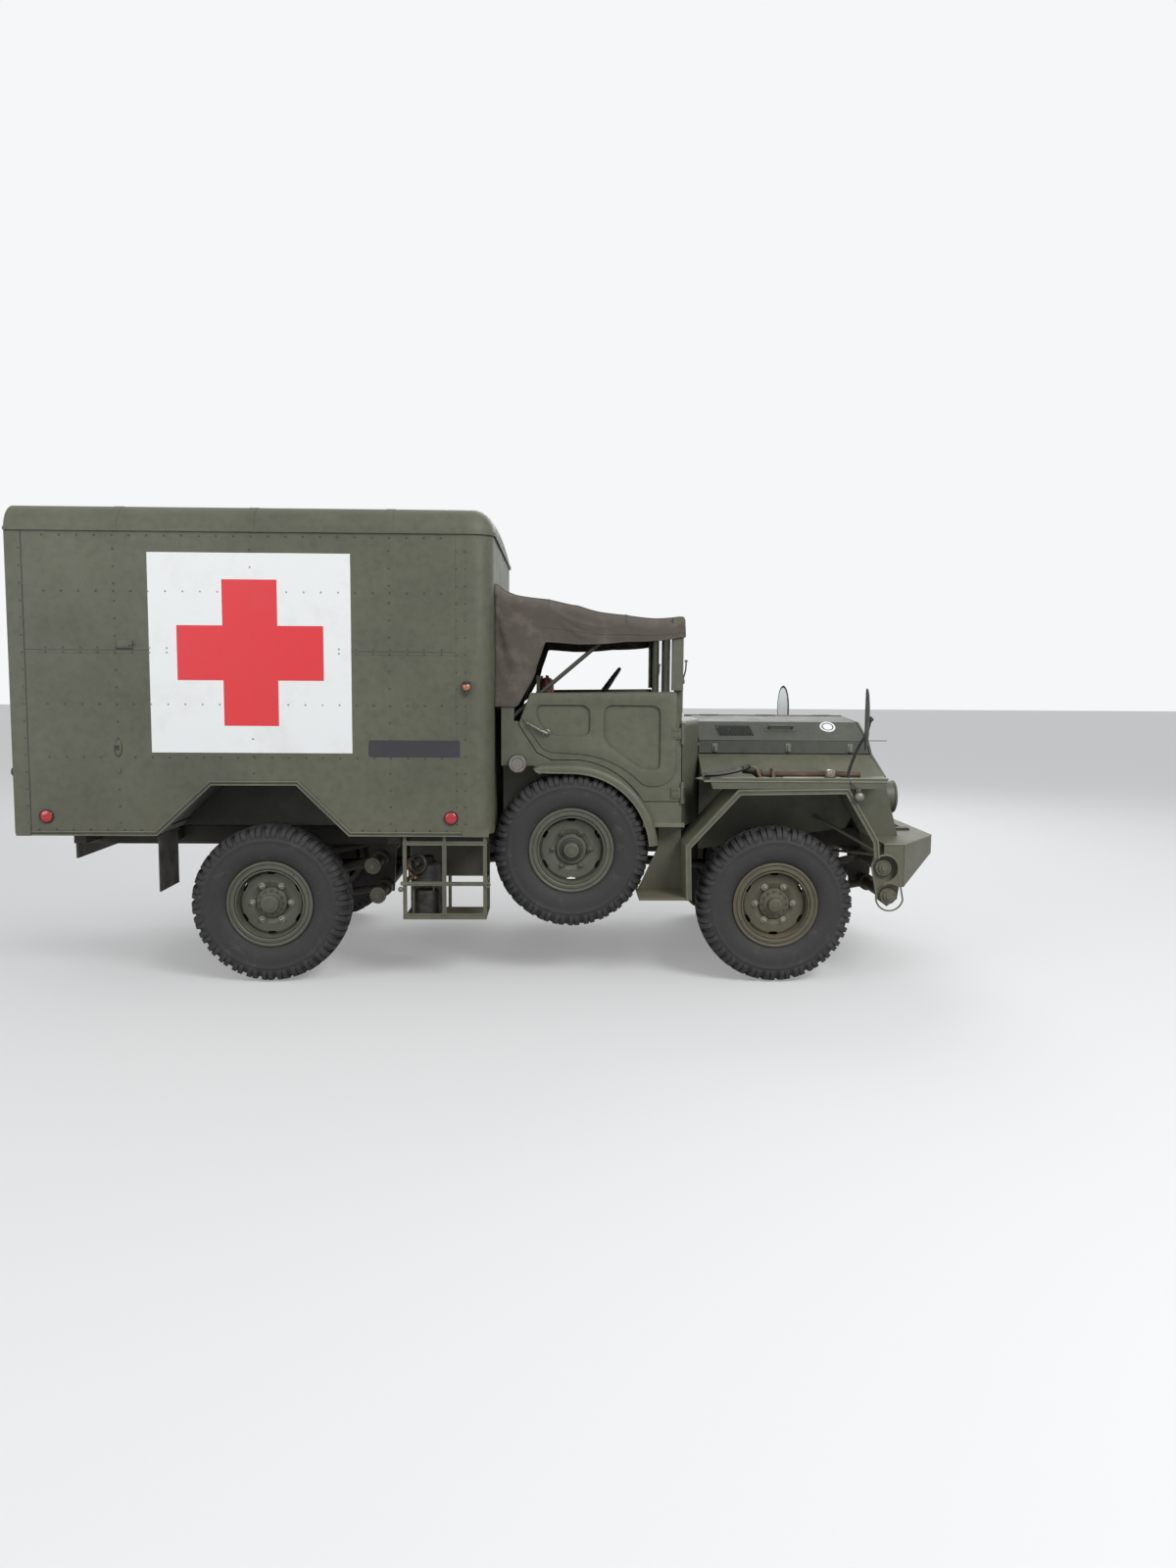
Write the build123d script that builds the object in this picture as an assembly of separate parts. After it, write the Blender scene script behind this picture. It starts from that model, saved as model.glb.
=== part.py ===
from build123d import *
import math
import os

# Military ambulance truck, one ton, 4x4. Millimetres, +X forward, +Y left, +Z up.
# Stations along X are counted from the middle of the wheelbase, and ORIGIN_SHIFT moves the
# finished pieces so that the origin lies on the ground under the middle of the whole length.

os.makedirs("parts", exist_ok=True)

# Driving sizes
WHEELBASE = 2830.0
TRACK = 1730.0
TYRE_RADIUS = 440.0
TYRE_WIDTH = 240.0
CAB_HALF = 880.0
WING_OUT = 1040.0
BOX_HALF = 1040.0
ROOF_CROWN = 2650.0
SHEET = 6.0
FIT = 0.3

# Running gear
WHEEL_Y = TRACK / 2
HUB_Z = TYRE_RADIUS
AXLE_FRONT = WHEELBASE / 2
AXLE_REAR = -WHEELBASE / 2
SPINDLE_RADIUS = 32.0
KINGPIN_Y = WHEEL_Y - 145.0
KNUCKLE_RADIUS = 36.0
YOKE_HEIGHT = 160.0
YOKE_LUG = 26.0
HUB_FACE = 40.0
HUB_BACK = -60.0

# Tyres: one flat a lug round the carcass
LUGS = 30
LUG_HEIGHT = 18.0
TREAD_HALF = 100.0
SHOULDER_RADIUS = 398.0
BELLY_RADIUS = 322.0
BEAD_LIP = 242.0

# Rims
RIM_WIDTH = 170.0
RIM_SEAT = 204.0
RIM_FLANGE = 230.0
FLANGE_SHEET = 7.0
BARREL_WALL = 8.0
DISC_FACE = 44.0
DISC_SHEET = 10.0
DISC_EDGE = 166.0
DISH_RADIUS = 118.0
HUB_RING = 75.0
CAP_RADIUS = 39.0
CAP_FACE = 100.0
NUTS = 6
NUT_CIRCLE = 108.0
NUT_RADIUS = 10.0
NUT_HEIGHT = 26.0
HAND_SLOTS = 6
SLOT_CIRCLE = 172.0
SLOT_LENGTH = 50.0
SLOT_WIDTH = 22.0

# Spare wheels, which turn freely on stub axles under the doors
SPARE_X = 265.0
SPARE_Z = 735.0
SPARE_Y = 780.0
SPARE_CARRIER = 48.0

# Chassis
RAIL_Y = 380.0
RAIL_WIDTH = 70.0
RAIL_BOTTOM = 700.0
RAIL_TOP = 810.0
RAIL_REAR = AXLE_REAR - 1275.0
RAIL_FRONT = AXLE_FRONT + 915.0
CROSS_TUBE = 40.0
CROSS_STATIONS = (RAIL_REAR + 60.0, AXLE_REAR - 60.0, -760.0, -60.0, 620.0, AXLE_FRONT + 685.0)
OUTRIGGER_Y = BOX_HALF - 350.0
OUTRIGGER_STATIONS = (-2560.0, -2090.0, -760.0, -240.0)
OUTRIGGER_HALF = 35.0
CAB_MOUNTS = (-80.0, 850.0)
REAR_PLATE = 12.0
HITCH_PIN = 20.0
HITCH_Z = 655.0
HITCH_REACH = 95.0
HITCH_HALF = 60.0

# Suspension tubes as X, Z pairs, and the arms on them
FRONT_TUBES = [(AXLE_FRONT + 602.0, 656.0), (AXLE_FRONT + 632.0, 495.0)]
REAR_TUBES = [(AXLE_REAR + 543.0, 626.0), (AXLE_REAR + 570.0, 455.0)]
TUBE_RADIUS = 34.0
TUBE_CAP = 48.0
TUBE_CAP_THICK = 12.0
ARM_Y = 510.0
ARM_RADIUS = 22.0
ARM_HALF_SPREAD = 62.0

# Engine and drive
ENGINE = ((AXLE_FRONT - 235.0, AXLE_FRONT + 445.0), (-250.0, 250.0), (620.0, 1180.0))
TRANSFER = ((40.0, 330.0), (-190.0, 190.0), (500.0, 780.0))
GEARBOX_RADIUS = 100.0
SHAFT_RADIUS = 28.0
DIFF_RADIUS = 140.0
DIFF_HALF = 130.0
DIFF_RISE = 60.0

# Bumper
BUMPER_FRONT = AXLE_FRONT + 990.0
BUMPER_CORNER = AXLE_FRONT + 710.0
BUMPER_BACK = AXLE_FRONT + 594.0
BUMPER_HALF = WING_OUT - 40.0
BUMPER_FACE_HALF = 600.0
BUMPER_TOP = 795.0
BUMPER_LOW = 686.0
BUMPER_CORNER_LOW = 553.0
BUMPER_SKIN = 8.0
CHEEK_Y = BUMPER_HALF - 60.0
FRONT_TUBE_REACH = CHEEK_Y + 28.0
REAR_TUBE_REACH = 770.0

# Bonnet and nose
BONNET_REAR = AXLE_FRONT - 390.0
BONNET_HALF = 500.0
BONNET_LOW = 1268.0
CREASE_Z = 1345.0
SHOULDER_HALF = 360.0
SHOULDER_Z = 1450.0
CROWN_Z = 1475.0
SPINE_HALF = 16.0
NOSE_TOP_X = AXLE_FRONT + 597.0
NOSE_TOP_Z = 1460.0
NOSE_FOOT_X = AXLE_FRONT + 775.0
NOSE_SHEET = 12.0
NOSE_HALF = 640.0
NOSE_SLOPE = (NOSE_FOOT_X - NOSE_TOP_X) / (NOSE_TOP_Z - BUMPER_TOP)
HINGE_STATIONS = (AXLE_FRONT - 295.0, AXLE_FRONT + 65.0, AXLE_FRONT + 425.0)
BONNET_AXIS_Z = CROWN_Z + 3.0
BONNET_KNUCKLE = 60.0
BONNET_GRIP = (AXLE_FRONT + 34.0, AXLE_FRONT + 187.0)
GRIP_Z = 1408.0
GRIP_RADIUS = 7.0
GRIP_RISE = 24.0
LOUVRES = 12
LOUVRE_START = AXLE_FRONT - 276.0
LOUVRE_PITCH = 17.5
LOUVRE_SLOT = 8.0
LOUVRE_LIP = 3.0
LOUVRE_SETBACK = 1.5
LOUVRE_RISE = 7.0
LOUVRE_LEAN = 18.0
LOUVRE_Z = (1369.0, 1427.0)

# Grille and headlamps
GRILLE_HALF = 330.0
GRILLE_LOW = 900.0
GRILLE_HIGH = 1330.0
GRILLE_SLOTS = 13
GRILLE_SLOT = 22.0
LAMP_Y = 480.0
LAMP_Z = 1010.0
LAMP_RADIUS = 95.0
LAMP_BACK = 110.0
LAMP_REACH = 32.0
LAMP_DOME = 18.0

# Wings
SHELF_Z = 1150.0
SHELF_HALF = 690.0
SHELF_LIP = 14.0
SHELF_REAR = BONNET_REAR - 64.0
SHELF_FRONT = AXLE_FRONT + 597.0
WING_SHEET = 5.0
RIM_STRIP = 26.0
APRON_Y = 560.0
STEP_Z = 481.0
STEP_REAR = AXLE_FRONT - 775.0
STEP_INNER = 760.0
STEP_THICK = 16.0
WING_INNER = 652.0
WING_ARCH = [(AXLE_FRONT + x, z) for x, z in
             ((-512.0, STEP_Z), (-519.0, 785.0), (-232.0, 1096.0), (375.0, 1106.0), (547.0, 819.0),
              (557.0, 722.0))]

# Cab
CAB_WALL = 30.0
CAB_LOW = 870.0
CAB_REAR = -130.0
CAB_FRONT = AXLE_FRONT - 530.0
FIREWALL_X = AXLE_FRONT - 395.0
COWL_TOP = 1470.0
COWL_WALL = 20.0
COWL_ROUND = 30.0
DASH_LOW = 1330.0
WELL_Y = 640.0
GUARD_RADIUS = 480.0
GUARD_OUT = CAB_HALF + 25.0
GUARD_TAIL = 214.0
FILLER = (-38.0, 1229.0)
FILLER_RADIUS = 52.0

# Cab doors: outline as X, Z places from the top rear corner forward and round
DOOR_THICK = 35.0
DOOR_GAP = 5.0
DOOR_TOP = 1633.0
DOOR_TOE = 1018.0
DOOR_FRONT = CAB_FRONT - DOOR_GAP
BELLY_REACH = 508.0
BELLY_MIDDLE = math.radians(62)
BELLY_START = (668.0, DOOR_TOE)
BELLY_END = (300.0, 1251.0)
DOOR_UPPER = [(31.0, DOOR_TOP - 11.0), (DOOR_FRONT - 36.0, DOOR_TOP), (DOOR_FRONT, 1338.0),
              (DOOR_FRONT, DOOR_TOE)]
DOOR_HEEL = [(150.0, BELLY_END[1]), (72.0, 1290.0), (-32.0, 1448.0), (-20.0, 1487.0)]
POCKET_DEPTH = 8.0
POCKET_ROUND = 26.0
POCKETS = [
    [(64.0, 1566.0), (369.0, 1566.0), (369.0, 1380.0), (140.0, 1380.0), (64.0, 1480.0)],
    [(440.0, 1566.0), (768.0, 1566.0), (768.0, 1190.0), (660.0, 1190.0), (440.0, 1352.0)],
]
LEVER = ((20.0, 1452.0), (130.0, 1395.0))
LEVER_RISE = 24.0
LEVER_RADIUS = 8.0
HINGE_RADIUS = 9.0
HINGE_LENGTH = 60.0
HINGE_EAR = 30.0
HINGE_GAP = 0.4
CAB_HINGE_X = CAB_FRONT + 1.0
CAB_HINGE_Y = CAB_HALF + 10.0
CAB_HINGE_Z = (1400.0, 1066.0)

# Seats and steering wheel
SEAT_Y = (-400.0, 400.0)
SEAT_HALF = 215.0
SEAT_REAR = 60.0
SEAT_DEPTH = 470.0
SEAT_Z = 1250.0
SEAT_FRAME = 40.0
SEAT_LEG = 30.0
SEAT_BACK = 20.0
CUSHION = 90.0
CUSHION_ROUND = 16.0
BACK_HEIGHT = 470.0
BACK_CUSHION = 70.0
WHEEL_CENTRE = (470.0, SEAT_Y[1], 1600.0)
COLUMN_FOOT = (FIREWALL_X - 10.0, SEAT_Y[1], 1208.0)
WHEEL_RADIUS = 210.0
WHEEL_GRIP = 11.0
WHEEL_BOSS = 38.0
COLUMN_RADIUS = 22.0

# Windscreen and canvas
SCREEN_BACK = CAB_FRONT - 35.0
SCREEN_RAIL = 45.0
SCREEN_HALF = CAB_HALF - DOOR_THICK - DOOR_GAP
GLASS = 6.0
CANVAS = 10.0
CANVAS_HALF = CAB_HALF + 12.0
CANVAS_FRONT_Z = 2052.0
SCREEN_TOP = CANVAS_FRONT_Z - CANVAS - 0.5
CANVAS_REAR_Z = 2222.0
CANVAS_TOP = [(-150.0, CANVAS_REAR_Z), (-47.0, 2164.0), (132.0, 2138.0), (296.0, 2123.0), (416.0, 2085.0),
              (570.0, 2056.0), (CAB_FRONT + 13.0, CANVAS_FRONT_Z)]
VALANCE_LOW = 1912.0
SKIRT_LOW = 1540.0
CANVAS_QUARTER = [(111.0, VALANCE_LOW - 7.0), (52.0, 1715.0), (-41.0, SKIRT_LOW)]
BOW_RADIUS = 12.0
BOW_FOOT = (-90.0, 1470.0)
BOW_FOOT_RADIUS = 26.0
BOW_STATIONS = (132.0, 570.0)

# Ambulance body
BOX_REAR = AXLE_REAR - 1345.0
BOX_FRONT = -168.0
BOX_LOW = 845.0
BOX_WALL = 35.0
ROOF_EDGE = ROOF_CROWN - 35.0
ROOF_RADIUS = 140.0
DRIP_Z = ROOF_EDGE - 145.0
DRIP_REACH = 12.0
DRIP_HEIGHT = 18.0
GABLE = 25.0
CORNER_RADIUS = 110.0
CANVAS_REAR = BOX_FRONT + 0.5
REAR_SEAM = BOX_REAR + 135.0
FRONT_SEAM = BOX_FRONT - 172.0
FLOOR_THICK = 40.0
TRIM = 10.0
TRIM_HEIGHT = 25.0
HOUSING_Y = 650.0
ARCH = [(AXLE_REAR + x, BOX_LOW + z) for x, z in
        ((-577.0, -13.0), (-279.0, 267.0), (179.0, 268.0), (461.0, -13.0))]
FAR = 4000.0

# Rear doors
REAR_OPENING_HALF = BOX_HALF - 55.0
REAR_OPENING_LOW = BOX_LOW + 45.0
REAR_OPENING_TOP = DRIP_Z - 40.0
REAR_FRAME_DEPTH = 90.0
REAR_DOOR_THICK = 35.0
REAR_HINGES = 4
REAR_HINGE_X = BOX_REAR - 10.0
REAR_HINGE_Y = REAR_OPENING_HALF + 12.0
REAR_HINGE_LOW = REAR_OPENING_LOW + 110.0
REAR_HINGE_PITCH = (REAR_OPENING_TOP - 150.0 - REAR_HINGE_LOW) / (REAR_HINGES - 1)
HINGE_STRAP = 90.0
WINDOW_HALF = 220.0
WINDOW_HIGH = REAR_OPENING_TOP - 250.0
WINDOW_LOW = WINDOW_HIGH - 330.0
WINDOW_ROUND = 40.0
LOCK_BAR = 20.0
LOCK_INSET = 60.0
LOCK_GUIDES = 4
LOCK_GUIDE_HALF = 15.0
HANDLE_REACH = 40.0
HANDLE_ROD = 10.0
HANDLE_Z = 1500.0
HANDLE_LENGTH = 170.0

# Side rack, its filter, and the fuel tank on the other side
RACK_X = (-662.0, -205.0)
RACK_Z = (371.0, 795.0)
RACK_Y = (BOX_HALF - 12.0, BOX_HALF - 320.0)
RACK_BAR = 18.0
RACK_MID_X = -436.0
RACK_MID_Z = 570.0
RACK_PLATE = 5.0
FILTER_RADIUS = 88.0
FILTER_HEIGHT = 300.0
FILTER_NECK = 40.0
TANK_INSET = 30.0
TANK_ROUND = 40.0
TANK_STRAP = 30.0

# Flaps, mirrors, lamps and tools
FLAP_X = AXLE_REAR - 575.0
FLAP_LOW = 521.0
FLAP_Y = (BOX_HALF - 20.0, BOX_HALF - 320.0)
MIRROR_X = AXLE_FRONT + 435.0
MIRROR_Y = WING_OUT + 110.0
MIRROR_Z = 1494.0
MIRROR_WIDE = 170.0
MIRROR_HIGH = 340.0
MIRROR_THICK = 16.0
STALK_RADIUS = 8.0
STALK_FOOT_X = AXLE_FRONT + 379.0
REFLECTORS = [(-2587.0, 940.0), (-397.0, 937.0)]
REFLECTOR_RADIUS = 36.0
TAIL_LAMP = (22.0, 1180.0)
SIDE_MARKER = (-309.0, 1654.0)
MARKER_RADIUS = 24.0
MARKER_REACH = 34.0
WING_LAMP_X = AXLE_FRONT + 285.0
WING_LAMP = (30.0, 60.0)
SHOVEL_Y = -900.0
SHOVEL_X = (1010.0, 1260.0, 1780.0)
SHOVEL_HALF = 100.0
SHOVEL_GRIP = 16.0

REAR_END = BOX_REAR - HANDLE_REACH
ORIGIN_SHIFT = -(BUMPER_FRONT + REAR_END) / 2


# Helpers
def block(x, y, z):
    """Box between a pair of limits along each axis."""
    size = Box(x[1] - x[0], y[1] - y[0], z[1] - z[0])
    return Pos((x[0] + x[1]) / 2, (y[0] + y[1]) / 2, (z[0] + z[1]) / 2) * size


def around(middle, half):
    """Pair of limits on both sides of a middle."""
    return middle - half, middle + half


def side_plate(points, y):
    """Plate whose outline lies in X and Z, between two Y limits."""
    outline = Polyline(*[(px, y[0], pz) for px, pz in points], close=True)
    return extrude(make_face(outline), amount=y[1] - y[0], dir=(0, 1, 0))


def cross_plate(points, x):
    """Plate whose outline lies in Y and Z, between two X limits."""
    outline = Polyline(*[(x[0], py, pz) for py, pz in points], close=True)
    return extrude(make_face(outline), amount=x[1] - x[0], dir=(1, 0, 0))


def plan_plate(points, z):
    """Plate whose outline lies in X and Y, between two Z limits."""
    outline = Polyline(*[(px, py, z[0]) for px, py in points], close=True)
    return extrude(make_face(outline), amount=z[1] - z[0], dir=(0, 0, 1))


def rod(start, end, radius):
    """Round bar between two points."""
    along = Vector(*end) - Vector(*start)
    plane = Plane(origin=start, z_dir=along)
    return plane * Cylinder(radius, along.length, align=(Align.CENTER, Align.CENTER, Align.MIN))


def unit(start, end):
    """Direction from one 2D point to the next."""
    length = math.dist(start, end)
    return (end[0] - start[0]) / length, (end[1] - start[1]) / length


def band(path, width):
    """Outline of a strip of one width laid on the left of an open path, with mitred corners."""
    last = len(path) - 1
    far_side = []
    for i, (a, b) in enumerate(path):
        before = unit(path[max(i - 1, 0)], path[max(i, 1)])
        after = unit(path[min(i, last - 1)], path[min(i + 1, last)])
        normal = (-before[1] - after[1], before[0] + after[0])
        reach = width / (-before[1] * normal[0] + before[0] * normal[1])
        far_side.append((a + normal[0] * reach, b + normal[1] * reach))
    return path + far_side[::-1]


def other_side(shape):
    """The same piece on the left side of the truck."""
    return mirror(shape, about=Plane.XZ)


def pair(shape):
    """A piece of the right side together with its twin on the left."""
    return shape + other_side(shape)


def fused(shapes):
    """Several overlapping shapes as one."""
    shapes = list(shapes)
    whole = shapes[0]
    for shape in shapes[1:]:
        whole += shape
    return whole


def save(name, shape):
    export_step(Pos(ORIGIN_SHIFT, 0, 0) * shape, f"parts/{name}.step")


def save_sides(name, shape):
    """Write a right-hand piece and its mirrored left-hand twin."""
    save(f"{name}_right", shape)
    save(f"{name}_left", other_side(shape))


# Wheels: shaped about the Y axis with outward as -Y, then moved to their hubs
def flat_ring(radius, out):
    """Face with one flat a lug, its flats touching a circle about the wheel axis."""
    plane = Plane(origin=(0, -out, 0), x_dir=(1, 0, 0), z_dir=(0, -1, 0))
    return plane * RegularPolygon(radius, LUGS, major_radius=False)


def lug_outline():
    """Tread outline seen along the axle: a high bar and a low gap for each lug."""
    points = []
    for i in range(LUGS):
        for share, radius in ((0.0, TYRE_RADIUS), (0.5, TYRE_RADIUS), (0.5, TYRE_RADIUS - LUG_HEIGHT),
                              (1.0, TYRE_RADIUS - LUG_HEIGHT)):
            angle = 2 * math.pi * (i + share) / LUGS
            points.append((radius * math.cos(angle), radius * math.sin(angle)))
    return points


def tyre():
    """Lugged tread with a faceted sidewall on each side, hollowed to the rim's bead seat."""
    half = TYRE_WIDTH / 2
    bead = RIM_WIDTH / 2 - FIT
    tread = side_plate(lug_outline(), (-TREAD_HALF, TREAD_HALF))
    for side in (1, -1):
        belly = flat_ring(BELLY_RADIUS, side * half)
        tread += loft([flat_ring(SHOULDER_RADIUS, side * TREAD_HALF), belly], ruled=True)
        tread -= loft([flat_ring(BEAD_LIP, side * bead), belly], ruled=True)
    bore = extrude(flat_ring(RIM_SEAT + FIT, -half), amount=TYRE_WIDTH, dir=(0, -1, 0))
    return tread - bore


def turned(profile):
    """Solid of revolution about the wheel axis from pairs of radius and distance outward."""
    outline = Polyline(*[(radius, -out, 0) for radius, out in profile], close=True)
    return revolve(make_face(outline), axis=Axis.Y)


def round_wheel(count, radius, turn=0.0):
    """Places on a circle about the wheel axis, each facing outward along its own Z."""
    return [Rot(0, 360 * i / count + turn, 0) * Pos(radius, 0, 0) * Rot(90, 0, 0) for i in range(count)]


def rim():
    """Flanged barrel on a dished disc with half-round hand slots at its edge, wheel nuts and a capped hub."""
    half = RIM_WIDTH / 2
    flange = half + FLANGE_SHEET
    barrel = RIM_SEAT - BARREL_WALL
    back = DISC_FACE - DISC_SHEET
    bore = SPINDLE_RADIUS + FIT
    dish = DISC_FACE - 14
    wheel = turned([
        (bore, HUB_BACK), (HUB_RING, HUB_BACK), (HUB_RING, 18), (DISH_RADIUS + 2, back),
        (DISC_EDGE + 4, back), (barrel, 20), (barrel, -flange), (RIM_FLANGE, -flange),
        (RIM_FLANGE, -half), (RIM_SEAT, -half),
        (RIM_SEAT, half), (RIM_FLANGE, half), (RIM_FLANGE, flange), (barrel, flange), (barrel, 28),
        (DISC_EDGE, DISC_FACE), (DISH_RADIUS, DISC_FACE), (82, dish), (62, dish), (62, 62),
        (CAP_RADIUS + 1, 66), (CAP_RADIUS - 1, CAP_FACE - 4), (0, CAP_FACE), (0, HUB_FACE), (bore, HUB_FACE),
    ])
    slot = extrude(SlotOverall(SLOT_LENGTH, SLOT_WIDTH, rotation=90), amount=half)
    nut = extrude(RegularPolygon(NUT_RADIUS, 6), amount=NUT_HEIGHT)
    slots = [place * slot for place in round_wheel(HAND_SLOTS, SLOT_CIRCLE, 30)]
    nuts = [Pos(0, -back - 1, 0) * place * nut for place in round_wheel(NUTS, NUT_CIRCLE)]
    return wheel - slots + nuts


def wheels():
    places = [("front", AXLE_FRONT, WHEEL_Y, HUB_Z), ("rear", AXLE_REAR, WHEEL_Y, HUB_Z),
              ("spare", SPARE_X, SPARE_Y, SPARE_Z)]
    for name, x, y, z in places:
        hub = Pos(x, -y, z)
        save_sides(f"tyre_{name}", hub * tyre())
        save_sides(f"rim_{name}", hub * rim())


def stub(x, y, z, start):
    """Round spindle of one wheel, from Y start outward into its hub."""
    return rod((x, -start, z), (x, -(y + HUB_FACE - FIT), z), SPINDLE_RADIUS)


def knuckle():
    """Steered piece: kingpin barrel and spindle, from the yoke's lugs to the wheel."""
    low = HUB_Z - YOKE_HEIGHT / 2 + FIT
    high = HUB_Z + YOKE_HEIGHT / 2 - FIT
    barrel = rod((AXLE_FRONT, -KINGPIN_Y, low), (AXLE_FRONT, -KINGPIN_Y, high), KNUCKLE_RADIUS)
    return barrel + stub(AXLE_FRONT, WHEEL_Y, HUB_Z, KINGPIN_Y)


# Chassis
def rail_limits(room=0.0):
    """Y limits of the right frame rail."""
    return around(-RAIL_Y, RAIL_WIDTH / 2 + room)


def chassis_frame():
    """Two box rails with cross tubes, outriggers, cab mounts and the spare wheels' stub axles."""
    frame = pair(block((RAIL_REAR, RAIL_FRONT), rail_limits(), (RAIL_BOTTOM, RAIL_TOP)))
    middle = (RAIL_BOTTOM + RAIL_TOP) / 2
    for x in CROSS_STATIONS:
        frame += rod((x, -RAIL_Y, middle), (x, RAIL_Y, middle), CROSS_TUBE)
    for x in OUTRIGGER_STATIONS:
        along = around(x, OUTRIGGER_HALF)
        arm = block(along, (-OUTRIGGER_Y, -RAIL_Y), (RAIL_TOP - 70, RAIL_TOP))
        seat = block(along, (-OUTRIGGER_Y, -RAIL_Y - 160), (RAIL_TOP, BOX_LOW))
        frame += pair(arm + seat)
    for x in CAB_MOUNTS:
        frame += pair(block(around(x, OUTRIGGER_HALF + 5), (-WELL_Y + 20, -RAIL_Y), (RAIL_TOP - 60, CAB_LOW)))
    carrier = rod((SPARE_X, -RAIL_Y, SPARE_Z), (SPARE_X, -SPARE_Y - HUB_BACK + 2, SPARE_Z), SPARE_CARRIER)
    frame += pair(carrier + stub(SPARE_X, SPARE_Y, SPARE_Z, RAIL_Y))
    plate_half = RAIL_Y + RAIL_WIDTH / 2
    plate_x = (RAIL_REAR - REAR_PLATE, RAIL_REAR)
    return frame + block(plate_x, around(0, plate_half), (RAIL_BOTTOM - 90, RAIL_TOP))


def tow_hitch():
    """Jaw on the rear cross plate, with a bored pin hole up and down through both lips."""
    back = RAIL_REAR - REAR_PLATE
    body = block((back - 20, back), around(0, 1.5 * HITCH_HALF), (HITCH_Z - 40, HITCH_Z + 90))
    along = (back - HITCH_REACH, back - 20)
    jaw = block(along, around(0, HITCH_HALF), (HITCH_Z - 40, HITCH_Z + 60))
    jaw -= block(along, around(0, HITCH_HALF), (HITCH_Z - 15, HITCH_Z + 35))
    hole_x = back - HITCH_REACH + HITCH_PIN + 16
    return body + jaw - rod((hole_x, 0, HITCH_Z - 60), (hole_x, 0, HITCH_Z + 80), HITCH_PIN)


def suspension(tubes, reach, axle, hang_x, yoke):
    """Two capped cross tubes, their hangers on the rails and the arms that carry one axle's wheels."""
    unit_solid = fused(rod((x, -reach, z), (x, reach, z), TUBE_RADIUS) for x, z in tubes)
    for x, z in tubes:
        unit_solid += pair(rod((x, -reach, z), (x, -reach + TUBE_CAP_THICK, z), TUBE_CAP))
    low = min(z for x, z in tubes) - 45
    hanger = side_plate([(hang_x[0], RAIL_BOTTOM), (hang_x[0] + 15, low), (hang_x[1] - 15, low),
                         (hang_x[1], RAIL_BOTTOM)], around(-RAIL_Y, 12))
    unit_solid += pair(hanger)
    for (x, z), rise in zip(tubes, (1, -1)):
        eye = rod((x, -ARM_Y - 28, z), (x, -ARM_Y + 28, z), TUBE_RADIUS + 14)
        arm = rod((x, -ARM_Y, z), (axle, -ARM_Y, HUB_Z + rise * ARM_HALF_SPREAD), ARM_RADIUS)
        unit_solid += pair(eye + arm)
    carrier = block(around(axle, 40), around(-ARM_Y, 26), around(HUB_Z, 90))
    if yoke:
        for rise in (1, -1):
            inner = HUB_Z + rise * YOKE_HEIGHT / 2
            z = sorted((inner, inner + rise * YOKE_LUG))
            carrier += block(around(axle, 30), (-KINGPIN_Y, -ARM_Y), z)
            carrier += rod((axle, -KINGPIN_Y, z[0]), (axle, -KINGPIN_Y, z[1]), 30)
    else:
        carrier += stub(axle, WHEEL_Y, HUB_Z, ARM_Y)
        carrier += rod((axle, -ARM_Y, HUB_Z), (axle, -WHEEL_Y - HUB_BACK + 2, HUB_Z), 60)
    return unit_solid + pair(carrier)


def power_train():
    """Engine, gearbox, transfer case and shafts, as the plain closed masses under the floor."""
    rail_face = RAIL_Y - RAIL_WIDTH / 2
    shaft_z = (TRANSFER[2][0] + RAIL_BOTTOM) / 2 + 20
    gearbox_x = (FIREWALL_X - 300, ENGINE[0][0])
    train = block(*ENGINE) + block(*TRANSFER)
    train += rod((gearbox_x[0], 0, 740), (gearbox_x[1], 0, 750), GEARBOX_RADIUS)
    train += rod((TRANSFER[0][1], 0, shaft_z), (gearbox_x[0], 0, 690), SHAFT_RADIUS)
    for x, height in (((ENGINE[0][0] + 140, ENGINE[0][0] + 220), 70), ((150, 220), 60)):
        train += block(x, around(0, rail_face), (RAIL_BOTTOM + 10, RAIL_BOTTOM + height))
    diff_z = HUB_Z + DIFF_RISE
    for axle, side in ((AXLE_FRONT, 1), (AXLE_REAR, -1)):
        train += rod((axle, -DIFF_HALF, diff_z), (axle, DIFF_HALF, diff_z), DIFF_RADIUS)
        train += rod((185 + side * 140, 60, 560), (axle - side * 100, 60, diff_z), SHAFT_RADIUS + 2)
        train += rod((axle, -ARM_Y + 26, HUB_Z), (axle, ARM_Y - 26, HUB_Z), SHAFT_RADIUS - 2)
    tube_foot = (RAIL_BOTTOM + RAIL_TOP) / 2 - CROSS_TUBE - FIT
    return train + block((AXLE_REAR - 100, AXLE_REAR - 20), around(0, 60), (diff_z + 90, tube_foot))


# Bumper
def bumper_path():
    """Plan of the bumper from the right rear end round to the left rear end."""
    right = [(BUMPER_BACK, -BUMPER_HALF), (BUMPER_CORNER, -BUMPER_HALF), (BUMPER_FRONT, -BUMPER_FACE_HALF)]
    return right + [(x, -y) for x, y in reversed(right)]


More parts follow.
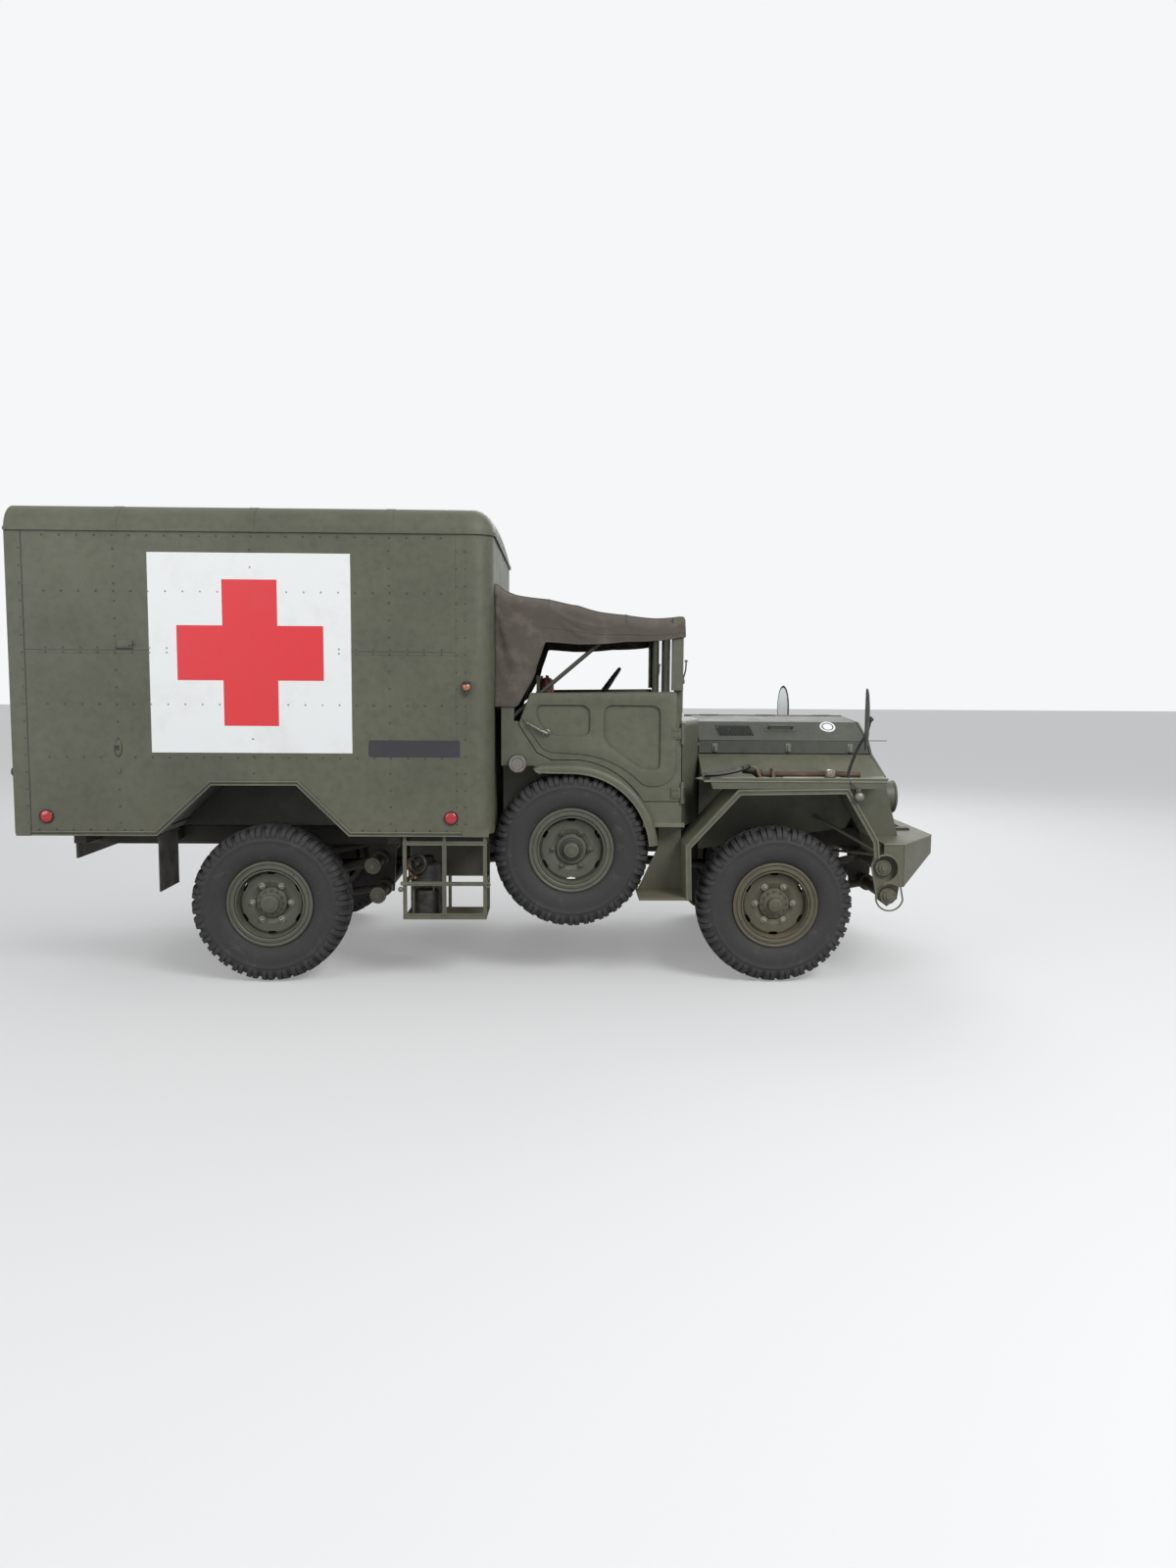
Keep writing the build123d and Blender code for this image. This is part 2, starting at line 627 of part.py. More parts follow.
def front_bumper():
    """Folded bumper with its top plate, and side cheeks bored for the suspension tubes."""
    skin = BUMPER_SKIN
    top_z = BUMPER_TOP - skin
    wall = plan_plate(band(bumper_path(), skin), (BUMPER_CORNER_LOW, BUMPER_TOP))
    low_right = [(-BUMPER_HALF - 50, BUMPER_CORNER_LOW - 20), (-BUMPER_HALF, BUMPER_CORNER_LOW),
                 (-BUMPER_FACE_HALF, BUMPER_LOW)]
    low_outline = low_right + [(-y, z) for y, z in reversed(low_right)]
    wall -= cross_plate(low_outline, (BUMPER_CORNER + 4, BUMPER_FRONT + 50))
    top = plan_plate(bumper_path(), (top_z, BUMPER_TOP))
    upper, lower = FRONT_TUBES
    leg = WING_ARCH[-1]
    front = BUMPER_CORNER - skin
    cheek_outline = [(leg[0] + 10, top_z), (front, top_z), (front, 560), (lower[0] + 58, lower[1] - 20),
                     (lower[0], lower[1] - 62), (lower[0] - 58, lower[1] - 20),
                     (upper[0] - 55, upper[1] - 15), (upper[0] - 55, leg[1] - 8), (leg[0] + 10, leg[1] - 8)]
    cheek = side_plate(cheek_outline, (-CHEEK_Y - 10, -CHEEK_Y))
    opening = fused(rod((x, -BUMPER_HALF - 5, z), (x, -CHEEK_Y - 10, z), TUBE_CAP + 26)
                    for x, z in FRONT_TUBES)
    web = block((front - skin, front), (-BUMPER_HALF + skin, -CHEEK_Y), (570, top_z))
    bumper = wall + top - pair(opening) + pair(cheek + web)
    for x, z in FRONT_TUBES:
        bumper -= rod((x, -CHEEK_Y - 30, z), (x, CHEEK_Y + 30, z), TUBE_RADIUS + FIT)
    bumper += pair(block((RAIL_FRONT, BUMPER_FRONT - skin), rail_limits(), (RAIL_BOTTOM, top_z)))
    between_rails = around(0, RAIL_Y + RAIL_WIDTH / 2)
    return bumper - block((BUMPER_BACK - 60, RAIL_FRONT), between_rails, (top_z, BUMPER_TOP))


# Bonnet and nose
def nose_x(z):
    """Station of the sloping front face at a height."""
    return NOSE_TOP_X + (NOSE_TOP_Z - z) * NOSE_SLOPE


def shoulder_y(z):
    """Half width of the bonnet's sloping shoulder at a height."""
    return BONNET_HALF - (z - CREASE_Z) * (BONNET_HALF - SHOULDER_HALF) / (SHOULDER_Z - CREASE_Z)


def louvres():
    """Leaning slots through the right shoulder, and the pressed lips that stand behind them."""
    low, high = [(-shoulder_y(z), z) for z in LOUVRE_Z]
    rows = (LOUVRE_START - 2 * LOUVRE_LEAN, LOUVRE_START + LOUVRES * LOUVRE_PITCH + 2 * LOUVRE_LEAN)
    raised = cross_plate(band([low, high], LOUVRE_RISE), rows)
    raised += cross_plate(band([low, high], -SHEET / 2), rows)
    tall = (CREASE_Z, SHOULDER_Z + 2 * LOUVRE_RISE)

    def leaning(start, width):
        return plan_plate([(start + LOUVRE_LEAN, low[0]), (start + LOUVRE_LEAN + width, low[0]),
                           (start + width, high[0]), (start, high[0])], tall)

    starts = [LOUVRE_START + i * LOUVRE_PITCH for i in range(LOUVRES)]
    slots = [leaning(x, LOUVRE_SLOT) for x in starts]
    lips = [raised & leaning(x - LOUVRE_SETBACK - LOUVRE_LIP, LOUVRE_LIP) for x in starts]
    return slots, lips


def bonnet():
    """Right half: crowned top, sloping louvred shoulder and upright side, hung on the spine's edge."""
    path = [(-BONNET_HALF, BONNET_LOW), (-BONNET_HALF, CREASE_Z), (-SHOULDER_HALF, SHOULDER_Z),
            (-SPINE_HALF - 6, CROWN_Z)]
    half = cross_plate(band(path, -SHEET), (BONNET_REAR, NOSE_FOOT_X))
    gap = NOSE_SHEET + SHEET
    top = CROWN_Z + 40
    foot = BONNET_LOW - 40
    half -= side_plate([(nose_x(top) - gap, top), (nose_x(foot) - gap, foot), (NOSE_FOOT_X + 60, foot),
                        (NOSE_FOOT_X + 60, top)], (-BONNET_HALF - 60, 0))
    slots, lips = louvres()
    half = half - slots + lips
    start, end = BONNET_GRIP
    foot_y = -shoulder_y(GRIP_Z) + 2
    bar_y = foot_y - GRIP_RISE * 0.6
    bar_z = GRIP_Z + GRIP_RISE * 0.8
    half += rod((start, bar_y, bar_z), (end, bar_y, bar_z), GRIP_RADIUS)
    for x in (start + GRIP_RADIUS, end - GRIP_RADIUS):
        half += rod((x, foot_y, GRIP_Z - 2), (x, bar_y, bar_z), GRIP_RADIUS - 1)
    for x in HINGE_STATIONS:
        along = (x, x + BONNET_KNUCKLE)
        half += rod((along[0], -SPINE_HALF, BONNET_AXIS_Z), (along[1], -SPINE_HALF, BONNET_AXIS_Z), 5)
        half += block(along, (-SPINE_HALF - 14, -SPINE_HALF), (CROWN_Z - 4, BONNET_AXIS_Z))
    return half


def spine():
    """Centre strip from cowl to nose, with the fixed halves of the bonnet's hinges."""
    front = nose_x(CROWN_Z) - NOSE_SHEET
    strip = block((FIREWALL_X - 30, front), around(0, SPINE_HALF - 6), (COWL_TOP - 6, CROWN_Z + 6))
    for x in HINGE_STATIONS:
        ends = ((x - 30, x - HINGE_GAP), (x + BONNET_KNUCKLE + HINGE_GAP, x + BONNET_KNUCKLE + 30))
        for start, end in ends:
            strip += pair(rod((start, -SPINE_HALF, BONNET_AXIS_Z), (end, -SPINE_HALF, BONNET_AXIS_Z), 5))
            strip += block((start, end), around(0, SPINE_HALF), (CROWN_Z + 2, CROWN_Z + 6))
    return strip


def nose_panel():
    """Sloping front sheet with upright slots, lamp openings and the side walls down to the bumper."""
    half_widths = [(0, CROWN_Z), (SHOULDER_HALF, SHOULDER_Z), (BONNET_HALF, CREASE_Z),
                   (BONNET_HALF, BONNET_LOW), (SHELF_HALF, SHELF_Z), (NOSE_HALF, SHELF_Z - 60),
                   (NOSE_HALF, BUMPER_TOP)]
    outline = [(-y, z) for y, z in half_widths] + [(y, z) for y, z in reversed(half_widths[1:])]
    through = (NOSE_TOP_X - 60, NOSE_FOOT_X + 20)
    top = CROWN_Z + 20
    low = BUMPER_TOP
    sheet = side_plate([(nose_x(top), top), (nose_x(low), low), (nose_x(low) - NOSE_SHEET, low),
                        (nose_x(top) - NOSE_SHEET, top)], around(0, SHELF_HALF))
    nose = cross_plate(outline, through) & sheet
    pitch = 2 * GRILLE_HALF / GRILLE_SLOTS
    for i in range(GRILLE_SLOTS):
        y = -GRILLE_HALF + (i + 0.5) * pitch
        nose -= block(through, around(y, GRILLE_SLOT / 2), (GRILLE_LOW, GRILLE_HIGH))
    nose -= pair(rod((through[0], -LAMP_Y, LAMP_Z), (through[1], -LAMP_Y, LAMP_Z), LAMP_RADIUS))
    nose -= pair(block((NOSE_TOP_X, through[1]), rail_limits(2), (BUMPER_TOP - 5, RAIL_TOP + 2)))
    wall_top = SHELF_Z - 40
    wall_rear = SHELF_FRONT - 182
    wall = side_plate([(wall_rear + 160, low), (nose_x(low) - NOSE_SHEET, low),
                       (nose_x(wall_top) - NOSE_SHEET, wall_top), (wall_rear, wall_top),
                       (wall_rear, wall_top - 30)],
                      (-NOSE_HALF, -NOSE_HALF + SHEET))
    return nose + pair(wall)


def headlamps():
    """Deep round lamps with domed fronts, set in the nose's two openings."""
    back = nose_x(LAMP_Z) - LAMP_BACK
    front = nose_x(LAMP_Z) + LAMP_REACH
    bowl = LAMP_RADIUS - FIT
    lens = LAMP_RADIUS - 12
    dome = front + LAMP_DOME
    profile = [(back, 0), (back, bowl - 50), (back + 60, bowl), (front, bowl), (front, lens),
               (front + LAMP_DOME * 0.7, lens * 0.7), (dome, lens * 0.3), (dome, 0)]
    outline = Polyline(*[(x, -LAMP_Y - radius, LAMP_Z) for x, radius in profile], close=True)
    return pair(revolve(make_face(outline), axis=Axis((0, -LAMP_Y, LAMP_Z), (1, 0, 0))))


def radiator():
    front = nose_x(GRILLE_HIGH) - 52
    return block((front - 60, front), around(0, RAIL_Y), (RAIL_TOP, GRILLE_HIGH + 10))


# Front wings
def wing():
    """Folded wing of the right side: arch strip, wheel housing, lipped shelf, flared side, apron and step."""
    solid = side_plate(band(WING_ARCH, WING_SHEET), (-WING_OUT, -WING_INNER))
    skin = (-WING_OUT, -WING_OUT + WING_SHEET)
    solid += side_plate(band(WING_ARCH, -RIM_STRIP), skin)
    nose_edge = nose_x(SHELF_Z) - NOSE_SHEET
    tread = 8
    solid += plan_plate([(SHELF_REAR, -SHELF_HALF - 190), (SHELF_REAR + 60, -WING_OUT),
                         (SHELF_FRONT, -WING_OUT),
                         (nose_edge, -SHELF_HALF), (nose_edge, -SHELF_HALF + tread),
                         (FIREWALL_X + 1, -SHELF_HALF + tread), (FIREWALL_X + 1, -SHELF_HALF - 60)],
                        (SHELF_Z - WING_SHEET, SHELF_Z))
    arch_rear, arch_front = WING_ARCH[2], WING_ARCH[3]
    solid += side_plate([(SHELF_REAR + 60, SHELF_Z + SHELF_LIP), (arch_rear[0] - 143, arch_rear[1] + 8),
                         (arch_front[0] + 190, arch_rear[1] + 12), (SHELF_FRONT, SHELF_Z + SHELF_LIP)], skin)
    flare = cross_plate(band([(-SHELF_HALF, SHELF_Z), (-BONNET_HALF, BONNET_LOW - 6)], -WING_SHEET),
                        (FIREWALL_X + 1, NOSE_FOOT_X))
    foot = SHELF_Z - 60
    flare -= side_plate([(nose_x(BONNET_LOW) - NOSE_SHEET, BONNET_LOW), (nose_x(foot) - NOSE_SHEET, foot),
                         (NOSE_FOOT_X + 60, foot), (NOSE_FOOT_X + 60, BONNET_LOW)], (-WING_OUT, 0))
    apron_front = SHELF_FRONT - 22
    apron = side_plate([(FIREWALL_X + 1, RAIL_BOTTOM), (FIREWALL_X + 1, SHELF_Z + 40),
                        (apron_front, SHELF_Z + 40),
                        (apron_front, 1000), (apron_front - 90, 830)], (-APRON_Y, -APRON_Y + WING_SHEET))
    solid += flare + apron
    leg = WING_ARCH[0][0]
    solid += block((STEP_REAR, leg), (-WING_OUT, -STEP_INNER), (STEP_Z, STEP_Z + STEP_THICK))
    inner = side_plate([(STEP_REAR, STEP_Z), (leg, STEP_Z), (leg - 6, 780), (leg - 6, CAB_LOW),
                        (leg - 138, CAB_LOW),
                        (leg - 138, 740), (leg - 185, 640), (STEP_REAR + 23, 520)],
                       (-STEP_INNER, -STEP_INNER + WING_SHEET))
    bridge = side_plate([arch_rear, arch_front, (arch_front[0], arch_front[1] + SHEET),
                         (arch_rear[0], arch_rear[1] + SHEET)], (-WING_INNER, -APRON_Y))
    return solid + inner + bridge


# Cab
def door_edges(y):
    """Door outline on the plane of one Y: straight top and front, and a belly concentric with the spare."""
    belly_middle = (SPARE_X + BELLY_REACH * math.cos(BELLY_MIDDLE),
                    SPARE_Z + BELLY_REACH * math.sin(BELLY_MIDDLE))

    def lines(places):
        return [Line((a[0], y, a[1]), (b[0], y, b[1])) for a, b in zip(places, places[1:])]

    edges = lines(DOOR_UPPER + [BELLY_START])
    edges.append(ThreePointArc(*[(p[0], y, p[1]) for p in (BELLY_START, belly_middle, BELLY_END)]))
    return edges + lines([BELLY_END] + DOOR_HEEL + [DOOR_UPPER[0]])


def door_solid(y, grow=0.0):
    face = make_face(door_edges(y[0]))
    if grow:
        face = offset(face, amount=grow, kind=Kind.INTERSECTION)
    return extrude(face, amount=y[1] - y[0], dir=(0, 1, 0))


def fixed_limits(z):
    """Height limits of the two fixed knuckles above and below a hinge's moving middle."""
    start = HINGE_LENGTH / 2 + HINGE_GAP
    end = HINGE_LENGTH / 2 + HINGE_EAR
    return (z + start, z + end), (z - end, z - start)


def upright_hinge(x, y, z, moving):
    """Knuckle of an upright hinge: the moving middle, or the fixed pair above and below it."""
    limits = [around(z, HINGE_LENGTH / 2)] if moving else fixed_limits(z)
    return fused(rod((x, y, low), (x, y, high), HINGE_RADIUS) for low, high in limits)


def cab_door():
    """Right door: one thick leaf with two pressed panels, lever handle and hinge knuckles."""
    outer = -CAB_HALF
    leaf = door_solid((outer, outer + DOOR_THICK))
    for points in POCKETS:
        pocket = side_plate(points, (outer, outer + POCKET_DEPTH))
        leaf -= fillet(pocket.edges().filter_by(Axis.Y), POCKET_ROUND)
    start, end = LEVER
    lever_y = outer - LEVER_RISE
    leaf += rod((start[0], lever_y, start[1]), (end[0], lever_y, end[1]), LEVER_RADIUS)
    pivot = (end[0] - 6, end[1] + 3)
    leaf += rod((pivot[0], outer, pivot[1]), (pivot[0], lever_y, pivot[1]), LEVER_RADIUS)
    for z in CAB_HINGE_Z:
        leaf += upright_hinge(CAB_HINGE_X, -CAB_HINGE_Y, z, True)
        leaf += block((CAB_HINGE_X - HINGE_LENGTH, CAB_HINGE_X), (-CAB_HINGE_Y, outer),
                      around(z, HINGE_LENGTH / 2))
    return leaf


def guard():
    """Mudguard sheet over the spare wheel: an arc about its axle with a straight tail to the rear."""
    y = -GUARD_OUT

    def arc(radius):
        angles = [math.radians(a) for a in (4, 48, 92)]
        return [(SPARE_X + radius * math.cos(a), y, SPARE_Z + radius * math.sin(a)) for a in angles]

    inner = arc(GUARD_RADIUS)
    outer = arc(GUARD_RADIUS + SHEET)
    tail_x = SPARE_X - GUARD_TAIL
    tail = [(tail_x, y, inner[2][2]), (tail_x, y, outer[2][2])]
    edges = [ThreePointArc(*inner), Line(inner[2], tail[0]), Line(tail[0], tail[1]), Line(tail[1], outer[2]),
             ThreePointArc(*outer), Line(outer[0], inner[0])]
    return extrude(make_face(edges), amount=GUARD_OUT - WELL_Y, dir=(0, 1, 0))


def cab_side():
    """Right cab wall round the door, with the spare's housing and guard and the filler cap."""
    deck_top = SEAT_Z - 10
    deck_low = deck_top - 24
    top = VALANCE_LOW - 352
    outline = [(CAB_REAR, deck_low), (CAB_REAR, top), (CAB_REAR + 70, top), (CAB_REAR + 70, top - 95),
               (700, 1400), (CAB_FRONT, 1100), (CAB_FRONT, CAB_LOW), (STEP_REAR + 60, CAB_LOW),
               (STEP_REAR, 1000), (48, deck_low)]
    inner_y = -CAB_HALF + CAB_WALL
    wall = side_plate(outline, (-CAB_HALF, inner_y))
    wall -= door_solid((-CAB_HALF - 1, inner_y + 1), DOOR_GAP)
    wall -= rod((SPARE_X, -CAB_HALF - 1, SPARE_Z), (SPARE_X, -WELL_Y, SPARE_Z), GUARD_RADIUS + SHEET / 2)
    well = side_plate([(CAB_REAR, CAB_LOW), (CAB_REAR, deck_top), (420, deck_top), (760, 900),
                       (760, CAB_LOW)],
                      (-WELL_Y, -WELL_Y + SHEET))
    deck = block((CAB_REAR, 60), (inner_y, -WELL_Y), (deck_low, deck_top))
    x, z = FILLER
    cap = rod((x, -CAB_HALF + 5, z), (x, -CAB_HALF - 40, z), FILLER_RADIUS)
    return wall + guard() + well + deck + cap


def cab_floor():
    """Floor, rear panel and seat frames of the cab."""
    thick = 20
    inner = WELL_Y - SHEET
    rear_y = CAB_HALF - CAB_WALL
    deck_top = SEAT_Z - 9.5
    tub = block((CAB_REAR + SHEET, CAB_FRONT), around(0, inner), (CAB_LOW, CAB_LOW + thick))
    tub += pair(block((764, CAB_FRONT), (-rear_y, -inner), (CAB_LOW, CAB_LOW + thick)))
    half_rear = [(-inner, CAB_LOW), (-inner, deck_top), (-rear_y, deck_top), (-rear_y, VALANCE_LOW - 352)]
    tub += cross_plate(half_rear + [(-y, z) for y, z in reversed(half_rear)], (CAB_REAR, CAB_REAR + SHEET))
    for y in SEAT_Y:
        width = around(y, SEAT_HALF)
        base = block((SEAT_REAR, SEAT_REAR + SEAT_DEPTH), width, (SEAT_Z - SEAT_FRAME, SEAT_Z))
        for x in (SEAT_REAR + 20, SEAT_REAR + SEAT_DEPTH - 50):
            for leg_y in (width[0] + 10, width[1] - SEAT_LEG - 10):
                base += block((x, x + SEAT_LEG), (leg_y, leg_y + SEAT_LEG),
                              (CAB_LOW + thick, SEAT_Z - SEAT_FRAME))
        tub += base + block((SEAT_REAR, SEAT_REAR + SEAT_BACK), width, (SEAT_Z, SEAT_Z + BACK_HEIGHT))
    return tub


def seat_cushions():
    """Seat and back cushion of one seat, and the same again for the other."""
    y = around(SEAT_Y[0], SEAT_HALF)
    front_of_back = SEAT_REAR + SEAT_BACK + BACK_CUSHION
    base = block((front_of_back + 5, SEAT_REAR + SEAT_DEPTH), y, (SEAT_Z + FIT, SEAT_Z + CUSHION))
    back = block((SEAT_REAR + SEAT_BACK + FIT, front_of_back), y, (SEAT_Z + 20, SEAT_Z + BACK_HEIGHT))
    return pair(fillet(base.edges(), CUSHION_ROUND) + fillet(back.edges(), CUSHION_ROUND))


def cowl_plan(inset):
    right = [(CAB_FRONT, -CAB_HALF + inset), (FIREWALL_X - inset, -BONNET_HALF + inset * 0.6)]
    return right + [(x, -y) for x, y in reversed(right)]


def cowl():
    """Scuttle between bonnet and cab, open to the cab, with the dash panel and steering column."""
    outer = plan_plate(cowl_plan(0), (CAB_LOW, COWL_TOP))
    top_edges = outer.edges().filter_by_position(Axis.Z, COWL_TOP - 1, COWL_TOP + 1)
    outer = fillet([edge for edge in top_edges if abs(edge.center().Y) > BONNET_HALF + 50], COWL_ROUND)
    shell = outer - plan_plate(cowl_plan(COWL_WALL), (CAB_LOW + 20, COWL_TOP - COWL_WALL))
    inside = around(0, CAB_HALF - CAB_WALL - 6)
    dash = block((CAB_FRONT - 60, CAB_FRONT), inside, (DASH_LOW, COWL_TOP))
    top_plate = block((SCREEN_BACK - 25, CAB_FRONT), inside, (COWL_TOP - 20, COWL_TOP))
    axis = Vector(*WHEEL_CENTRE) - Vector(*COLUMN_FOOT)
    top = Vector(*WHEEL_CENTRE) - axis.normalized() * 30
    column = rod(COLUMN_FOOT, (top.X, top.Y, top.Z), COLUMN_RADIUS)
    scuttle = shell + dash + top_plate + column + spine()
    for z in CAB_HINGE_Z:
        scuttle += pair(upright_hinge(CAB_HINGE_X, -CAB_HINGE_Y, z, False))
        for limits in fixed_limits(z):
            ear = block((CAB_HINGE_X, CAB_HINGE_X + 14), (-CAB_HINGE_Y, -CAB_HALF + 30), limits)
            scuttle += pair(ear)
    return scuttle


def steering_wheel():
    """Eight-sided rim, three spokes and boss, square to the column."""
    axis = Vector(*WHEEL_CENTRE) - Vector(*COLUMN_FOOT)
    plane = Plane(origin=WHEEL_CENTRE, z_dir=axis)
    section = Plane.XZ * Pos(WHEEL_RADIUS, 0) * RegularPolygon(WHEEL_GRIP, 8)
    wheel = revolve(section, axis=Axis.Z) + Pos(0, 0, -10) * Cylinder(WHEEL_BOSS, 39)
    for angle in (90, 210, 330):
        wheel += Rot(0, 0, angle) * Pos(WHEEL_RADIUS / 2, 0, 0) * Rot(0, 90, 0) * Cylinder(8, WHEEL_RADIUS)
    return plane * wheel


def screen_panes(x, room=0.0):
    """The two window openings or panes between a pair of stations."""
    y = (-SCREEN_HALF + SCREEN_RAIL, -SCREEN_RAIL / 2)
    return pair(block((x[0] - room, x[1] + room), y, (COWL_TOP + SCREEN_RAIL, SCREEN_TOP - SCREEN_RAIL)))


def windscreen_frame():
    """Upright two-pane frame with side pillars and the ledge that the canvas is fixed to."""
    x = (SCREEN_BACK, CAB_FRONT)
    frame = block(x, around(0, SCREEN_HALF), (COWL_TOP, SCREEN_TOP)) - screen_panes(x, 1)
    pillar_z = (DOOR_TOP + 8, SCREEN_TOP)
    pillar = block((SCREEN_BACK - 26, CAB_FRONT), (-CAB_HALF, -SCREEN_HALF), pillar_z)
    pillar += block((SCREEN_BACK - 26, SCREEN_BACK), (-SCREEN_HALF, -SCREEN_HALF + 20), pillar_z)
    return frame + pair(pillar)


def windscreen_glass():
    return screen_panes(around((SCREEN_BACK + CAB_FRONT) / 2, GLASS / 2))


def canvas_outline(drop):
    """Side outline of the canvas, its top lowered by the cloth's thickness for the inside."""
    top = [(x, z - drop) for x, z in CANVAS_TOP]
    return [(CANVAS_REAR + drop, CANVAS_REAR_Z - drop)] + top


def canvas_top():
    """Canvas over the cab: roof, hanging valances, rear quarters and the back against the body."""
    front_x, front_z = CANVAS_TOP[-1]
    skirt = [(front_x, VALANCE_LOW + 30)] + CANVAS_QUARTER + [(CANVAS_REAR, SKIRT_LOW)]
    outer = side_plate(canvas_outline(0) + skirt, around(0, CANVAS_HALF))
    inside_front = front_x - CANVAS
    inner_top = canvas_outline(CANVAS)[:-1] + [(inside_front, front_z - CANVAS)]
    below = SKIRT_LOW - 40
    inner = side_plate(inner_top + [(inside_front, below), (CANVAS_REAR + CANVAS, below)],
                       around(0, CANVAS_HALF - CANVAS))
    return outer - inner


def canvas_height(x):
    """Height of the canvas top at a station, between its outline's points."""
    for (x0, z0), (x1, z1) in zip(CANVAS_TOP, CANVAS_TOP[1:]):
        if x0 <= x <= x1:
            return z0 + (z1 - z0) * (x - x0) / (x1 - x0)
    return CANVAS_FRONT_Z


def canvas_bows():
    """Two folding hoops on one foot bracket a side, which carry the canvas."""
    y = SCREEN_HALF - BOW_RADIUS
    foot_x, foot_z = BOW_FOOT
    hoops = pair(rod((foot_x, -y + BOW_RADIUS, foot_z), (foot_x, -CAB_HALF + CAB_WALL, foot_z),
                     BOW_FOOT_RADIUS))
    for x in BOW_STATIONS:
        top = canvas_height(x) - CANVAS - BOW_RADIUS - 4
        leg = rod((foot_x, -y, foot_z), (x, -y, top), BOW_RADIUS)
        hoops += pair(leg + Pos(x, -y, top) * Sphere(BOW_RADIUS))
        hoops += rod((x, -y, top), (x, y, top), BOW_RADIUS)
    return hoops


# Ambulance body
def body_solid(inset, rear, low):
    """Body block of the outer form moved in by a wall: crowned roof, round roof edges and front corners."""
    half = BOX_HALF - inset
    radius = ROOF_RADIUS - inset
    edge = ROOF_EDGE - inset
    crown = ROOF_CROWN - inset
    diagonal = radius * math.sqrt(0.5)

    def at(y, z):
        return (rear, y, z)

    edges = [
        Line(at(-half, low), at(-half, edge - radius)),
        ThreePointArc(at(-half, edge - radius), at(-half + radius - diagonal, edge - radius + diagonal),
                      at(-half + radius, edge)),
        ThreePointArc(at(-half + radius, edge), at(0, crown), at(half - radius, edge)),
        ThreePointArc(at(half - radius, edge), at(half - radius + diagonal, edge - radius + diagonal),
                      at(half, edge - radius)),
        Line(at(half, edge - radius), at(half, low)),
        Line(at(half, low), at(-half, low)),
    ]
    front = BOX_FRONT - inset
    solid = extrude(make_face(edges), amount=front - rear, dir=(1, 0, 0))
    front_edges = solid.edges().filter_by_position(Axis.X, front - 0.5, front + 0.5)
    return fillet([e for e in front_edges if e.center().Z > low + 1], CORNER_RADIUS - inset)


def wheel_arch(y):
    """Prism through the body side below the arch line."""
    low = BOX_LOW - 40
    return side_plate([(ARCH[0][0], low)] + ARCH + [(ARCH[-1][0], low)], y)


def hinge_heights():
    return [REAR_HINGE_LOW + i * REAR_HINGE_PITCH for i in range(REAR_HINGES)]


def rear_frame(walls):
    """Frame of the rear doors cut from the body's walls, with jambs, header, sill and fixed knuckles."""
    depth = (BOX_REAR, BOX_REAR + REAR_FRAME_DEPTH)
    across = around(0, REAR_OPENING_HALF)
    rear = walls & block((-FAR, REAR_SEAM), (-FAR, FAR), (0, FAR))
    rear += pair(block(depth, (-BOX_HALF + BOX_WALL, -REAR_OPENING_HALF), (BOX_LOW, DRIP_Z)))
    rear += block(depth, across, (REAR_OPENING_TOP, DRIP_Z))
    rear += block(depth, across, (BOX_LOW, REAR_OPENING_LOW))
    for z in hinge_heights():
        knuckles = upright_hinge(REAR_HINGE_X, -REAR_HINGE_Y, z, False)
        for limits in fixed_limits(z):
            knuckles += block((REAR_HINGE_X, BOX_REAR), (-REAR_HINGE_Y - 8, -REAR_HINGE_Y), limits)
        rear += pair(knuckles)
    return rear


def body_panels():
    """Roof, front and right side of the body, and the rear frame, split where the real panels meet."""
    shell = body_solid(0, BOX_REAR, BOX_LOW) - body_solid(BOX_WALL, BOX_REAR - 10, BOX_LOW - 10)
    roof = shell & block((-FAR, FAR), (-FAR, FAR), (DRIP_Z, FAR))
    gutter = block((-FAR, FAR), (-FAR, FAR), (DRIP_Z, DRIP_Z + DRIP_HEIGHT))
    drip = body_solid(-DRIP_REACH, BOX_REAR, BOX_LOW) & gutter
    roof += drip - body_solid(0, BOX_REAR - 20, BOX_LOW)
    roof += body_solid(0, BOX_REAR, BOX_LOW) & block((-FAR, BOX_REAR + GABLE), (-FAR, FAR), (DRIP_Z, FAR))
    walls = shell & block((-FAR, FAR), (-FAR, FAR), (0, DRIP_Z))
    front = walls & block((FRONT_SEAM, FAR), (-FAR, FAR), (0, FAR))
    side = walls & block((REAR_SEAM, FRONT_SEAM), (-FAR, 0), (0, FAR))
    side -= wheel_arch((-BOX_HALF - 20, 0))
    low = BOX_LOW - 10
    trim_path = [(FRONT_SEAM, low), (ARCH[-1][0], low), ARCH[2], ARCH[1], (ARCH[0][0], low), (REAR_SEAM, low)]
    side += side_plate(band(trim_path, -TRIM_HEIGHT), (-BOX_HALF - TRIM, -BOX_HALF))
    return roof, front, side, rear_frame(walls)


def rear_window(x, y):
    """Round-cornered window or pane in the right leaf."""
    pane = block(x, around((y[0] + y[1]) / 2, WINDOW_HALF), (WINDOW_LOW, WINDOW_HIGH))
    return fillet(pane.edges().filter_by(Axis.X), WINDOW_ROUND)


def leaf_limits():
    return -REAR_OPENING_HALF + DOOR_GAP, -DOOR_GAP / 2


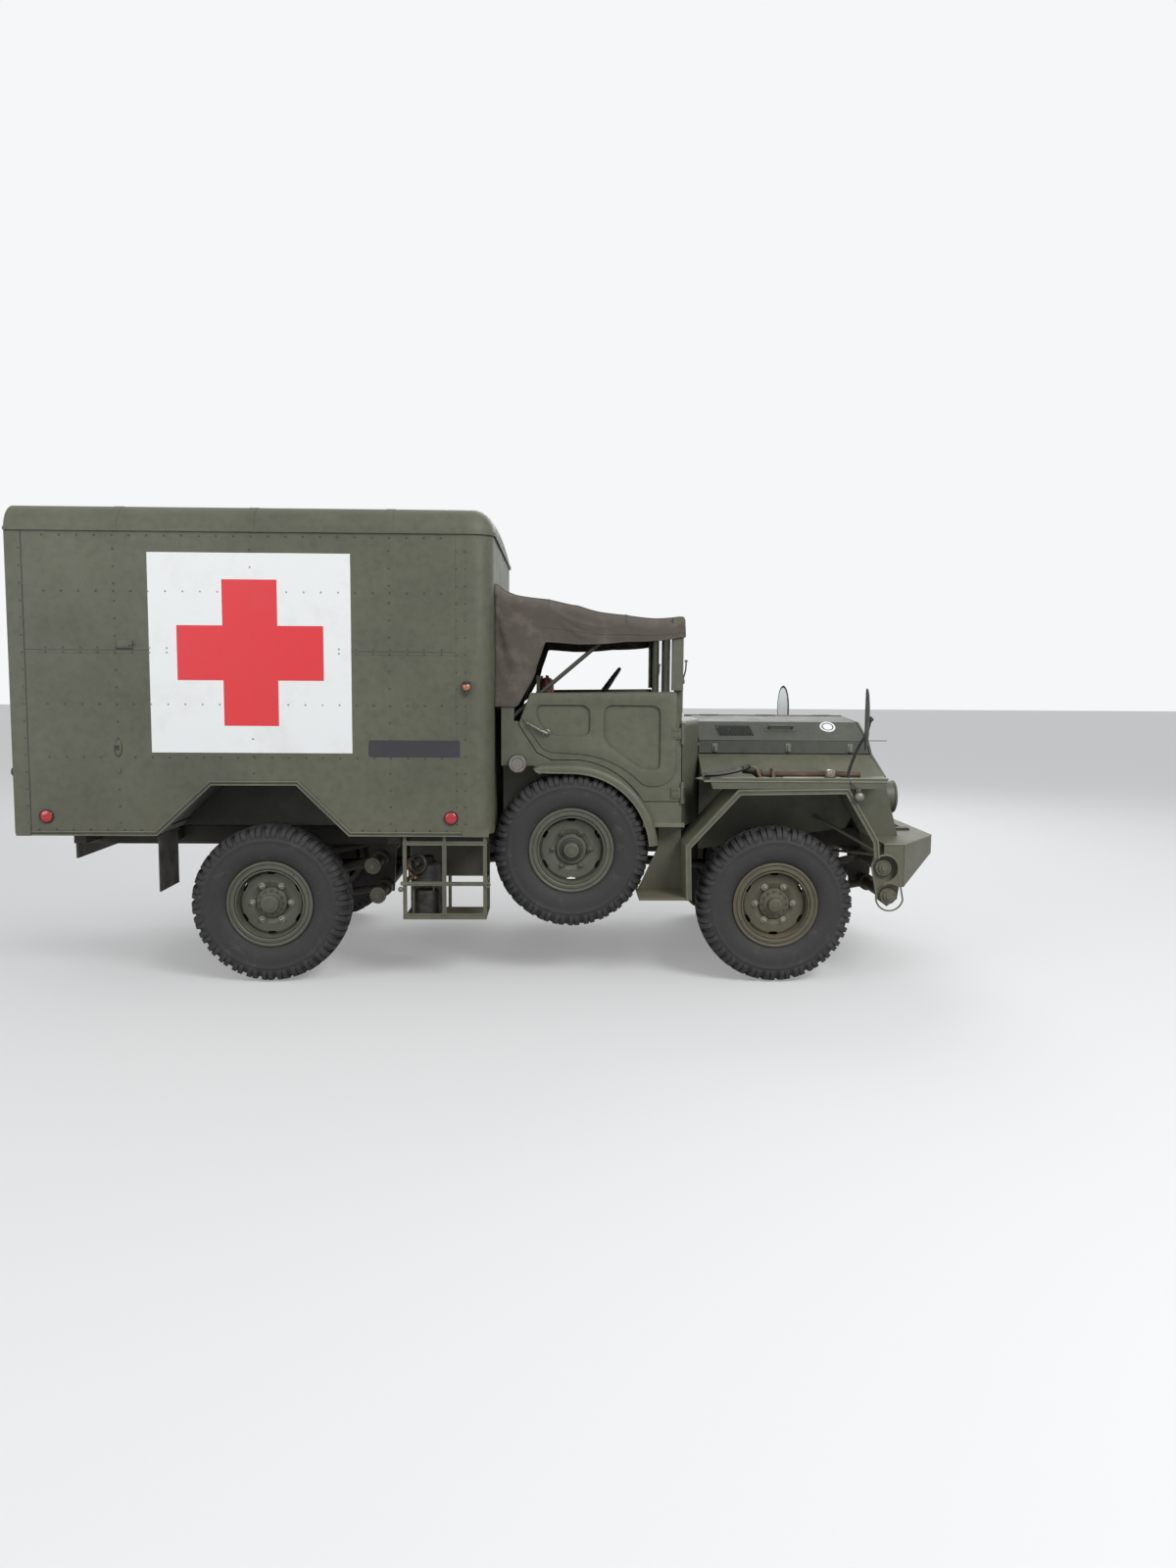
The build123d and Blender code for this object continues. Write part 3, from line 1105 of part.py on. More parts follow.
def rear_door():
    """Right rear leaf with window opening, locking bar and hinge knuckles."""
    y = leaf_limits()
    z = (REAR_OPENING_LOW + DOOR_GAP, REAR_OPENING_TOP - DOOR_GAP)
    x = (BOX_REAR, BOX_REAR + REAR_DOOR_THICK)
    leaf = block(x, y, z) - rear_window((x[0] - 1, x[1] + 1), y)
    bar_x = BOX_REAR - LOCK_BAR
    bar_y = y[1] - LOCK_INSET
    leaf += rod((bar_x, bar_y, z[0] + 10), (bar_x, bar_y, z[1] - 10), HANDLE_ROD)
    for i in range(LOCK_GUIDES):
        guide_z = z[0] + LOCK_INSET + i * (z[1] - z[0] - 2 * LOCK_INSET) / (LOCK_GUIDES - 1)
        leaf += block((bar_x, BOX_REAR), around(bar_y, LOCK_GUIDE_HALF), around(guide_z, LOCK_GUIDE_HALF))
    grip_x = REAR_END + HANDLE_ROD
    leaf += rod((grip_x, bar_y, HANDLE_Z), (grip_x, bar_y - HANDLE_LENGTH, HANDLE_Z), HANDLE_ROD)
    leaf += rod((bar_x, bar_y, HANDLE_Z), (grip_x, bar_y, HANDLE_Z), HANDLE_ROD)
    strap_end = y[0] + HINGE_STRAP
    for hinge_z in hinge_heights():
        limits = around(hinge_z, HINGE_LENGTH / 2)
        leaf += upright_hinge(REAR_HINGE_X, -REAR_HINGE_Y, hinge_z, True)
        leaf += block((REAR_HINGE_X - 3, REAR_HINGE_X + 5), (-REAR_HINGE_Y, strap_end), limits)
        leaf += block((REAR_HINGE_X, BOX_REAR), (y[0] + 4, strap_end), limits)
    return leaf


def rear_glass():
    return rear_window(around(BOX_REAR + REAR_DOOR_THICK / 2, GLASS / 2), leaf_limits())


def body_floor():
    """Floor with the two folded wheel housings."""
    x = (BOX_REAR + REAR_FRAME_DEPTH, BOX_FRONT - BOX_WALL)
    half = BOX_HALF - BOX_WALL
    floor = block(x, around(0, half), (BOX_LOW, BOX_LOW + FLOOR_THICK))
    corners = [e for e in floor.edges().filter_by(Axis.Z) if e.center().X > x[1] - 1]
    floor = fillet(corners, CORNER_RADIUS - BOX_WALL + 1)
    floor -= pair(wheel_arch((-half - 1, -HOUSING_Y)))
    path = [(ARCH[-1][0], BOX_LOW), ARCH[2], ARCH[1], (ARCH[0][0], BOX_LOW)]
    outline = band(path, -SHEET)
    fold = side_plate(outline, (-half, -HOUSING_Y))
    cheek = side_plate(outline[len(path):], (-HOUSING_Y, -HOUSING_Y + SHEET))
    return floor + pair(fold + cheek)


# Fittings
def side_rack():
    """Open carrier of angle bars under the body, with floor plate, middle rail and posts upward."""
    half = RACK_BAR / 2
    ends = (RACK_X[0] + half, RACK_X[1] - half)
    across = (-RACK_Y[0], -RACK_Y[1] + RACK_BAR)
    bars = []
    for y in RACK_Y:
        depth = (-y, -y + RACK_BAR)
        bars += [block(around(x, half), depth, (RACK_Z[0], BOX_LOW)) for x in (ends[0], RACK_MID_X, ends[1])]
        bars += [block(RACK_X, depth, around(z, half)) for z in (RACK_MID_Z, RACK_Z[1])]
    for x in ends:
        bars += [block(around(x, half), across, around(z, half)) for z in (RACK_MID_Z, RACK_Z[1])]
    bars.append(block(RACK_X, across, (RACK_Z[0], RACK_Z[0] + RACK_PLATE)))
    bars.append(block(RACK_X, (-RACK_Y[0], -RACK_Y[0] + 4), (RACK_Z[0], RACK_Z[0] + 30)))
    return fused(bars)


def canister():
    """Round filter housing that stands in the rear half of the rack."""
    x = (RACK_X[0] + RACK_MID_X) / 2
    y = -(RACK_Y[0] + RACK_Y[1]) / 2
    low = RACK_Z[0] + RACK_PLATE
    top = low + FILTER_HEIGHT
    return rod((x, y, low), (x, y, top), FILTER_RADIUS) + rod((x, y, top), (x, y, top + 30), FILTER_NECK)


def fuel_tank():
    tank = block(RACK_X, (RACK_Y[1], RACK_Y[0] - 20), (RACK_Z[0] + TANK_INSET, RACK_Z[1] - TANK_INSET))
    tank = fillet(tank.edges().filter_by(Axis.X), TANK_ROUND)
    for x in (RACK_X[0] + 3 * TANK_STRAP, RACK_X[1] - 4 * TANK_STRAP):
        tank += block((x, x + TANK_STRAP), (RACK_Y[1] + 60, RACK_Y[0] - 90), (RACK_Z[1] - 40, BOX_LOW))
    return tank


def mud_flaps():
    return pair(block((FLAP_X - 8, FLAP_X), (-FLAP_Y[0], -FLAP_Y[1]), (FLAP_LOW, BOX_LOW)))


def mirrors():
    """Upright oval mirrors on bent stalks at the front of the wing shelves."""
    plane = Plane(origin=(MIRROR_X - MIRROR_THICK / 2, -MIRROR_Y, MIRROR_Z), x_dir=(0, 1, 0), z_dir=(1, 0, 0))
    head = plane * extrude(Ellipse(MIRROR_WIDE / 2, MIRROR_HIGH / 2), amount=MIRROR_THICK)
    bend = (MIRROR_X - 15, -MIRROR_Y + 40, MIRROR_Z - 120)
    foot = (STALK_FOOT_X, -WING_OUT + 30, SHELF_Z + 4)
    stalk = rod(foot, bend, STALK_RADIUS) + rod(bend, (MIRROR_X, -MIRROR_Y, MIRROR_Z), STALK_RADIUS - 1)
    stalk += Pos(*bend) * Sphere(STALK_RADIUS + 1)
    base = block(around(STALK_FOOT_X, 20), (foot[1] - 18, foot[1] + 18), (SHELF_Z, SHELF_Z + 12))
    stalk -= block(around(STALK_FOOT_X, 100), (-WING_OUT, -WING_OUT + 80), (SHELF_Z - 20, SHELF_Z))
    return pair(head + stalk + base)


def reflectors():
    """Red discs on the body sides and round tail lamps on the rear frame."""
    lamps = [rod((x, -BOX_HALF, z), (x, -BOX_HALF - 12, z), REFLECTOR_RADIUS) for x, z in REFLECTORS]
    radius, z = TAIL_LAMP
    lamps.append(rod((BOX_REAR, -BOX_HALF + 26, z), (BOX_REAR - 12, -BOX_HALF + 26, z), radius))
    return pair(fused(lamps))


def marker_lamps():
    """Amber lamps: one high on each body front seam, one on each wing."""
    x, z = SIDE_MARKER
    lamp = rod((x, -BOX_HALF, z), (x, -BOX_HALF - MARKER_REACH, z), MARKER_RADIUS)
    radius, height = WING_LAMP
    lamp_y = -WING_OUT + 2 * radius
    return pair(lamp + rod((WING_LAMP_X, lamp_y, SHELF_Z), (WING_LAMP_X, lamp_y, SHELF_Z + height), radius))


def pioneer_tools():
    """Shovel lying on the right wing shelf, its blade to the rear."""
    y = SHOVEL_Y
    tip, neck, end = SHOVEL_X
    handle = rod((neck - 30, y, SHELF_Z + SHOVEL_GRIP + 1), (end, y, SHELF_Z + SHOVEL_GRIP + 1), SHOVEL_GRIP)
    half = [(tip + 30, SHOVEL_HALF - 5), (neck - 80, SHOVEL_HALF), (neck, SHOVEL_HALF / 4)]
    outline = [(x, y - out) for x, out in half] + [(x, y + out) for x, out in reversed(half)] + [(tip, y)]
    return handle + plan_plate(outline, (SHELF_Z + FIT, SHELF_Z + 8))


def build():
    wheels()
    save_sides("knuckle", knuckle())
    save("chassis_frame", chassis_frame())
    save("tow_hitch", tow_hitch())
    hangers = {"front": (AXLE_FRONT + 545, AXLE_FRONT + 695), "rear": (AXLE_REAR + 455, AXLE_REAR + 625)}
    save("suspension_front", suspension(FRONT_TUBES, FRONT_TUBE_REACH, AXLE_FRONT, hangers["front"], True))
    save("suspension_rear", suspension(REAR_TUBES, REAR_TUBE_REACH, AXLE_REAR, hangers["rear"], False))
    save("power_train", power_train())
    save("front_bumper", front_bumper())
    save_sides("bonnet", bonnet())
    save("nose_panel", nose_panel())
    save("headlamps", headlamps())
    save("radiator", radiator())
    save_sides("wing", wing())
    save_sides("cab_side", cab_side())
    save_sides("cab_door", cab_door())
    save("cab_floor", cab_floor())
    save("seat_cushions", seat_cushions())
    save("cowl", cowl())
    save("steering_wheel", steering_wheel())
    save("windscreen_frame", windscreen_frame())
    save("windscreen_glass", windscreen_glass())
    save("canvas_top", canvas_top())
    save("canvas_bows", canvas_bows())
    roof, front, side, rear = body_panels()
    save("body_roof", roof)
    save("body_front", front)
    save_sides("body_side", side)
    save("body_rear_frame", rear)
    save("body_floor", body_floor())
    save_sides("rear_door", rear_door())
    save_sides("rear_glass", rear_glass())
    save("side_rack", side_rack())
    save("canister", canister())
    save("fuel_tank", fuel_tank())
    save("mud_flaps", mud_flaps())
    save("mirrors", mirrors())
    save("reflectors", reflectors())
    save("marker_lamps", marker_lamps())
    save("pioneer_tools", pioneer_tools())


build()
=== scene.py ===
"""Looks of the military ambulance truck: finishes, markings, tyres, canvas, cushions, lamps and small fittings."""

import functools
import math

import bpy
import bmesh
import numpy as np
from bpy.props import FloatProperty, IntProperty, PointerProperty, StringProperty
from mathutils import Matrix, Vector


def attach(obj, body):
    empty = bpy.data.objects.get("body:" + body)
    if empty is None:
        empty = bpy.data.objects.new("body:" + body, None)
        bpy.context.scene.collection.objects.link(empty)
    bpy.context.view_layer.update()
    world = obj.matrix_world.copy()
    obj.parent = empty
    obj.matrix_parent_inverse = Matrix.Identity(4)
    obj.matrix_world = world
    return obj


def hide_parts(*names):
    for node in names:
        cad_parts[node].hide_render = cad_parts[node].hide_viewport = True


bl_info = {
    "name": "Ambulance truck looks",
    "version": (1, 0, 0),
    "blender": (4, 5, 0),
    "location": "3D View > Sidebar > Ambulance",
    "description": "Dresses the packed ambulance truck with its finishes, tyres, canvas and fittings",
    "category": "Object",
}

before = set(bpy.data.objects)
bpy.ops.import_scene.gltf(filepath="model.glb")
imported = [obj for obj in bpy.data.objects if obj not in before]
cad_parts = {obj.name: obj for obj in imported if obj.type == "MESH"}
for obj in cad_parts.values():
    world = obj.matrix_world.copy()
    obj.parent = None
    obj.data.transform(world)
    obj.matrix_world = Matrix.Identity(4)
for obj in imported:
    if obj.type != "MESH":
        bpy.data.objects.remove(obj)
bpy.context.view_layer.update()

# Stations are millimetres from the middle of the wheelbase, as on the drawing, and this is its place in the frame
MIDDLE = 197.5
SIDES = (("right", -1), ("left", 1))
BODY_HALF = 1040.0
HUBS = {"front": (1415.0, 865.0, 440.0), "rear": (-1415.0, 865.0, 440.0), "spare": (265.0, 780.0, 735.0)}
AXLES = [(end, HUBS[end][0]) for end in ("front", "rear")]
RIVET_PITCH = 92.0


def metres(points):
    """Drawing places in millimetres as an array in the frame's metres."""
    points = np.asarray(points, float).reshape(-1, 3)
    return (points + (MIDDLE, 0.0, 0.0)) / 1000.0


# Shapes: each is a pair of vertices in drawing millimetres and faces as vertex numbers
def sheet_faces(rows, columns, wrap_rows=False, wrap_columns=False):
    """Quads of a grid of rows by columns, joined end to end along an axis that wraps."""
    r = np.arange(rows if wrap_rows else rows - 1)
    c = np.arange(columns if wrap_columns else columns - 1)
    r, c = [a.ravel() for a in np.meshgrid(r, c, indexing="ij")]
    below = (r + 1) % rows
    beside = (c + 1) % columns
    return np.stack([r * columns + c, below * columns + c, below * columns + beside, r * columns + beside], 1)


def joined(shapes):
    """Several shapes as one."""
    points = []
    faces = []
    count = 0
    for vertices, polygons in shapes:
        points.append(np.asarray(vertices, float))
        faces.extend([tuple(int(i) + count for i in polygon) for polygon in polygons])
        count += len(vertices)
    return np.concatenate(points), faces


def repeated(shape, places, turns=None):
    """Copies of a shape, each turned by its 3 x 3 matrix and moved to its place."""
    vertices, faces = shape
    places = np.asarray(places, float).reshape(-1, 3)
    if turns is None:
        turns = np.broadcast_to(np.eye(3), (len(places), 3, 3))
    copies = np.einsum("nij,vj->nvi", np.asarray(turns, float), np.asarray(vertices, float)) + places[:, None, :]
    faces = [tuple(int(i) + k * len(vertices) for i in polygon) for k in range(len(places)) for polygon in faces]
    return copies.reshape(-1, 3), faces


def moved(shape, place, turn=None):
    return repeated(shape, [place], None if turn is None else [turn])


def mirrored(shape):
    """The same shape on the other side of the truck, with its faces turned back to point outwards."""
    vertices, faces = shape
    return np.asarray(vertices) * (1, -1, 1), [tuple(reversed(polygon)) for polygon in faces]


def both_sides(shape):
    return joined([shape, mirrored(shape)])


def facing(normal, upward=(0, 0, 1)):
    """Matrix that turns a shape's own Z axis to a direction and its Y axis towards upward."""
    z = np.asarray(normal, float)
    z = z / np.linalg.norm(z)
    x = np.cross(upward, z)
    if np.linalg.norm(x) < 1e-6:
        x = np.cross((0, 1, 0), z)
    x = x / np.linalg.norm(x)
    return np.stack([x, np.cross(z, x), z], 1)


def turned(profile, a):
    """Surface of revolution about Z: point (r cos a, r sin a, z) for each (r, z) of a profile and each angle a."""
    r, z = np.asarray(profile, float).T[:, :, None]
    return np.stack([r * np.cos(a), r * np.sin(a), np.broadcast_to(z, (len(profile), len(a)))], 2).reshape(-1, 3)


def lathe(profile, count, caps=True):
    """Solid of revolution about Z, closed at both ends of its profile if it has caps."""
    points = turned(profile, np.linspace(0, 2 * math.pi, count, endpoint=False))
    faces = [tuple(face) for face in sheet_faces(len(profile), count, wrap_columns=True)]
    if caps:
        faces += [tuple(range(count)), tuple(reversed(range(len(points) - count, len(points))))]
    return points, faces


# Direction that no straight tube of the truck follows
ASKEW = np.array((0.31, 0.95, 0.02))


def along(path, radius, sides=10, closed=False, caps=True):
    """Tube: at each point p of a path, p + radius (cos b u + sin b v), with u and v square to the path there."""
    path = np.asarray(path, float)
    step = np.roll(path, -1, 0) - np.roll(path, 1, 0)
    if not closed:
        step[0] = path[1] - path[0]
        step[-1] = path[-1] - path[-2]
    forward = step / np.linalg.norm(step, axis=1)[:, None]
    reference = np.array((0.0, 0.0, 1.0)) if abs(forward[:, 2]).max() < 0.9 else ASKEW
    u = np.cross(forward, reference)
    u = u / np.linalg.norm(u, axis=1)[:, None]
    v = np.cross(forward, u)
    b = np.linspace(0, 2 * math.pi, sides, endpoint=False)
    around = np.cos(b)[None, :, None] * u[:, None, :] + np.sin(b)[None, :, None] * v[:, None, :]
    radius = np.broadcast_to(np.asarray(radius, float), (len(path),))
    points = (path[:, None, :] + radius[:, None, None] * around).reshape(-1, 3)
    faces = [tuple(face) for face in sheet_faces(len(path), sides, wrap_rows=closed, wrap_columns=True)]
    if caps and not closed:
        faces.append(tuple(reversed(range(sides))))
        faces.append(tuple(range(len(points) - sides, len(points))))
    return points, faces


def smooth_path(points, per_span):
    """Catmull-Rom curve through the points: on each span, a cubic in t of four neighbouring points."""
    points = np.asarray(points, float)
    padded = np.vstack([2 * points[0] - points[1], points, 2 * points[-1] - points[-2]])
    a, b, c, d = [q[:, None, :] for q in (padded[:-3], padded[1:-2], padded[2:-1], padded[3:])]
    t = np.linspace(0, 1, per_span, endpoint=False)[None, :, None]
    curve = 0.5 * (2 * b + (c - a) * t + (2 * a - 5 * b + 4 * c - d) * t ** 2 + (3 * b - a - 3 * c + d) * t ** 3)
    return np.vstack([curve.reshape(-1, points.shape[1]), points[-1]])


def dome(radius, height, sides=8, rings=3):
    """Round head: radius cos a, height sin a, from its foot to its pole."""
    a = np.linspace(0, math.pi / 2, rings + 1)[:-1]
    points, faces = lathe(np.stack([radius * np.cos(a), height * np.sin(a)], 1), sides, caps=False)
    pole = len(points)
    points = np.vstack([points, [(0, 0, height)]])
    last = (rings - 1) * sides
    faces = [tuple(reversed(face)) for face in faces]
    faces += [(last + i, last + (i + 1) % sides, pole) for i in range(sides)]
    faces.append(tuple(reversed(range(sides))))
    return points, faces


def slab(outline, low, high, edge=0.0):
    """Plate over an outline in X and Y: sides up from low, an edge that leans in by its width, and a flat top."""
    outline = np.asarray(outline, float)
    area = np.sum(outline[:, 0] * np.roll(outline[:, 1], -1) - np.roll(outline[:, 0], -1) * outline[:, 1])
    if area < 0:
        outline = outline[::-1]
    before = outline - np.roll(outline, 1, 0)
    after = np.roll(outline, -1, 0) - outline
    normal = before / np.linalg.norm(before, axis=1)[:, None] + after / np.linalg.norm(after, axis=1)[:, None]
    normal = np.stack([-normal[:, 1], normal[:, 0]], 1)
    normal = normal / np.maximum((normal ** 2).sum(1), 0.4)[:, None] * 2
    count = len(outline)
    points = np.vstack([level(outline, low), level(outline, high - edge), level(outline + normal * edge, high)])
    faces = [tuple(reversed(face)) for face in sheet_faces(3, count, wrap_columns=True)]
    faces.append(tuple(range(2 * count, 3 * count)))
    faces.append(tuple(reversed(range(count))))
    return points, faces


def rounded(width, height, radius, steps=6):
    """Outline of a rectangle with round corners, centred on the origin, counted round from the lower left."""
    corners = [(-1, -1, math.pi), (1, -1, 1.5 * math.pi), (1, 1, 0.0), (-1, 1, 0.5 * math.pi)]
    points = []
    for sx, sy, start in corners:
        a = start + np.linspace(0, math.pi / 2, steps)
        centre = np.array((sx * (width / 2 - radius), sy * (height / 2 - radius)))
        points.append(centre + radius * np.stack([np.cos(a), np.sin(a)], 1))
    return np.vstack(points)


def circle(radius, count):
    a = np.linspace(0, 2 * math.pi, count, endpoint=False)
    return radius * np.stack([np.cos(a), np.sin(a)], 1)


def bar(x, y, z, edge=2.0):
    """Block between limits along each axis with a small bevel round its top."""
    outline = [(x[0], y[0]), (x[1], y[0]), (x[1], y[1]), (x[0], y[1])]
    return slab(outline, z[0], z[1], min(edge, (z[1] - z[0]) / 3))


def bolt(radius, height):
    """Six-sided head with a bevelled top."""
    return slab(circle(radius, 6), 0.0, height, height * 0.18)


def on_wall(shape, y, x=0.0, z=0.0):
    """A shape drawn flat, its X along the truck and its Y upward, set outward on the right side at one Y."""
    return moved(shape, (x, y, z), facing((0, -1, 0)))


def on_rear(shape, x, y, z):
    return moved(shape, (x, y, z), facing((-1, 0, 0)))


def on_front(shape, x, y, z):
    return moved(shape, (x, y, z), facing((1, 0, 0)))


def eased(points, radius, steps=6):
    """Closed outline with soft corners: each corner p becomes the parabola (1-s)^2 a + 2s(1-s) p + s^2 b between
    the points a and b that lie the radius, or 45% of the shorter side, before and after it."""
    points = np.asarray(points, float)
    before = np.roll(points, 1, 0) - points
    after = np.roll(points, -1, 0) - points
    reach_before = np.linalg.norm(before, axis=1)[:, None]
    reach_after = np.linalg.norm(after, axis=1)[:, None]
    reach = np.minimum(radius, 0.45 * np.minimum(reach_before, reach_after))
    a = (points + before / reach_before * reach)[:, None, :]
    b = (points + after / reach_after * reach)[:, None, :]
    s = np.linspace(0, 1, steps)[None, :, None]
    return ((1 - s) ** 2 * a + 2 * s * (1 - s) * points[:, None, :] + s ** 2 * b).reshape(-1, points.shape[1])


def arc(centre, radius, start, end, steps):
    """Points centre + radius (cos a, sin a) from a start to an end angle in degrees."""
    a = np.radians(np.linspace(start, end, steps))
    return np.asarray(centre, float) + radius * np.stack([np.cos(a), np.sin(a)], 1)


def parallel(points, distance):
    """Open path moved sideways by a distance to its left, with mitred corners."""
    points = np.asarray(points, float)
    step = np.diff(points, axis=0)
    step = step / np.linalg.norm(step, axis=1)[:, None]
    normal = np.stack([-step[:, 1], step[:, 0]], 1)
    before = np.vstack([normal[:1], normal])
    after = np.vstack([normal, normal[-1:]])
    total = before + after
    return points + total * distance / (1 + (before * after).sum(1))[:, None]


def pressed(outline, holes, thick, edge):
    """Sheet over an outline with holes in it: a flat curve is filled, thickened about its own plane and rounded
    along every edge, then made a mesh whose doubles are merged."""
    curve = bpy.data.curves.new("pressing", "CURVE")
    curve.dimensions = "2D"
    curve.fill_mode = "BOTH"
    curve.extrude = thick / 2 - edge
    curve.bevel_depth = edge
    curve.bevel_resolution = 2
    curve.offset = -edge
    for points in [outline] + list(holes):
        spline = curve.splines.new("POLY")
        spline.points.add(len(points) - 1)
        flat = np.column_stack([points, np.zeros(len(points)), np.ones(len(points))])
        spline.points.foreach_set("co", flat.ravel())
        spline.use_cyclic_u = True
    holder = bpy.data.objects.new("pressing", curve)
    mesh = bpy.data.meshes.new_from_object(holder)
    cleaned(mesh, 0.01)
    vertices = np.array([vertex.co[:] for vertex in mesh.vertices])
    faces = [tuple(polygon.vertices) for polygon in mesh.polygons]
    bpy.data.objects.remove(holder)
    bpy.data.meshes.remove(mesh)
    bpy.data.curves.remove(curve)
    return vertices, faces


def swept(path, section, across):
    """Section of pairs (a, b) carried along a path: path point + a (direction across) + b (the path's own normal),
    where across is one direction square to the path and the normal is their cross product."""
    path = np.asarray(path, float)
    step = np.gradient(path, axis=0)
    forward = step / np.linalg.norm(step, axis=1)[:, None]
    across = np.asarray(across, float)
    normal = np.cross(forward, across)
    section = np.asarray(section, float)
    points = path[:, None, :] + section[None, :, :1] * across + section[None, :, 1:] * normal[:, None, :]
    count = len(section)
    faces = [tuple(face) for face in sheet_faces(len(path), count, wrap_columns=True)]
    faces.append(tuple(reversed(range(count))))
    faces.append(tuple(range((len(path) - 1) * count, len(path) * count)))
    return points.reshape(-1, 3), faces


def disc(radius, thick, edge=1.0, count=40):
    return slab(circle(radius, count), 0.0, thick, edge)


def bezel(radius, width, height, count=40):
    """Round rim about a lens, half round across."""
    return ring([(radius, 0), (radius + width, 0), (radius + width, height * 0.6), (radius + width / 2, height),
                 (radius, height * 0.7)], count)


def in_plane(path, y):
    """X and Z pairs as places at one Y."""
    x, z = np.transpose(path)
    return np.column_stack([x, np.full(len(x), y), z])


def at_station(x, outline):
    """Y and Z pairs as places at one X."""
    return np.column_stack([np.full(len(outline), x), outline])


def level(points, z):
    """X and Y pairs as places at one height."""
    return np.column_stack([points, np.full(len(points), z)])


# Objects
def cleaned(mesh, distance):
    """Merges a mesh's doubles and turns its faces outwards."""
    work = bmesh.new()
    work.from_mesh(mesh)
    bmesh.ops.remove_doubles(work, verts=work.verts, dist=distance)
    bmesh.ops.recalc_face_normals(work, faces=work.faces)
    work.to_mesh(mesh)
    work.free()


def piece(name, shape, finish, body, slot, replaces=None, uv=None, sharp=35.0, closed=True):
    """Mesh object from a shape in drawing millimetres, riding on a body of the frame. It can stand for one of the
    frame's own nodes, and smooths over edges flatter than the sharp angle."""
    vertices, faces = shape
    mesh = bpy.data.meshes.new(name)
    mesh.from_pydata([tuple(v) for v in metres(vertices)], [], [tuple(int(i) for i in face) for face in faces])
    mesh.validate()
    if closed and uv is None:
        cleaned(mesh, 2e-5)
    if uv is not None:
        layer = mesh.uv_layers.new(name="surface")
        corner = np.empty(len(mesh.loops), dtype=np.int32)
        mesh.loops.foreach_get("vertex_index", corner)
        layer.data.foreach_set("uv", np.asarray(uv, np.float32)[corner].ravel())
    mesh.shade_smooth()
    mesh.set_sharp_from_angle(angle=math.radians(sharp))
    mesh.update()
    obj = bpy.data.objects.new(name, mesh)
    bpy.context.scene.collection.objects.link(obj)
    mesh.materials.append(bpy.data.materials[finish])
    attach(obj, body)
    if replaces:
        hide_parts(replaces)
    return obj


def sided(name, shapes, finish, body, slot):
    """The same piece on both sides, each riding on its own side's body and named for its side."""
    right = joined(shapes)
    for side, _ in SIDES:
        piece(f"{name}_{side}", right if side == "right" else mirrored(right), finish, f"{body}_{side}", slot)


def fixed(name, shapes, finish, slot, **options):
    """A piece that stays with the chassis, from a list of shapes."""
    return piece(name, joined(shapes), finish, "chassis", slot, **options)


def paired(name, shapes, finish, slot, **options):
    """A piece that stays with the chassis and has its list of shapes on both sides of the truck."""
    return fixed(name, [both_sides(joined(shapes))], finish, slot, **options)


# Finish and slot of the most common pieces
OLIVE = ("army olive", "olive_paint")
# Lighter olive on beads and rolled edges: painted highlight
HIGHLIGHT_EDGE = ("bright olive edge", "olive_paint")
UNDERBODY = ("underbody paint", "under_paint")
RUBBER = ("black rubber", "rubber")

# Finishes
BLEND = {"data_type": "RGBA"}
TINT = {"data_type": "RGBA", "blend_type": "MULTIPLY"}


def linear(text, share=1.0):
    """Hex sRGB colour as linear red, green, blue and alpha, with the three lowered or raised by a share."""
    channels = [int(text.lstrip("#")[i:i + 2], 16) / 255 for i in (0, 2, 4)]
    channels = [c / 12.92 if c <= 0.04045 else ((c + 0.055) / 1.055) ** 2.4 for c in channels]
    return tuple(min(1.0, c * share) for c in channels) + (1.0,)


def grey(value):
    return (value, value, value, 1.0)


def add_node(tree, kind, output=0, settings=None, stops=(), **inputs):
    """Adds one node with its settings, a ramp's stops, and its inputs set to values or joined to other nodes'
    outputs, and returns one of its outputs. An input is named with _ for a space, or by its place, as in i0. A map
    range reads from i1 to i2 and gives i3 to i4, and a mix is of colours i6 and i7 by the share i0."""
    made = tree.nodes.new("ShaderNode" + kind)
    for name, value in (settings or {}).items():
        setattr(made, name, value)
    for position, _ in stops[2:]:
        made.color_ramp.elements.new(0.5)
    for number, (position, colour) in enumerate(stops):
        made.color_ramp.elements[number].position = position
        made.color_ramp.elements[number].color = colour
    for name, value in inputs.items():
        socket = made.inputs[int(name[1:]) if name[1:].isdigit() else name.replace("_", " ")]
        if isinstance(value, bpy.types.NodeSocket):
            tree.links.new(value, socket)
        else:
            socket.default_value = value
    return made.outputs[output] if made.outputs else None


def new_finish(name):
    """Empty material, as the function that adds nodes to it."""
    material = bpy.data.materials.new(name)
    material.use_nodes = True
    material.node_tree.nodes.clear()
    return functools.partial(add_node, material.node_tree)


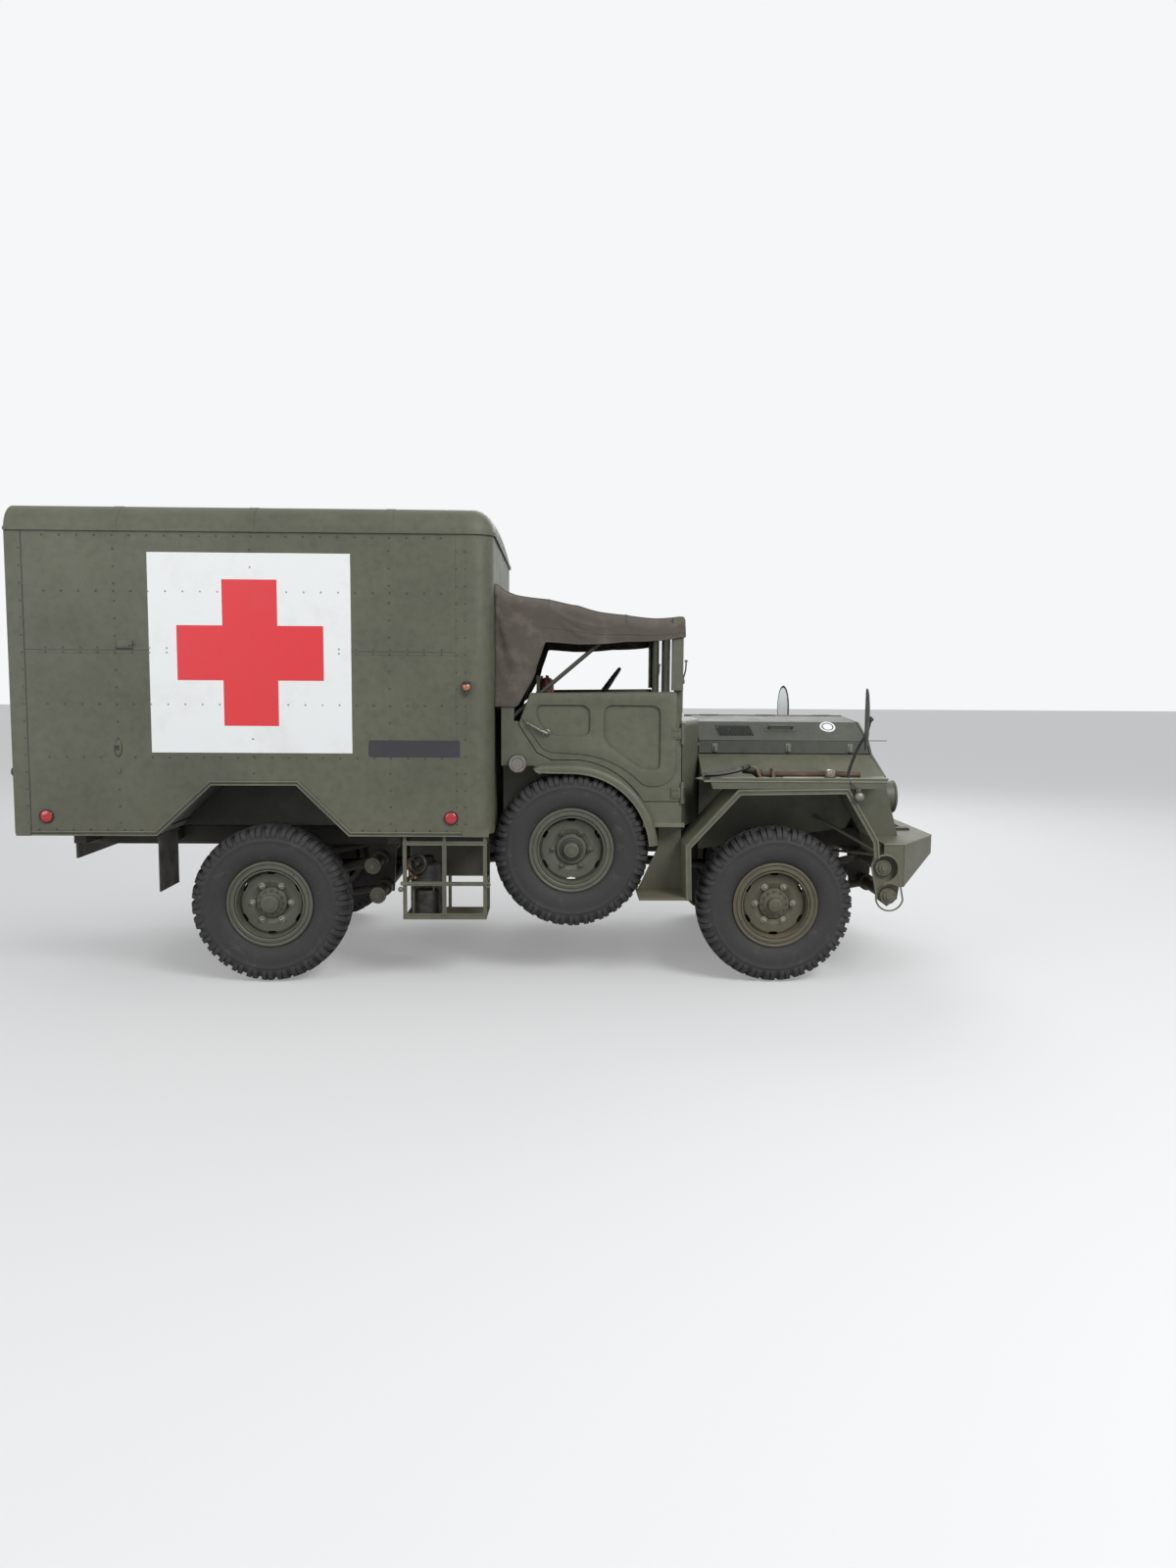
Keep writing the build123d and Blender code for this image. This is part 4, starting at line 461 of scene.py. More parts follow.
def army_paint(name, colour, dust="#87816C", roughness=0.5, dustiness=0.35, rust=0.0, mud_top=0.0):
    """Alkyd paint brushed and sprayed on steel sheet. The eye sees a soft sheen with broad fading, fine orange
    peel of about 2 mm, hair scratches, dust that settles on upward faces, and rust specks or mud where asked."""
    add = new_finish(name)
    place = add("TexCoord", "Object")
    light = linear(colour, 1.20)
    fade = add("TexNoise", Vector=place, Scale=1.7, Detail=4.0, Roughness=0.6)
    broad = add("ValToRGB", stops=[(0.30, linear(colour, 0.80)), (0.52, linear(colour)), (0.76, light)], Fac=fade)
    mottle = add("TexNoise", Vector=place, Scale=21.0, Detail=5.0, Roughness=0.62)
    spots = add("ValToRGB", stops=[(0.35, grey(0.86)), (0.50, grey(1.0)), (0.72, grey(1.10))], Fac=mottle)
    tone = add("Mix", 2, TINT, i0=1.0, i6=broad, i7=spots)
    upward = add("SeparateXYZ", "Z", Vector=add("TexCoord", "Normal"))
    settle = add("MapRange", Value=upward, i1=0.1, i2=1.0, i3=0.10, i4=1.0)
    drift = add("TexNoise", Vector=place, Scale=5.5, Detail=6.0, Roughness=0.7)
    patch = add("MapRange", Value=drift, i1=0.38, i2=0.72, i3=0.0, i4=dustiness)
    amount = add("Math", settings={"operation": "MULTIPLY"}, i0=settle, i1=patch)
    tone = add("Mix", 2, BLEND, i0=amount, i6=tone, i7=linear(dust))
    stretched = add("Mapping", Vector=place, Scale=(14.0, 14.0, 120.0))
    hairs = add("TexNoise", Vector=stretched, Scale=2.0, Detail=2.0)
    scratch = add("MapRange", Value=hairs, i1=0.70, i2=0.74, i3=0.0, i4=0.30)
    tone = add("Mix", 2, BLEND, i0=scratch, i6=tone, i7=light)
    if rust > 0:
        chips = add("TexNoise", Vector=place, Scale=34.0, Detail=7.0, Roughness=0.72)
        chipped = add("MapRange", Value=chips, i1=0.66 - 0.14 * rust, i2=0.72 - 0.12 * rust, i3=0.0, i4=0.85)
        tone = add("Mix", 2, BLEND, i0=chipped, i6=tone, i7=linear("#5A3A26"))
    if mud_top > 0:
        height = add("SeparateXYZ", "Z", Vector=place)
        splash = add("MapRange", Value=height, i1=mud_top, i2=mud_top * 0.35, i3=0.0, i4=0.75)
        splashed = add("Math", settings={"operation": "MULTIPLY"}, i0=splash, i1=drift)
        tone = add("Mix", 2, BLEND, i0=splashed, i6=tone, i7=linear("#6B6250"))
    dents = add("TexNoise", Vector=place, Scale=3.2, Detail=1.0)
    wavy = add("Bump", Strength=0.16, Distance=0.012, Height=dents)
    peel = add("TexNoise", Vector=place, Scale=420.0, Detail=2.0)
    bump = add("Bump", Strength=0.12, Distance=0.0008, Height=peel, Normal=wavy)
    shine = add("MapRange", Value=drift, i1=0.3, i2=0.75, i3=roughness - 0.09, i4=roughness + 0.16)
    add("OutputMaterial", Surface=add("BsdfPrincipled", Base_Color=tone, Roughness=shine, Normal=bump))


def tyre_rubber(name, colour):
    """Vulcanised natural rubber: matt charcoal, browned by road dust in its hollows and on the tread, finely
    grained."""
    add = new_finish(name)
    place = add("TexCoord", "Object")
    grime = add("TexNoise", Vector=place, Scale=9.0, Detail=7.0, Roughness=0.7)
    fine = add("TexNoise", Vector=place, Scale=160.0, Detail=4.0, Roughness=0.7)
    dirt = [(0.32, linear(colour)), (0.56, linear("#2E2D2E")), (0.86, linear("#5C564E"))]
    fleck = add("ValToRGB", stops=[(0.35, grey(0.75)), (0.6, grey(1.05))], Fac=fine)
    tone = add("Mix", 2, TINT, i0=1.0, i6=add("ValToRGB", stops=dirt, Fac=grime), i7=fleck)
    bump = add("Bump", Strength=0.35, Distance=0.0015, Height=fine)
    rough = add("MapRange", Value=grime, i1=0.3, i2=0.8, i3=0.62, i4=0.92)
    shader = add("BsdfPrincipled", Base_Color=tone, Roughness=rough, IOR=1.52, Normal=bump)
    add("OutputMaterial", Surface=shader)


def cotton_duck(name, colour):
    """Proofed cotton duck: plain weave of 0.9 mm threads, drawn at 3 mm so that it shows, weathered in patches,
    paler along its worn folds, with a faint sheen of fibres."""
    add = new_finish(name)
    cloth = add("TexCoord", "UV")
    place = add("TexCoord", "Object")
    warp, weft = [add("TexWave", "Fac", {"bands_direction": axis}, Vector=cloth, Scale=104.0, Distortion=0.6,
                      Detail=1.0) for axis in "XY"]
    weave = add("Math", settings={"operation": "MAXIMUM"}, i0=warp, i1=weft)
    weather = add("TexNoise", Vector=place, Scale=4.0, Detail=7.0, Roughness=0.68)
    worn = [(0.28, linear(colour, 0.70)), (0.5, linear(colour)), (0.78, linear("#7A7268"))]
    thread = add("ValToRGB", stops=[(0.2, grey(0.78)), (0.9, grey(1.06))], Fac=weave)
    tone = add("Mix", 2, TINT, i0=1.0, i6=add("ValToRGB", stops=worn, Fac=weather), i7=thread)
    bump = add("Bump", Strength=0.4, Distance=0.0012, Height=weave)
    shader = add("BsdfPrincipled", Base_Color=tone, Roughness=0.9, Sheen_Weight=0.25, Sheen_Roughness=0.6,
                 Normal=bump)
    add("OutputMaterial", Surface=shader)


def leathercloth(name, colour):
    """Coated seat cloth: pebbled grain of about 3 mm, satin, rubbed darker where it is sat on."""
    add = new_finish(name)
    place = add("TexCoord", "Object")
    grain = add("TexVoronoi", "Distance", Vector=place, Scale=330.0)
    wear = add("TexNoise", Vector=place, Scale=6.0, Detail=5.0)
    tone = add("ValToRGB", stops=[(0.3, linear(colour, 0.6)), (0.7, linear(colour))], Fac=wear)
    bump = add("Bump", Strength=0.3, Distance=0.001, Height=grain)
    rough = add("MapRange", Value=wear, i1=0.3, i2=0.7, i3=0.42, i4=0.62)
    add("OutputMaterial", Surface=add("BsdfPrincipled", Base_Color=tone, Roughness=rough, Normal=bump))


def sign_enamel(name, colour, wear="#B9B6AC"):
    """Gloss marking paint laid over the body colour: even and bright, with faint grime and pinholes."""
    add = new_finish(name)
    place = add("TexCoord", "Object")
    grime = add("TexNoise", Vector=place, Scale=4.5, Detail=8.0, Roughness=0.7)
    amount = add("MapRange", Value=grime, i1=0.5, i2=0.85, i3=0.0, i4=0.35)
    tone = add("Mix", 2, BLEND, i0=amount, i6=linear(colour), i7=linear(wear))
    peel = add("TexNoise", Vector=place, Scale=260.0, Detail=2.0)
    bump = add("Bump", Strength=0.10, Distance=0.0006, Height=peel)
    add("OutputMaterial", Surface=add("BsdfPrincipled", Base_Color=tone, Roughness=0.42, Normal=bump))


def lens_plastic(name, colour, pitch=0.006):
    """Moulded signal lens: glossy and deep in colour, ribbed in small prisms of a pitch in metres."""
    add = new_finish(name)
    place = add("TexCoord", "Object")
    cells = add("TexVoronoi", "Distance", {"feature": "SMOOTH_F1"}, Vector=place, Scale=1.0 / pitch)
    tone = add("ValToRGB", stops=[(0.1, linear(colour, 0.65)), (0.6, linear(colour))], Fac=cells)
    bump = add("Bump", Strength=0.3, Distance=0.001, Height=cells)
    shader = add("BsdfPrincipled", Base_Color=tone, Roughness=0.16, IOR=1.49, Coat_Weight=0.6, Normal=bump)
    add("OutputMaterial", Surface=shader)


def window_glass(name, colour="#DCE6E2", alpha=0.12):
    """Flat safety glass: clear, with a faint green cast and a thin film of dust that dulls it in patches."""
    add = new_finish(name)
    film = add("TexNoise", Vector=add("TexCoord", "Object"), Scale=5.0, Detail=3.0)
    rough = add("MapRange", Value=film, i1=0.4, i2=0.8, i3=0.01, i4=0.05)
    cover = add("MapRange", Value=film, i1=0.35, i2=0.85, i3=alpha - 0.04, i4=alpha + 0.04)
    shader = add("BsdfPrincipled", Base_Color=linear(colour), Roughness=rough, IOR=1.5, Alpha=cover)
    add("OutputMaterial", Surface=shader)


def bare_metal(name, colour, roughness=0.35, tarnish="#5B4A34", spread=0.5):
    """Machined or cast metal with a thin film of grease and tarnish gathered in patches."""
    add = new_finish(name)
    film = add("TexNoise", Vector=add("TexCoord", "Object"), Scale=28.0, Detail=7.0, Roughness=0.7)
    amount = add("MapRange", Value=film, i1=0.45, i2=0.75, i3=0.0, i4=spread)
    tone = add("Mix", 2, BLEND, i0=amount, i6=linear(colour), i7=linear(tarnish))
    rough = add("MapRange", Value=film, i1=0.3, i2=0.8, i3=roughness - 0.08, i4=roughness + 0.25)
    bump = add("Bump", Strength=0.2, Distance=0.0006, Height=film)
    shader = add("BsdfPrincipled", Base_Color=tone, Metallic=1.0, Roughness=rough, Normal=bump)
    add("OutputMaterial", Surface=shader)


def weathered_ash(name, colour):
    """Ash handle left outdoors: grey-brown, with grain 4 mm apart along X and fine open pores."""
    add = new_finish(name)
    grain = add("Mapping", Vector=add("TexCoord", "Object"), Scale=(3.0, 60.0, 60.0))
    rings = add("TexNoise", Vector=grain, Scale=4.0, Detail=6.0, Roughness=0.65)
    tones = [(0.3, linear(colour, 0.45)), (0.55, linear(colour)), (0.8, linear("#A58C6C"))]
    bump = add("Bump", Strength=0.35, Distance=0.001, Height=rings)
    shader = add("BsdfPrincipled", Base_Color=add("ValToRGB", stops=tones, Fac=rings), Roughness=0.78, Normal=bump)
    add("OutputMaterial", Surface=shader)


def moulded_rubber(name, colour, roughness=0.7):
    """Black rubber or moulded plastic: dull, faintly grained, greyed with dust."""
    add = new_finish(name)
    place = add("TexCoord", "Object")
    dust = add("TexNoise", Vector=place, Scale=11.0, Detail=6.0, Roughness=0.7)
    tone = add("ValToRGB", stops=[(0.4, linear(colour)), (0.8, linear("#4C4A45"))], Fac=dust)
    fine = add("TexNoise", Vector=place, Scale=380.0, Detail=2.0)
    bump = add("Bump", Strength=0.2, Distance=0.0008, Height=fine)
    rough = add("MapRange", Value=dust, i1=0.3, i2=0.8, i3=roughness - 0.12, i4=roughness + 0.12)
    add("OutputMaterial", Surface=add("BsdfPrincipled", Base_Color=tone, Roughness=rough, Normal=bump))


# Wheels. Each is shaped about its own Z axis, which points outward, and is then turned to its side
def wheel_places():
    """Name, body, hub place, outward direction and resting turn of each wheel."""
    turns = {"front": 0.31, "rear": 0.12, "spare": 0.0}
    for name, (x, y, z) in HUBS.items():
        for side, sign in SIDES:
            yield (f"{name}_{side}", f"wheel_{name}_{side}", (x, sign * y, z), (0.0, sign, 0.0),
                   turns[name] + 0.7 * (sign + 1))


# Half section of the tyre: distance out and radius of the carcass, and of the lugs that stand on its outer part
CARCASS = [(0, 434), (15, 434), (20, 422), (58, 421), (88, 415), (101, 405), (107, 395), (111, 386), (114, 379),
           (115.5, 374), (117, 366), (119.5, 362), (119.5, 357), (117.5, 353), (119, 330), (118.5, 312), (116, 294),
           (111, 276), (104, 261), (96, 250), (88, 243), (84, 234), (83, 206)]
LUG_TOP = [(0, 440), (15, 440), (20, 439.5), (58, 438), (90, 432), (106, 421), (115, 406), (119, 392), (119, 383),
           (116, 374)]
TYRE_SECTION = np.hstack([CARCASS, LUG_TOP + CARCASS[len(LUG_TOP):]])
# Across one lug pitch: share of the pitch, and how far the lug stands there
LUG_STEPS = np.array([(0.0, 0.0), (0.03, 1.0), (0.31, 1.0), (0.335, 0.35), (0.395, 0.35), (0.42, 1.0), (0.70, 1.0),
                      (0.73, 0.0), (0.865, 0.0)])


def tyre_shape(lugs):
    """Grid round the tyre: at each angle a section point is carcass + stand (lug - carcass), where stand follows
    LUG_STEPS, and the angle shifts by a quarter pitch each way across the centre, so the bars alternate."""
    section = np.vstack([TYRE_SECTION[:0:-1] * (-1, 1, -1, 1), TYRE_SECTION])
    pitch = 2 * math.pi / lugs
    angle = (np.arange(lugs)[:, None] + LUG_STEPS[None, :, 0]).ravel() * pitch
    stand = np.tile(LUG_STEPS[:, 1], lugs)
    shift = np.clip(section[:, 0] / 30.0, -0.5, 0.5) * 0.5 * pitch + np.abs(section[:, 0]) * 0.0002
    out = section[:, 0][:, None] + stand * (section[:, 2] - section[:, 0])[:, None]
    radius = section[:, 1][:, None] + stand * (section[:, 3] - section[:, 1])[:, None]
    a = angle[None, :] + shift[:, None]
    points = np.stack([radius * np.cos(a), radius * np.sin(a), out], 2).reshape(-1, 3)
    faces = sheet_faces(len(section), len(angle), wrap_rows=True, wrap_columns=True)
    return points, [tuple(reversed(face)) for face in faces]


def ring(profile, count, gap=0.0, start=0.0):
    """Lathed ring of a closed section; with a gap it is split there and its ends are closed."""
    whole = gap == 0.0
    points = turned(profile, start + np.linspace(0, 2 * math.pi - gap, count, endpoint=not whole))
    faces = [tuple(f) for f in sheet_faces(len(profile), count, wrap_rows=True, wrap_columns=whole)]
    if not whole:
        faces.append(tuple(reversed([i * count for i in range(len(profile))])))
        faces.append(tuple(i * count + count - 1 for i in range(len(profile))))
    return points, faces


STUD_CIRCLE = 108.0


def wheel_fittings(kind):
    """Rolled flange and split lock ring with the hub and valve of one wheel, its nuts, and the hub's small parts."""
    flange = [(226, 88), (238, 88), (241, 92), (239, 97), (231, 99), (225, 96)]
    lock = [(198, 88), (214, 88), (219, 93), (216, 97), (203, 98), (197, 94)]
    lip = [(180, 38), (190, 40), (192, 62), (188, 84), (193, 92), (186, 93), (181, 70)]
    reach = {"front": 41, "rear": 51, "spare": 45}[kind]
    hub = [(38, 30), (86, 30), (86, 46), (80, 52), (62, 54), (38, 60)]
    cap = lathe([(reach, 52), (reach, 92), (reach - 3, 99), (reach - 13, 103), (reach - 20, 103),
                 (reach - 22, 106), (0.01, 107)], 40)
    valve = along([(150, 96, 40), (156, 100, 58), (168, 107, 74)], 4.5, 8)
    painted = joined([ring(flange, 96), ring(lock, 96, gap=0.05, start=0.9), ring(lip, 96), ring(hub, 48), cap,
                      valve])
    places = circle(STUD_CIRCLE, 6)
    nuts = joined([repeated(bolt(14.0, 22), level(places, 41.0)), repeated(dome(8, 9), level(places, 62.5)),
                   repeated(disc(19, 3, 1, 24), level(places, 42.0))])
    if kind == "spare":
        small = ring([(47, 46), (66, 46), (69, 52), (66, 64), (52, 68), (46, 64)], 40)
    else:
        small = repeated(bolt(7.6, 9), level(circle(69, 12), 52.0))
    return painted, nuts, small


# Body
ARCH = [(-1992.0, 832.0), (-1694.0, 1112.0), (-1236.0, 1113.0), (-954.0, 832.0)]
SQUARE = ((-2010.0, -930.0), (1290.0, 2360.0))
PLATE_PLACE = (-594.0, 1317.0)
CROSS_PLACE = (-1470.0, 1828.0)
CROSS_HALF = 392.0
CROSS_BAR = 147.0
UPRIGHT_ROWS = (-2686.0, -2190.0, -1465.0, -725.0, -363.0, -317.0)
LEVEL_ROWS = (2447.0, 2154.0, 1852.0, 1828.0, 1551.0, 1264.0)


def over_arch(x, z, room):
    """True where a point of the body side is above the wheel arch by at least some room."""
    return z > np.interp(x, *zip(*ARCH), left=0.0, right=0.0) + room


def in_cross(x, z):
    dx = np.abs(x - CROSS_PLACE[0])
    dz = np.abs(z - CROSS_PLACE[1])
    return ((dx < CROSS_HALF) & (dz < CROSS_BAR)) | ((dx < CROSS_BAR) & (dz < CROSS_HALF))


def in_square(x, z):
    return (x > SQUARE[0][0]) & (x < SQUARE[0][1]) & (z > SQUARE[1][0]) & (z < SQUARE[1][1])


def side_rivets():
    """Rivet places on the right side, as X and Z, in upright rows, level rows and one along the foot."""
    upright = [(x, z) for x in UPRIGHT_ROWS for z in np.arange(905, 2440, RIVET_PITCH)]
    across = [(x, z) for z in LEVEL_ROWS for x in np.arange(-2560, -380, RIVET_PITCH)]
    low = [(x, 868.0) for x in np.arange(-2720, -200, RIVET_PITCH)]
    places = np.vstack([upright, across, low])
    return places[over_arch(places[:, 0], places[:, 1], 34)]


def side_sheet(outline, proud, thick, edge=0.6):
    """Thin plate on the right side of the body, its outline in X and Z."""
    points, faces = slab(outline, proud - thick, proud, edge)
    return np.stack([points[:, 0], -BODY_HALF - points[:, 2], points[:, 1]], 1), faces


def rectangle(x, z):
    return [(x[0], z[0]), (x[1], z[0]), (x[1], z[1]), (x[0], z[1])]


def cross_outline():
    cx, cz = CROSS_PLACE
    a, b = CROSS_BAR, CROSS_HALF
    shape = [(-a, -b), (a, -b), (a, -a), (b, -a), (b, a), (a, a), (a, b), (-a, b), (-a, a), (-b, a), (-b, -a),
             (-a, -a)]
    return [(cx + x, cz + z) for x, z in shape]


# Canvas: stations along the cab as X and top height, as on the drawing's side outline
CANVAS_TOP = np.array([(-168, 2222), (-150, 2222), (-110, 2188), (-47, 2166), (132, 2139), (296, 2122), (416, 2085),
                       (570, 2056), (730, 2046), (872, 2050)], float)
CANVAS_LOW = np.array([(-168, 1545), (-41, 1545), (52, 1715), (111, 1908), (300, 1903), (600, 1914), (872, 1934)],
                      float)
CANVAS_HALF = 889.0
BOWS = (132.0, 570.0, 866.0)


def canvas_grid(rows, columns):
    """Canvas at rest. Row x runs from the body to the windscreen, column s from the right hem over the top to the
    left hem: up the side, round a soft edge, and across with a crown of 24 (1 - (y/half)^2) mm. Between hoops the
    top sags by a sine, and the rear quarters fold by two sines across the cloth."""
    front_flap = np.linspace(0, 1, 4)[1:]
    x = np.concatenate([np.linspace(-166, 880, rows - len(front_flap)), 880 + 14 * np.sin(front_flap * math.pi / 2)])
    flap_drop = np.concatenate([np.zeros(rows - len(front_flap)), 44 * front_flap ** 2])
    top = np.interp(x, *CANVAS_TOP.T) - flap_drop
    low = np.minimum(np.interp(x, *CANVAS_LOW.T), top - 20)
    side_steps = columns // 4
    across = columns - 2 * side_steps
    up = np.linspace(0, 1, side_steps, endpoint=False)
    y = np.empty((rows, columns))
    z = np.empty((rows, columns))
    edge = 46.0
    flat = np.linspace(-1, 1, across)
    bend = np.clip((np.abs(flat) - 0.94) / 0.06, 0, 1)
    crown = 24 * (1 - flat ** 2) - edge * (1 - np.sqrt(np.maximum(1 - bend ** 2, 0)))
    between = np.zeros(rows)
    for a, b in zip((-150.0,) + BOWS[:-1], BOWS):
        inside = (x > a) & (x < b)
        between[inside] = np.sin(math.pi * (x[inside] - a) / (b - a))
    sag = 12 * between[:, None] * (1 - flat ** 4)[None, :]
    middle = slice(side_steps, side_steps + across)
    y[:, middle] = flat * CANVAS_HALF
    z[:, middle] = top[:, None] + crown[None, :] - sag
    foot = top - edge
    side_z = low[:, None] + (foot - low)[:, None] * up[None, :]
    quarter = np.clip((60 - x) / 200, 0, 1)[:, None] * np.sin(math.pi * up)[None, :] ** 0.5
    hang = np.clip((x - 60) / 200, 0, 1)[:, None] * (1 - up)[None, :]
    ripple = 9 * quarter * np.sin(x[:, None] * 0.055 + side_z * 0.006)
    ripple = ripple + 5 * hang * np.sin(x[:, None] * 0.021 + 0.8) + 3 * hang * np.sin(x[:, None] * 0.047)
    side_y = CANVAS_HALF + np.minimum(ripple, 3.0) - 26 * quarter
    y[:, :side_steps] = -side_y
    z[:, :side_steps] = side_z
    y[:, side_steps + across:] = side_y[:, ::-1]
    z[:, side_steps + across:] = side_z[:, ::-1]
    return np.stack([np.broadcast_to(x[:, None], y.shape), y, z], 2)


def grid_object(name, grid, finish, body, slot):
    """Object from a grid of places, with a UV map in metres measured along its rows and columns."""
    rows, columns = grid.shape[:2]
    along_row = np.linalg.norm(np.diff(grid, axis=0), axis=2)
    along_column = np.linalg.norm(np.diff(grid, axis=1), axis=2)
    u = np.vstack([np.zeros((1, columns)), np.cumsum(along_row, 0)]) / 1000
    v = np.hstack([np.zeros((rows, 1)), np.cumsum(along_column, 1)]) / 1000
    faces = [tuple(face) for face in sheet_faces(rows, columns)]
    uv = np.stack([u, v], 2).reshape(-1, 2)
    return piece(name, (grid.reshape(-1, 3), faces), finish, body, slot, uv=uv, sharp=80)


CLOTH_STIFFNESS = 15.0


def cloth_settled(obj, pinned, frames, cap, gravity=1.0, pressure=0.0):
    """Runs Blender's cloth on a mesh for some frames and applies it, each point moving at most a cap in metres."""
    rest = np.empty(len(obj.data.vertices) * 3)
    obj.data.vertices.foreach_get("co", rest)
    cloth = obj.modifiers.new("cloth", "CLOTH")
    cloth.settings.quality = 6
    cloth.settings.mass = 0.3
    cloth.settings.tension_stiffness = CLOTH_STIFFNESS
    cloth.settings.compression_stiffness = CLOTH_STIFFNESS
    cloth.settings.bending_stiffness = 0.6
    cloth.settings.effector_weights.gravity = gravity
    if len(pinned):
        group = obj.vertex_groups.new(name="held")
        group.add([int(i) for i in pinned], 1.0, "REPLACE")
        cloth.settings.vertex_group_mass = "held"
    if pressure:
        cloth.settings.use_pressure = True
        cloth.settings.uniform_pressure_force = pressure
    cloth.collision_settings.use_collision = False
    cloth.point_cache.frame_start = 1
    cloth.point_cache.frame_end = frames
    scene = bpy.context.scene
    for number in range(1, frames + 1):
        scene.frame_set(number)
    evaluated = obj.evaluated_get(bpy.context.evaluated_depsgraph_get())
    now = np.empty(len(rest))
    evaluated.to_mesh().vertices.foreach_get("co", now)
    evaluated.to_mesh_clear()
    obj.modifiers.remove(cloth)
    if len(pinned):
        obj.vertex_groups.remove(group)
    step = (now - rest).reshape(-1, 3)
    length = np.linalg.norm(step, axis=1)
    step = step * np.minimum(1.0, cap / np.maximum(length, 1e-9))[:, None]
    obj.data.vertices.foreach_set("co", rest + step.ravel())
    obj.data.update()
    scene.frame_set(1)


def vertex_places(obj):
    """The object's vertices back in drawing millimetres."""
    flat = np.empty(len(obj.data.vertices) * 3)
    obj.data.vertices.foreach_get("co", flat)
    return flat.reshape(-1, 3) * 1000 - (MIDDLE, 0, 0)


def cushion_shape(centre, size, turn):
    """Superellipsoid block: each point of a sphere's grid raised to a power of 0.32 across and 0.42 in height, then
    scaled to the cushion and turned."""
    a = np.linspace(-math.pi / 2, math.pi / 2, 17)
    b = np.linspace(-math.pi, math.pi, 48, endpoint=False)

    def power(value, exponent):
        return np.sign(value) * np.abs(value) ** exponent

    x = power(np.cos(a), 0.32)[:, None] * power(np.cos(b), 0.32)[None, :]
    y = power(np.cos(a), 0.32)[:, None] * power(np.sin(b), 0.32)[None, :]
    z = np.broadcast_to(power(np.sin(a), 0.42)[:, None], x.shape)
    points = np.stack([x, y, z], 2).reshape(-1, 3) * np.asarray(size) / 2
    points = points @ turn.T
    faces = [tuple(face) for face in sheet_faces(17, 48, wrap_columns=True)]
    return points + centre, faces


# Operators, one for each piece or group of like pieces
class TruckSettings(bpy.types.PropertyGroup):
    body_colour: StringProperty(name="Body paint", description="Hex colour of the body paint", default="#525445")
    bonnet_colour: StringProperty(name="Bonnet paint", description="Hex colour of the bonnet and hubs",
                                  default="#44473F")
    under_colour: StringProperty(name="Underbody paint", description="Hex colour of the frame and suspension",
                                 default="#33332D")
    canvas_colour: StringProperty(name="Canvas", description="Hex colour of the cab's canvas", default="#50483F")
    white_colour: StringProperty(name="Marking white", description="Hex colour of the square", default="#E6E8E8")
    red_colour: StringProperty(name="Marking red", description="Hex colour of the cross", default="#D8343A")
    seat_colour: StringProperty(name="Seat cloth", description="Hex colour of the cushions", default="#6A3A2A")
    lugs: IntProperty(name="Lugs", description="Lug pitches round a tyre", default=30, min=12, max=60)
    rivet_radius: FloatProperty(name="Rivet radius", description="Radius of the body rivets", default=0.0058,
                                min=0.002, max=0.02, unit="LENGTH")
    canvas_thick: FloatProperty(name="Canvas thickness", description="Thickness of the canvas", default=0.0025,
                                min=0.001, max=0.01, unit="LENGTH")


class AmbulanceOperator:
    """Shared by the operators below: each makes its pieces once and reports success."""
    bl_options = {"REGISTER"}

    @classmethod
    def settings(cls):
        return bpy.context.scene.ambulance_truck


# The finish of the frame's own nodes, where * stands for right and left
NODE_FINISHES = {
    "army olive": "front_bumper nose_panel cab_floor cowl windscreen_frame body_roof body_front body_rear_frame "
                  "fuel_tank side_rack wing_* cab_side_* cab_door_* body_side_* rear_door_*",
    "bonnet olive": "bonnet_*",
    "wheel olive": "rim_rear_* rim_spare_*",
    "rusted wheel olive": "rim_front_*",
    "underbody paint": "body_floor chassis_frame tow_hitch suspension_front suspension_rear canvas_bows knuckle_*",
    "cast iron": "power_train",
    "radiator core": "radiator",
    "black rubber": "steering_wheel mirrors canister",
    "red lens": "reflectors",
    "amber lens": "marker_lamps",
    "worn steel": "headlamps pioneer_tools",
    "flap rubber": "mud_flaps",
    "window glass": "windscreen_glass rear_glass_*",
}


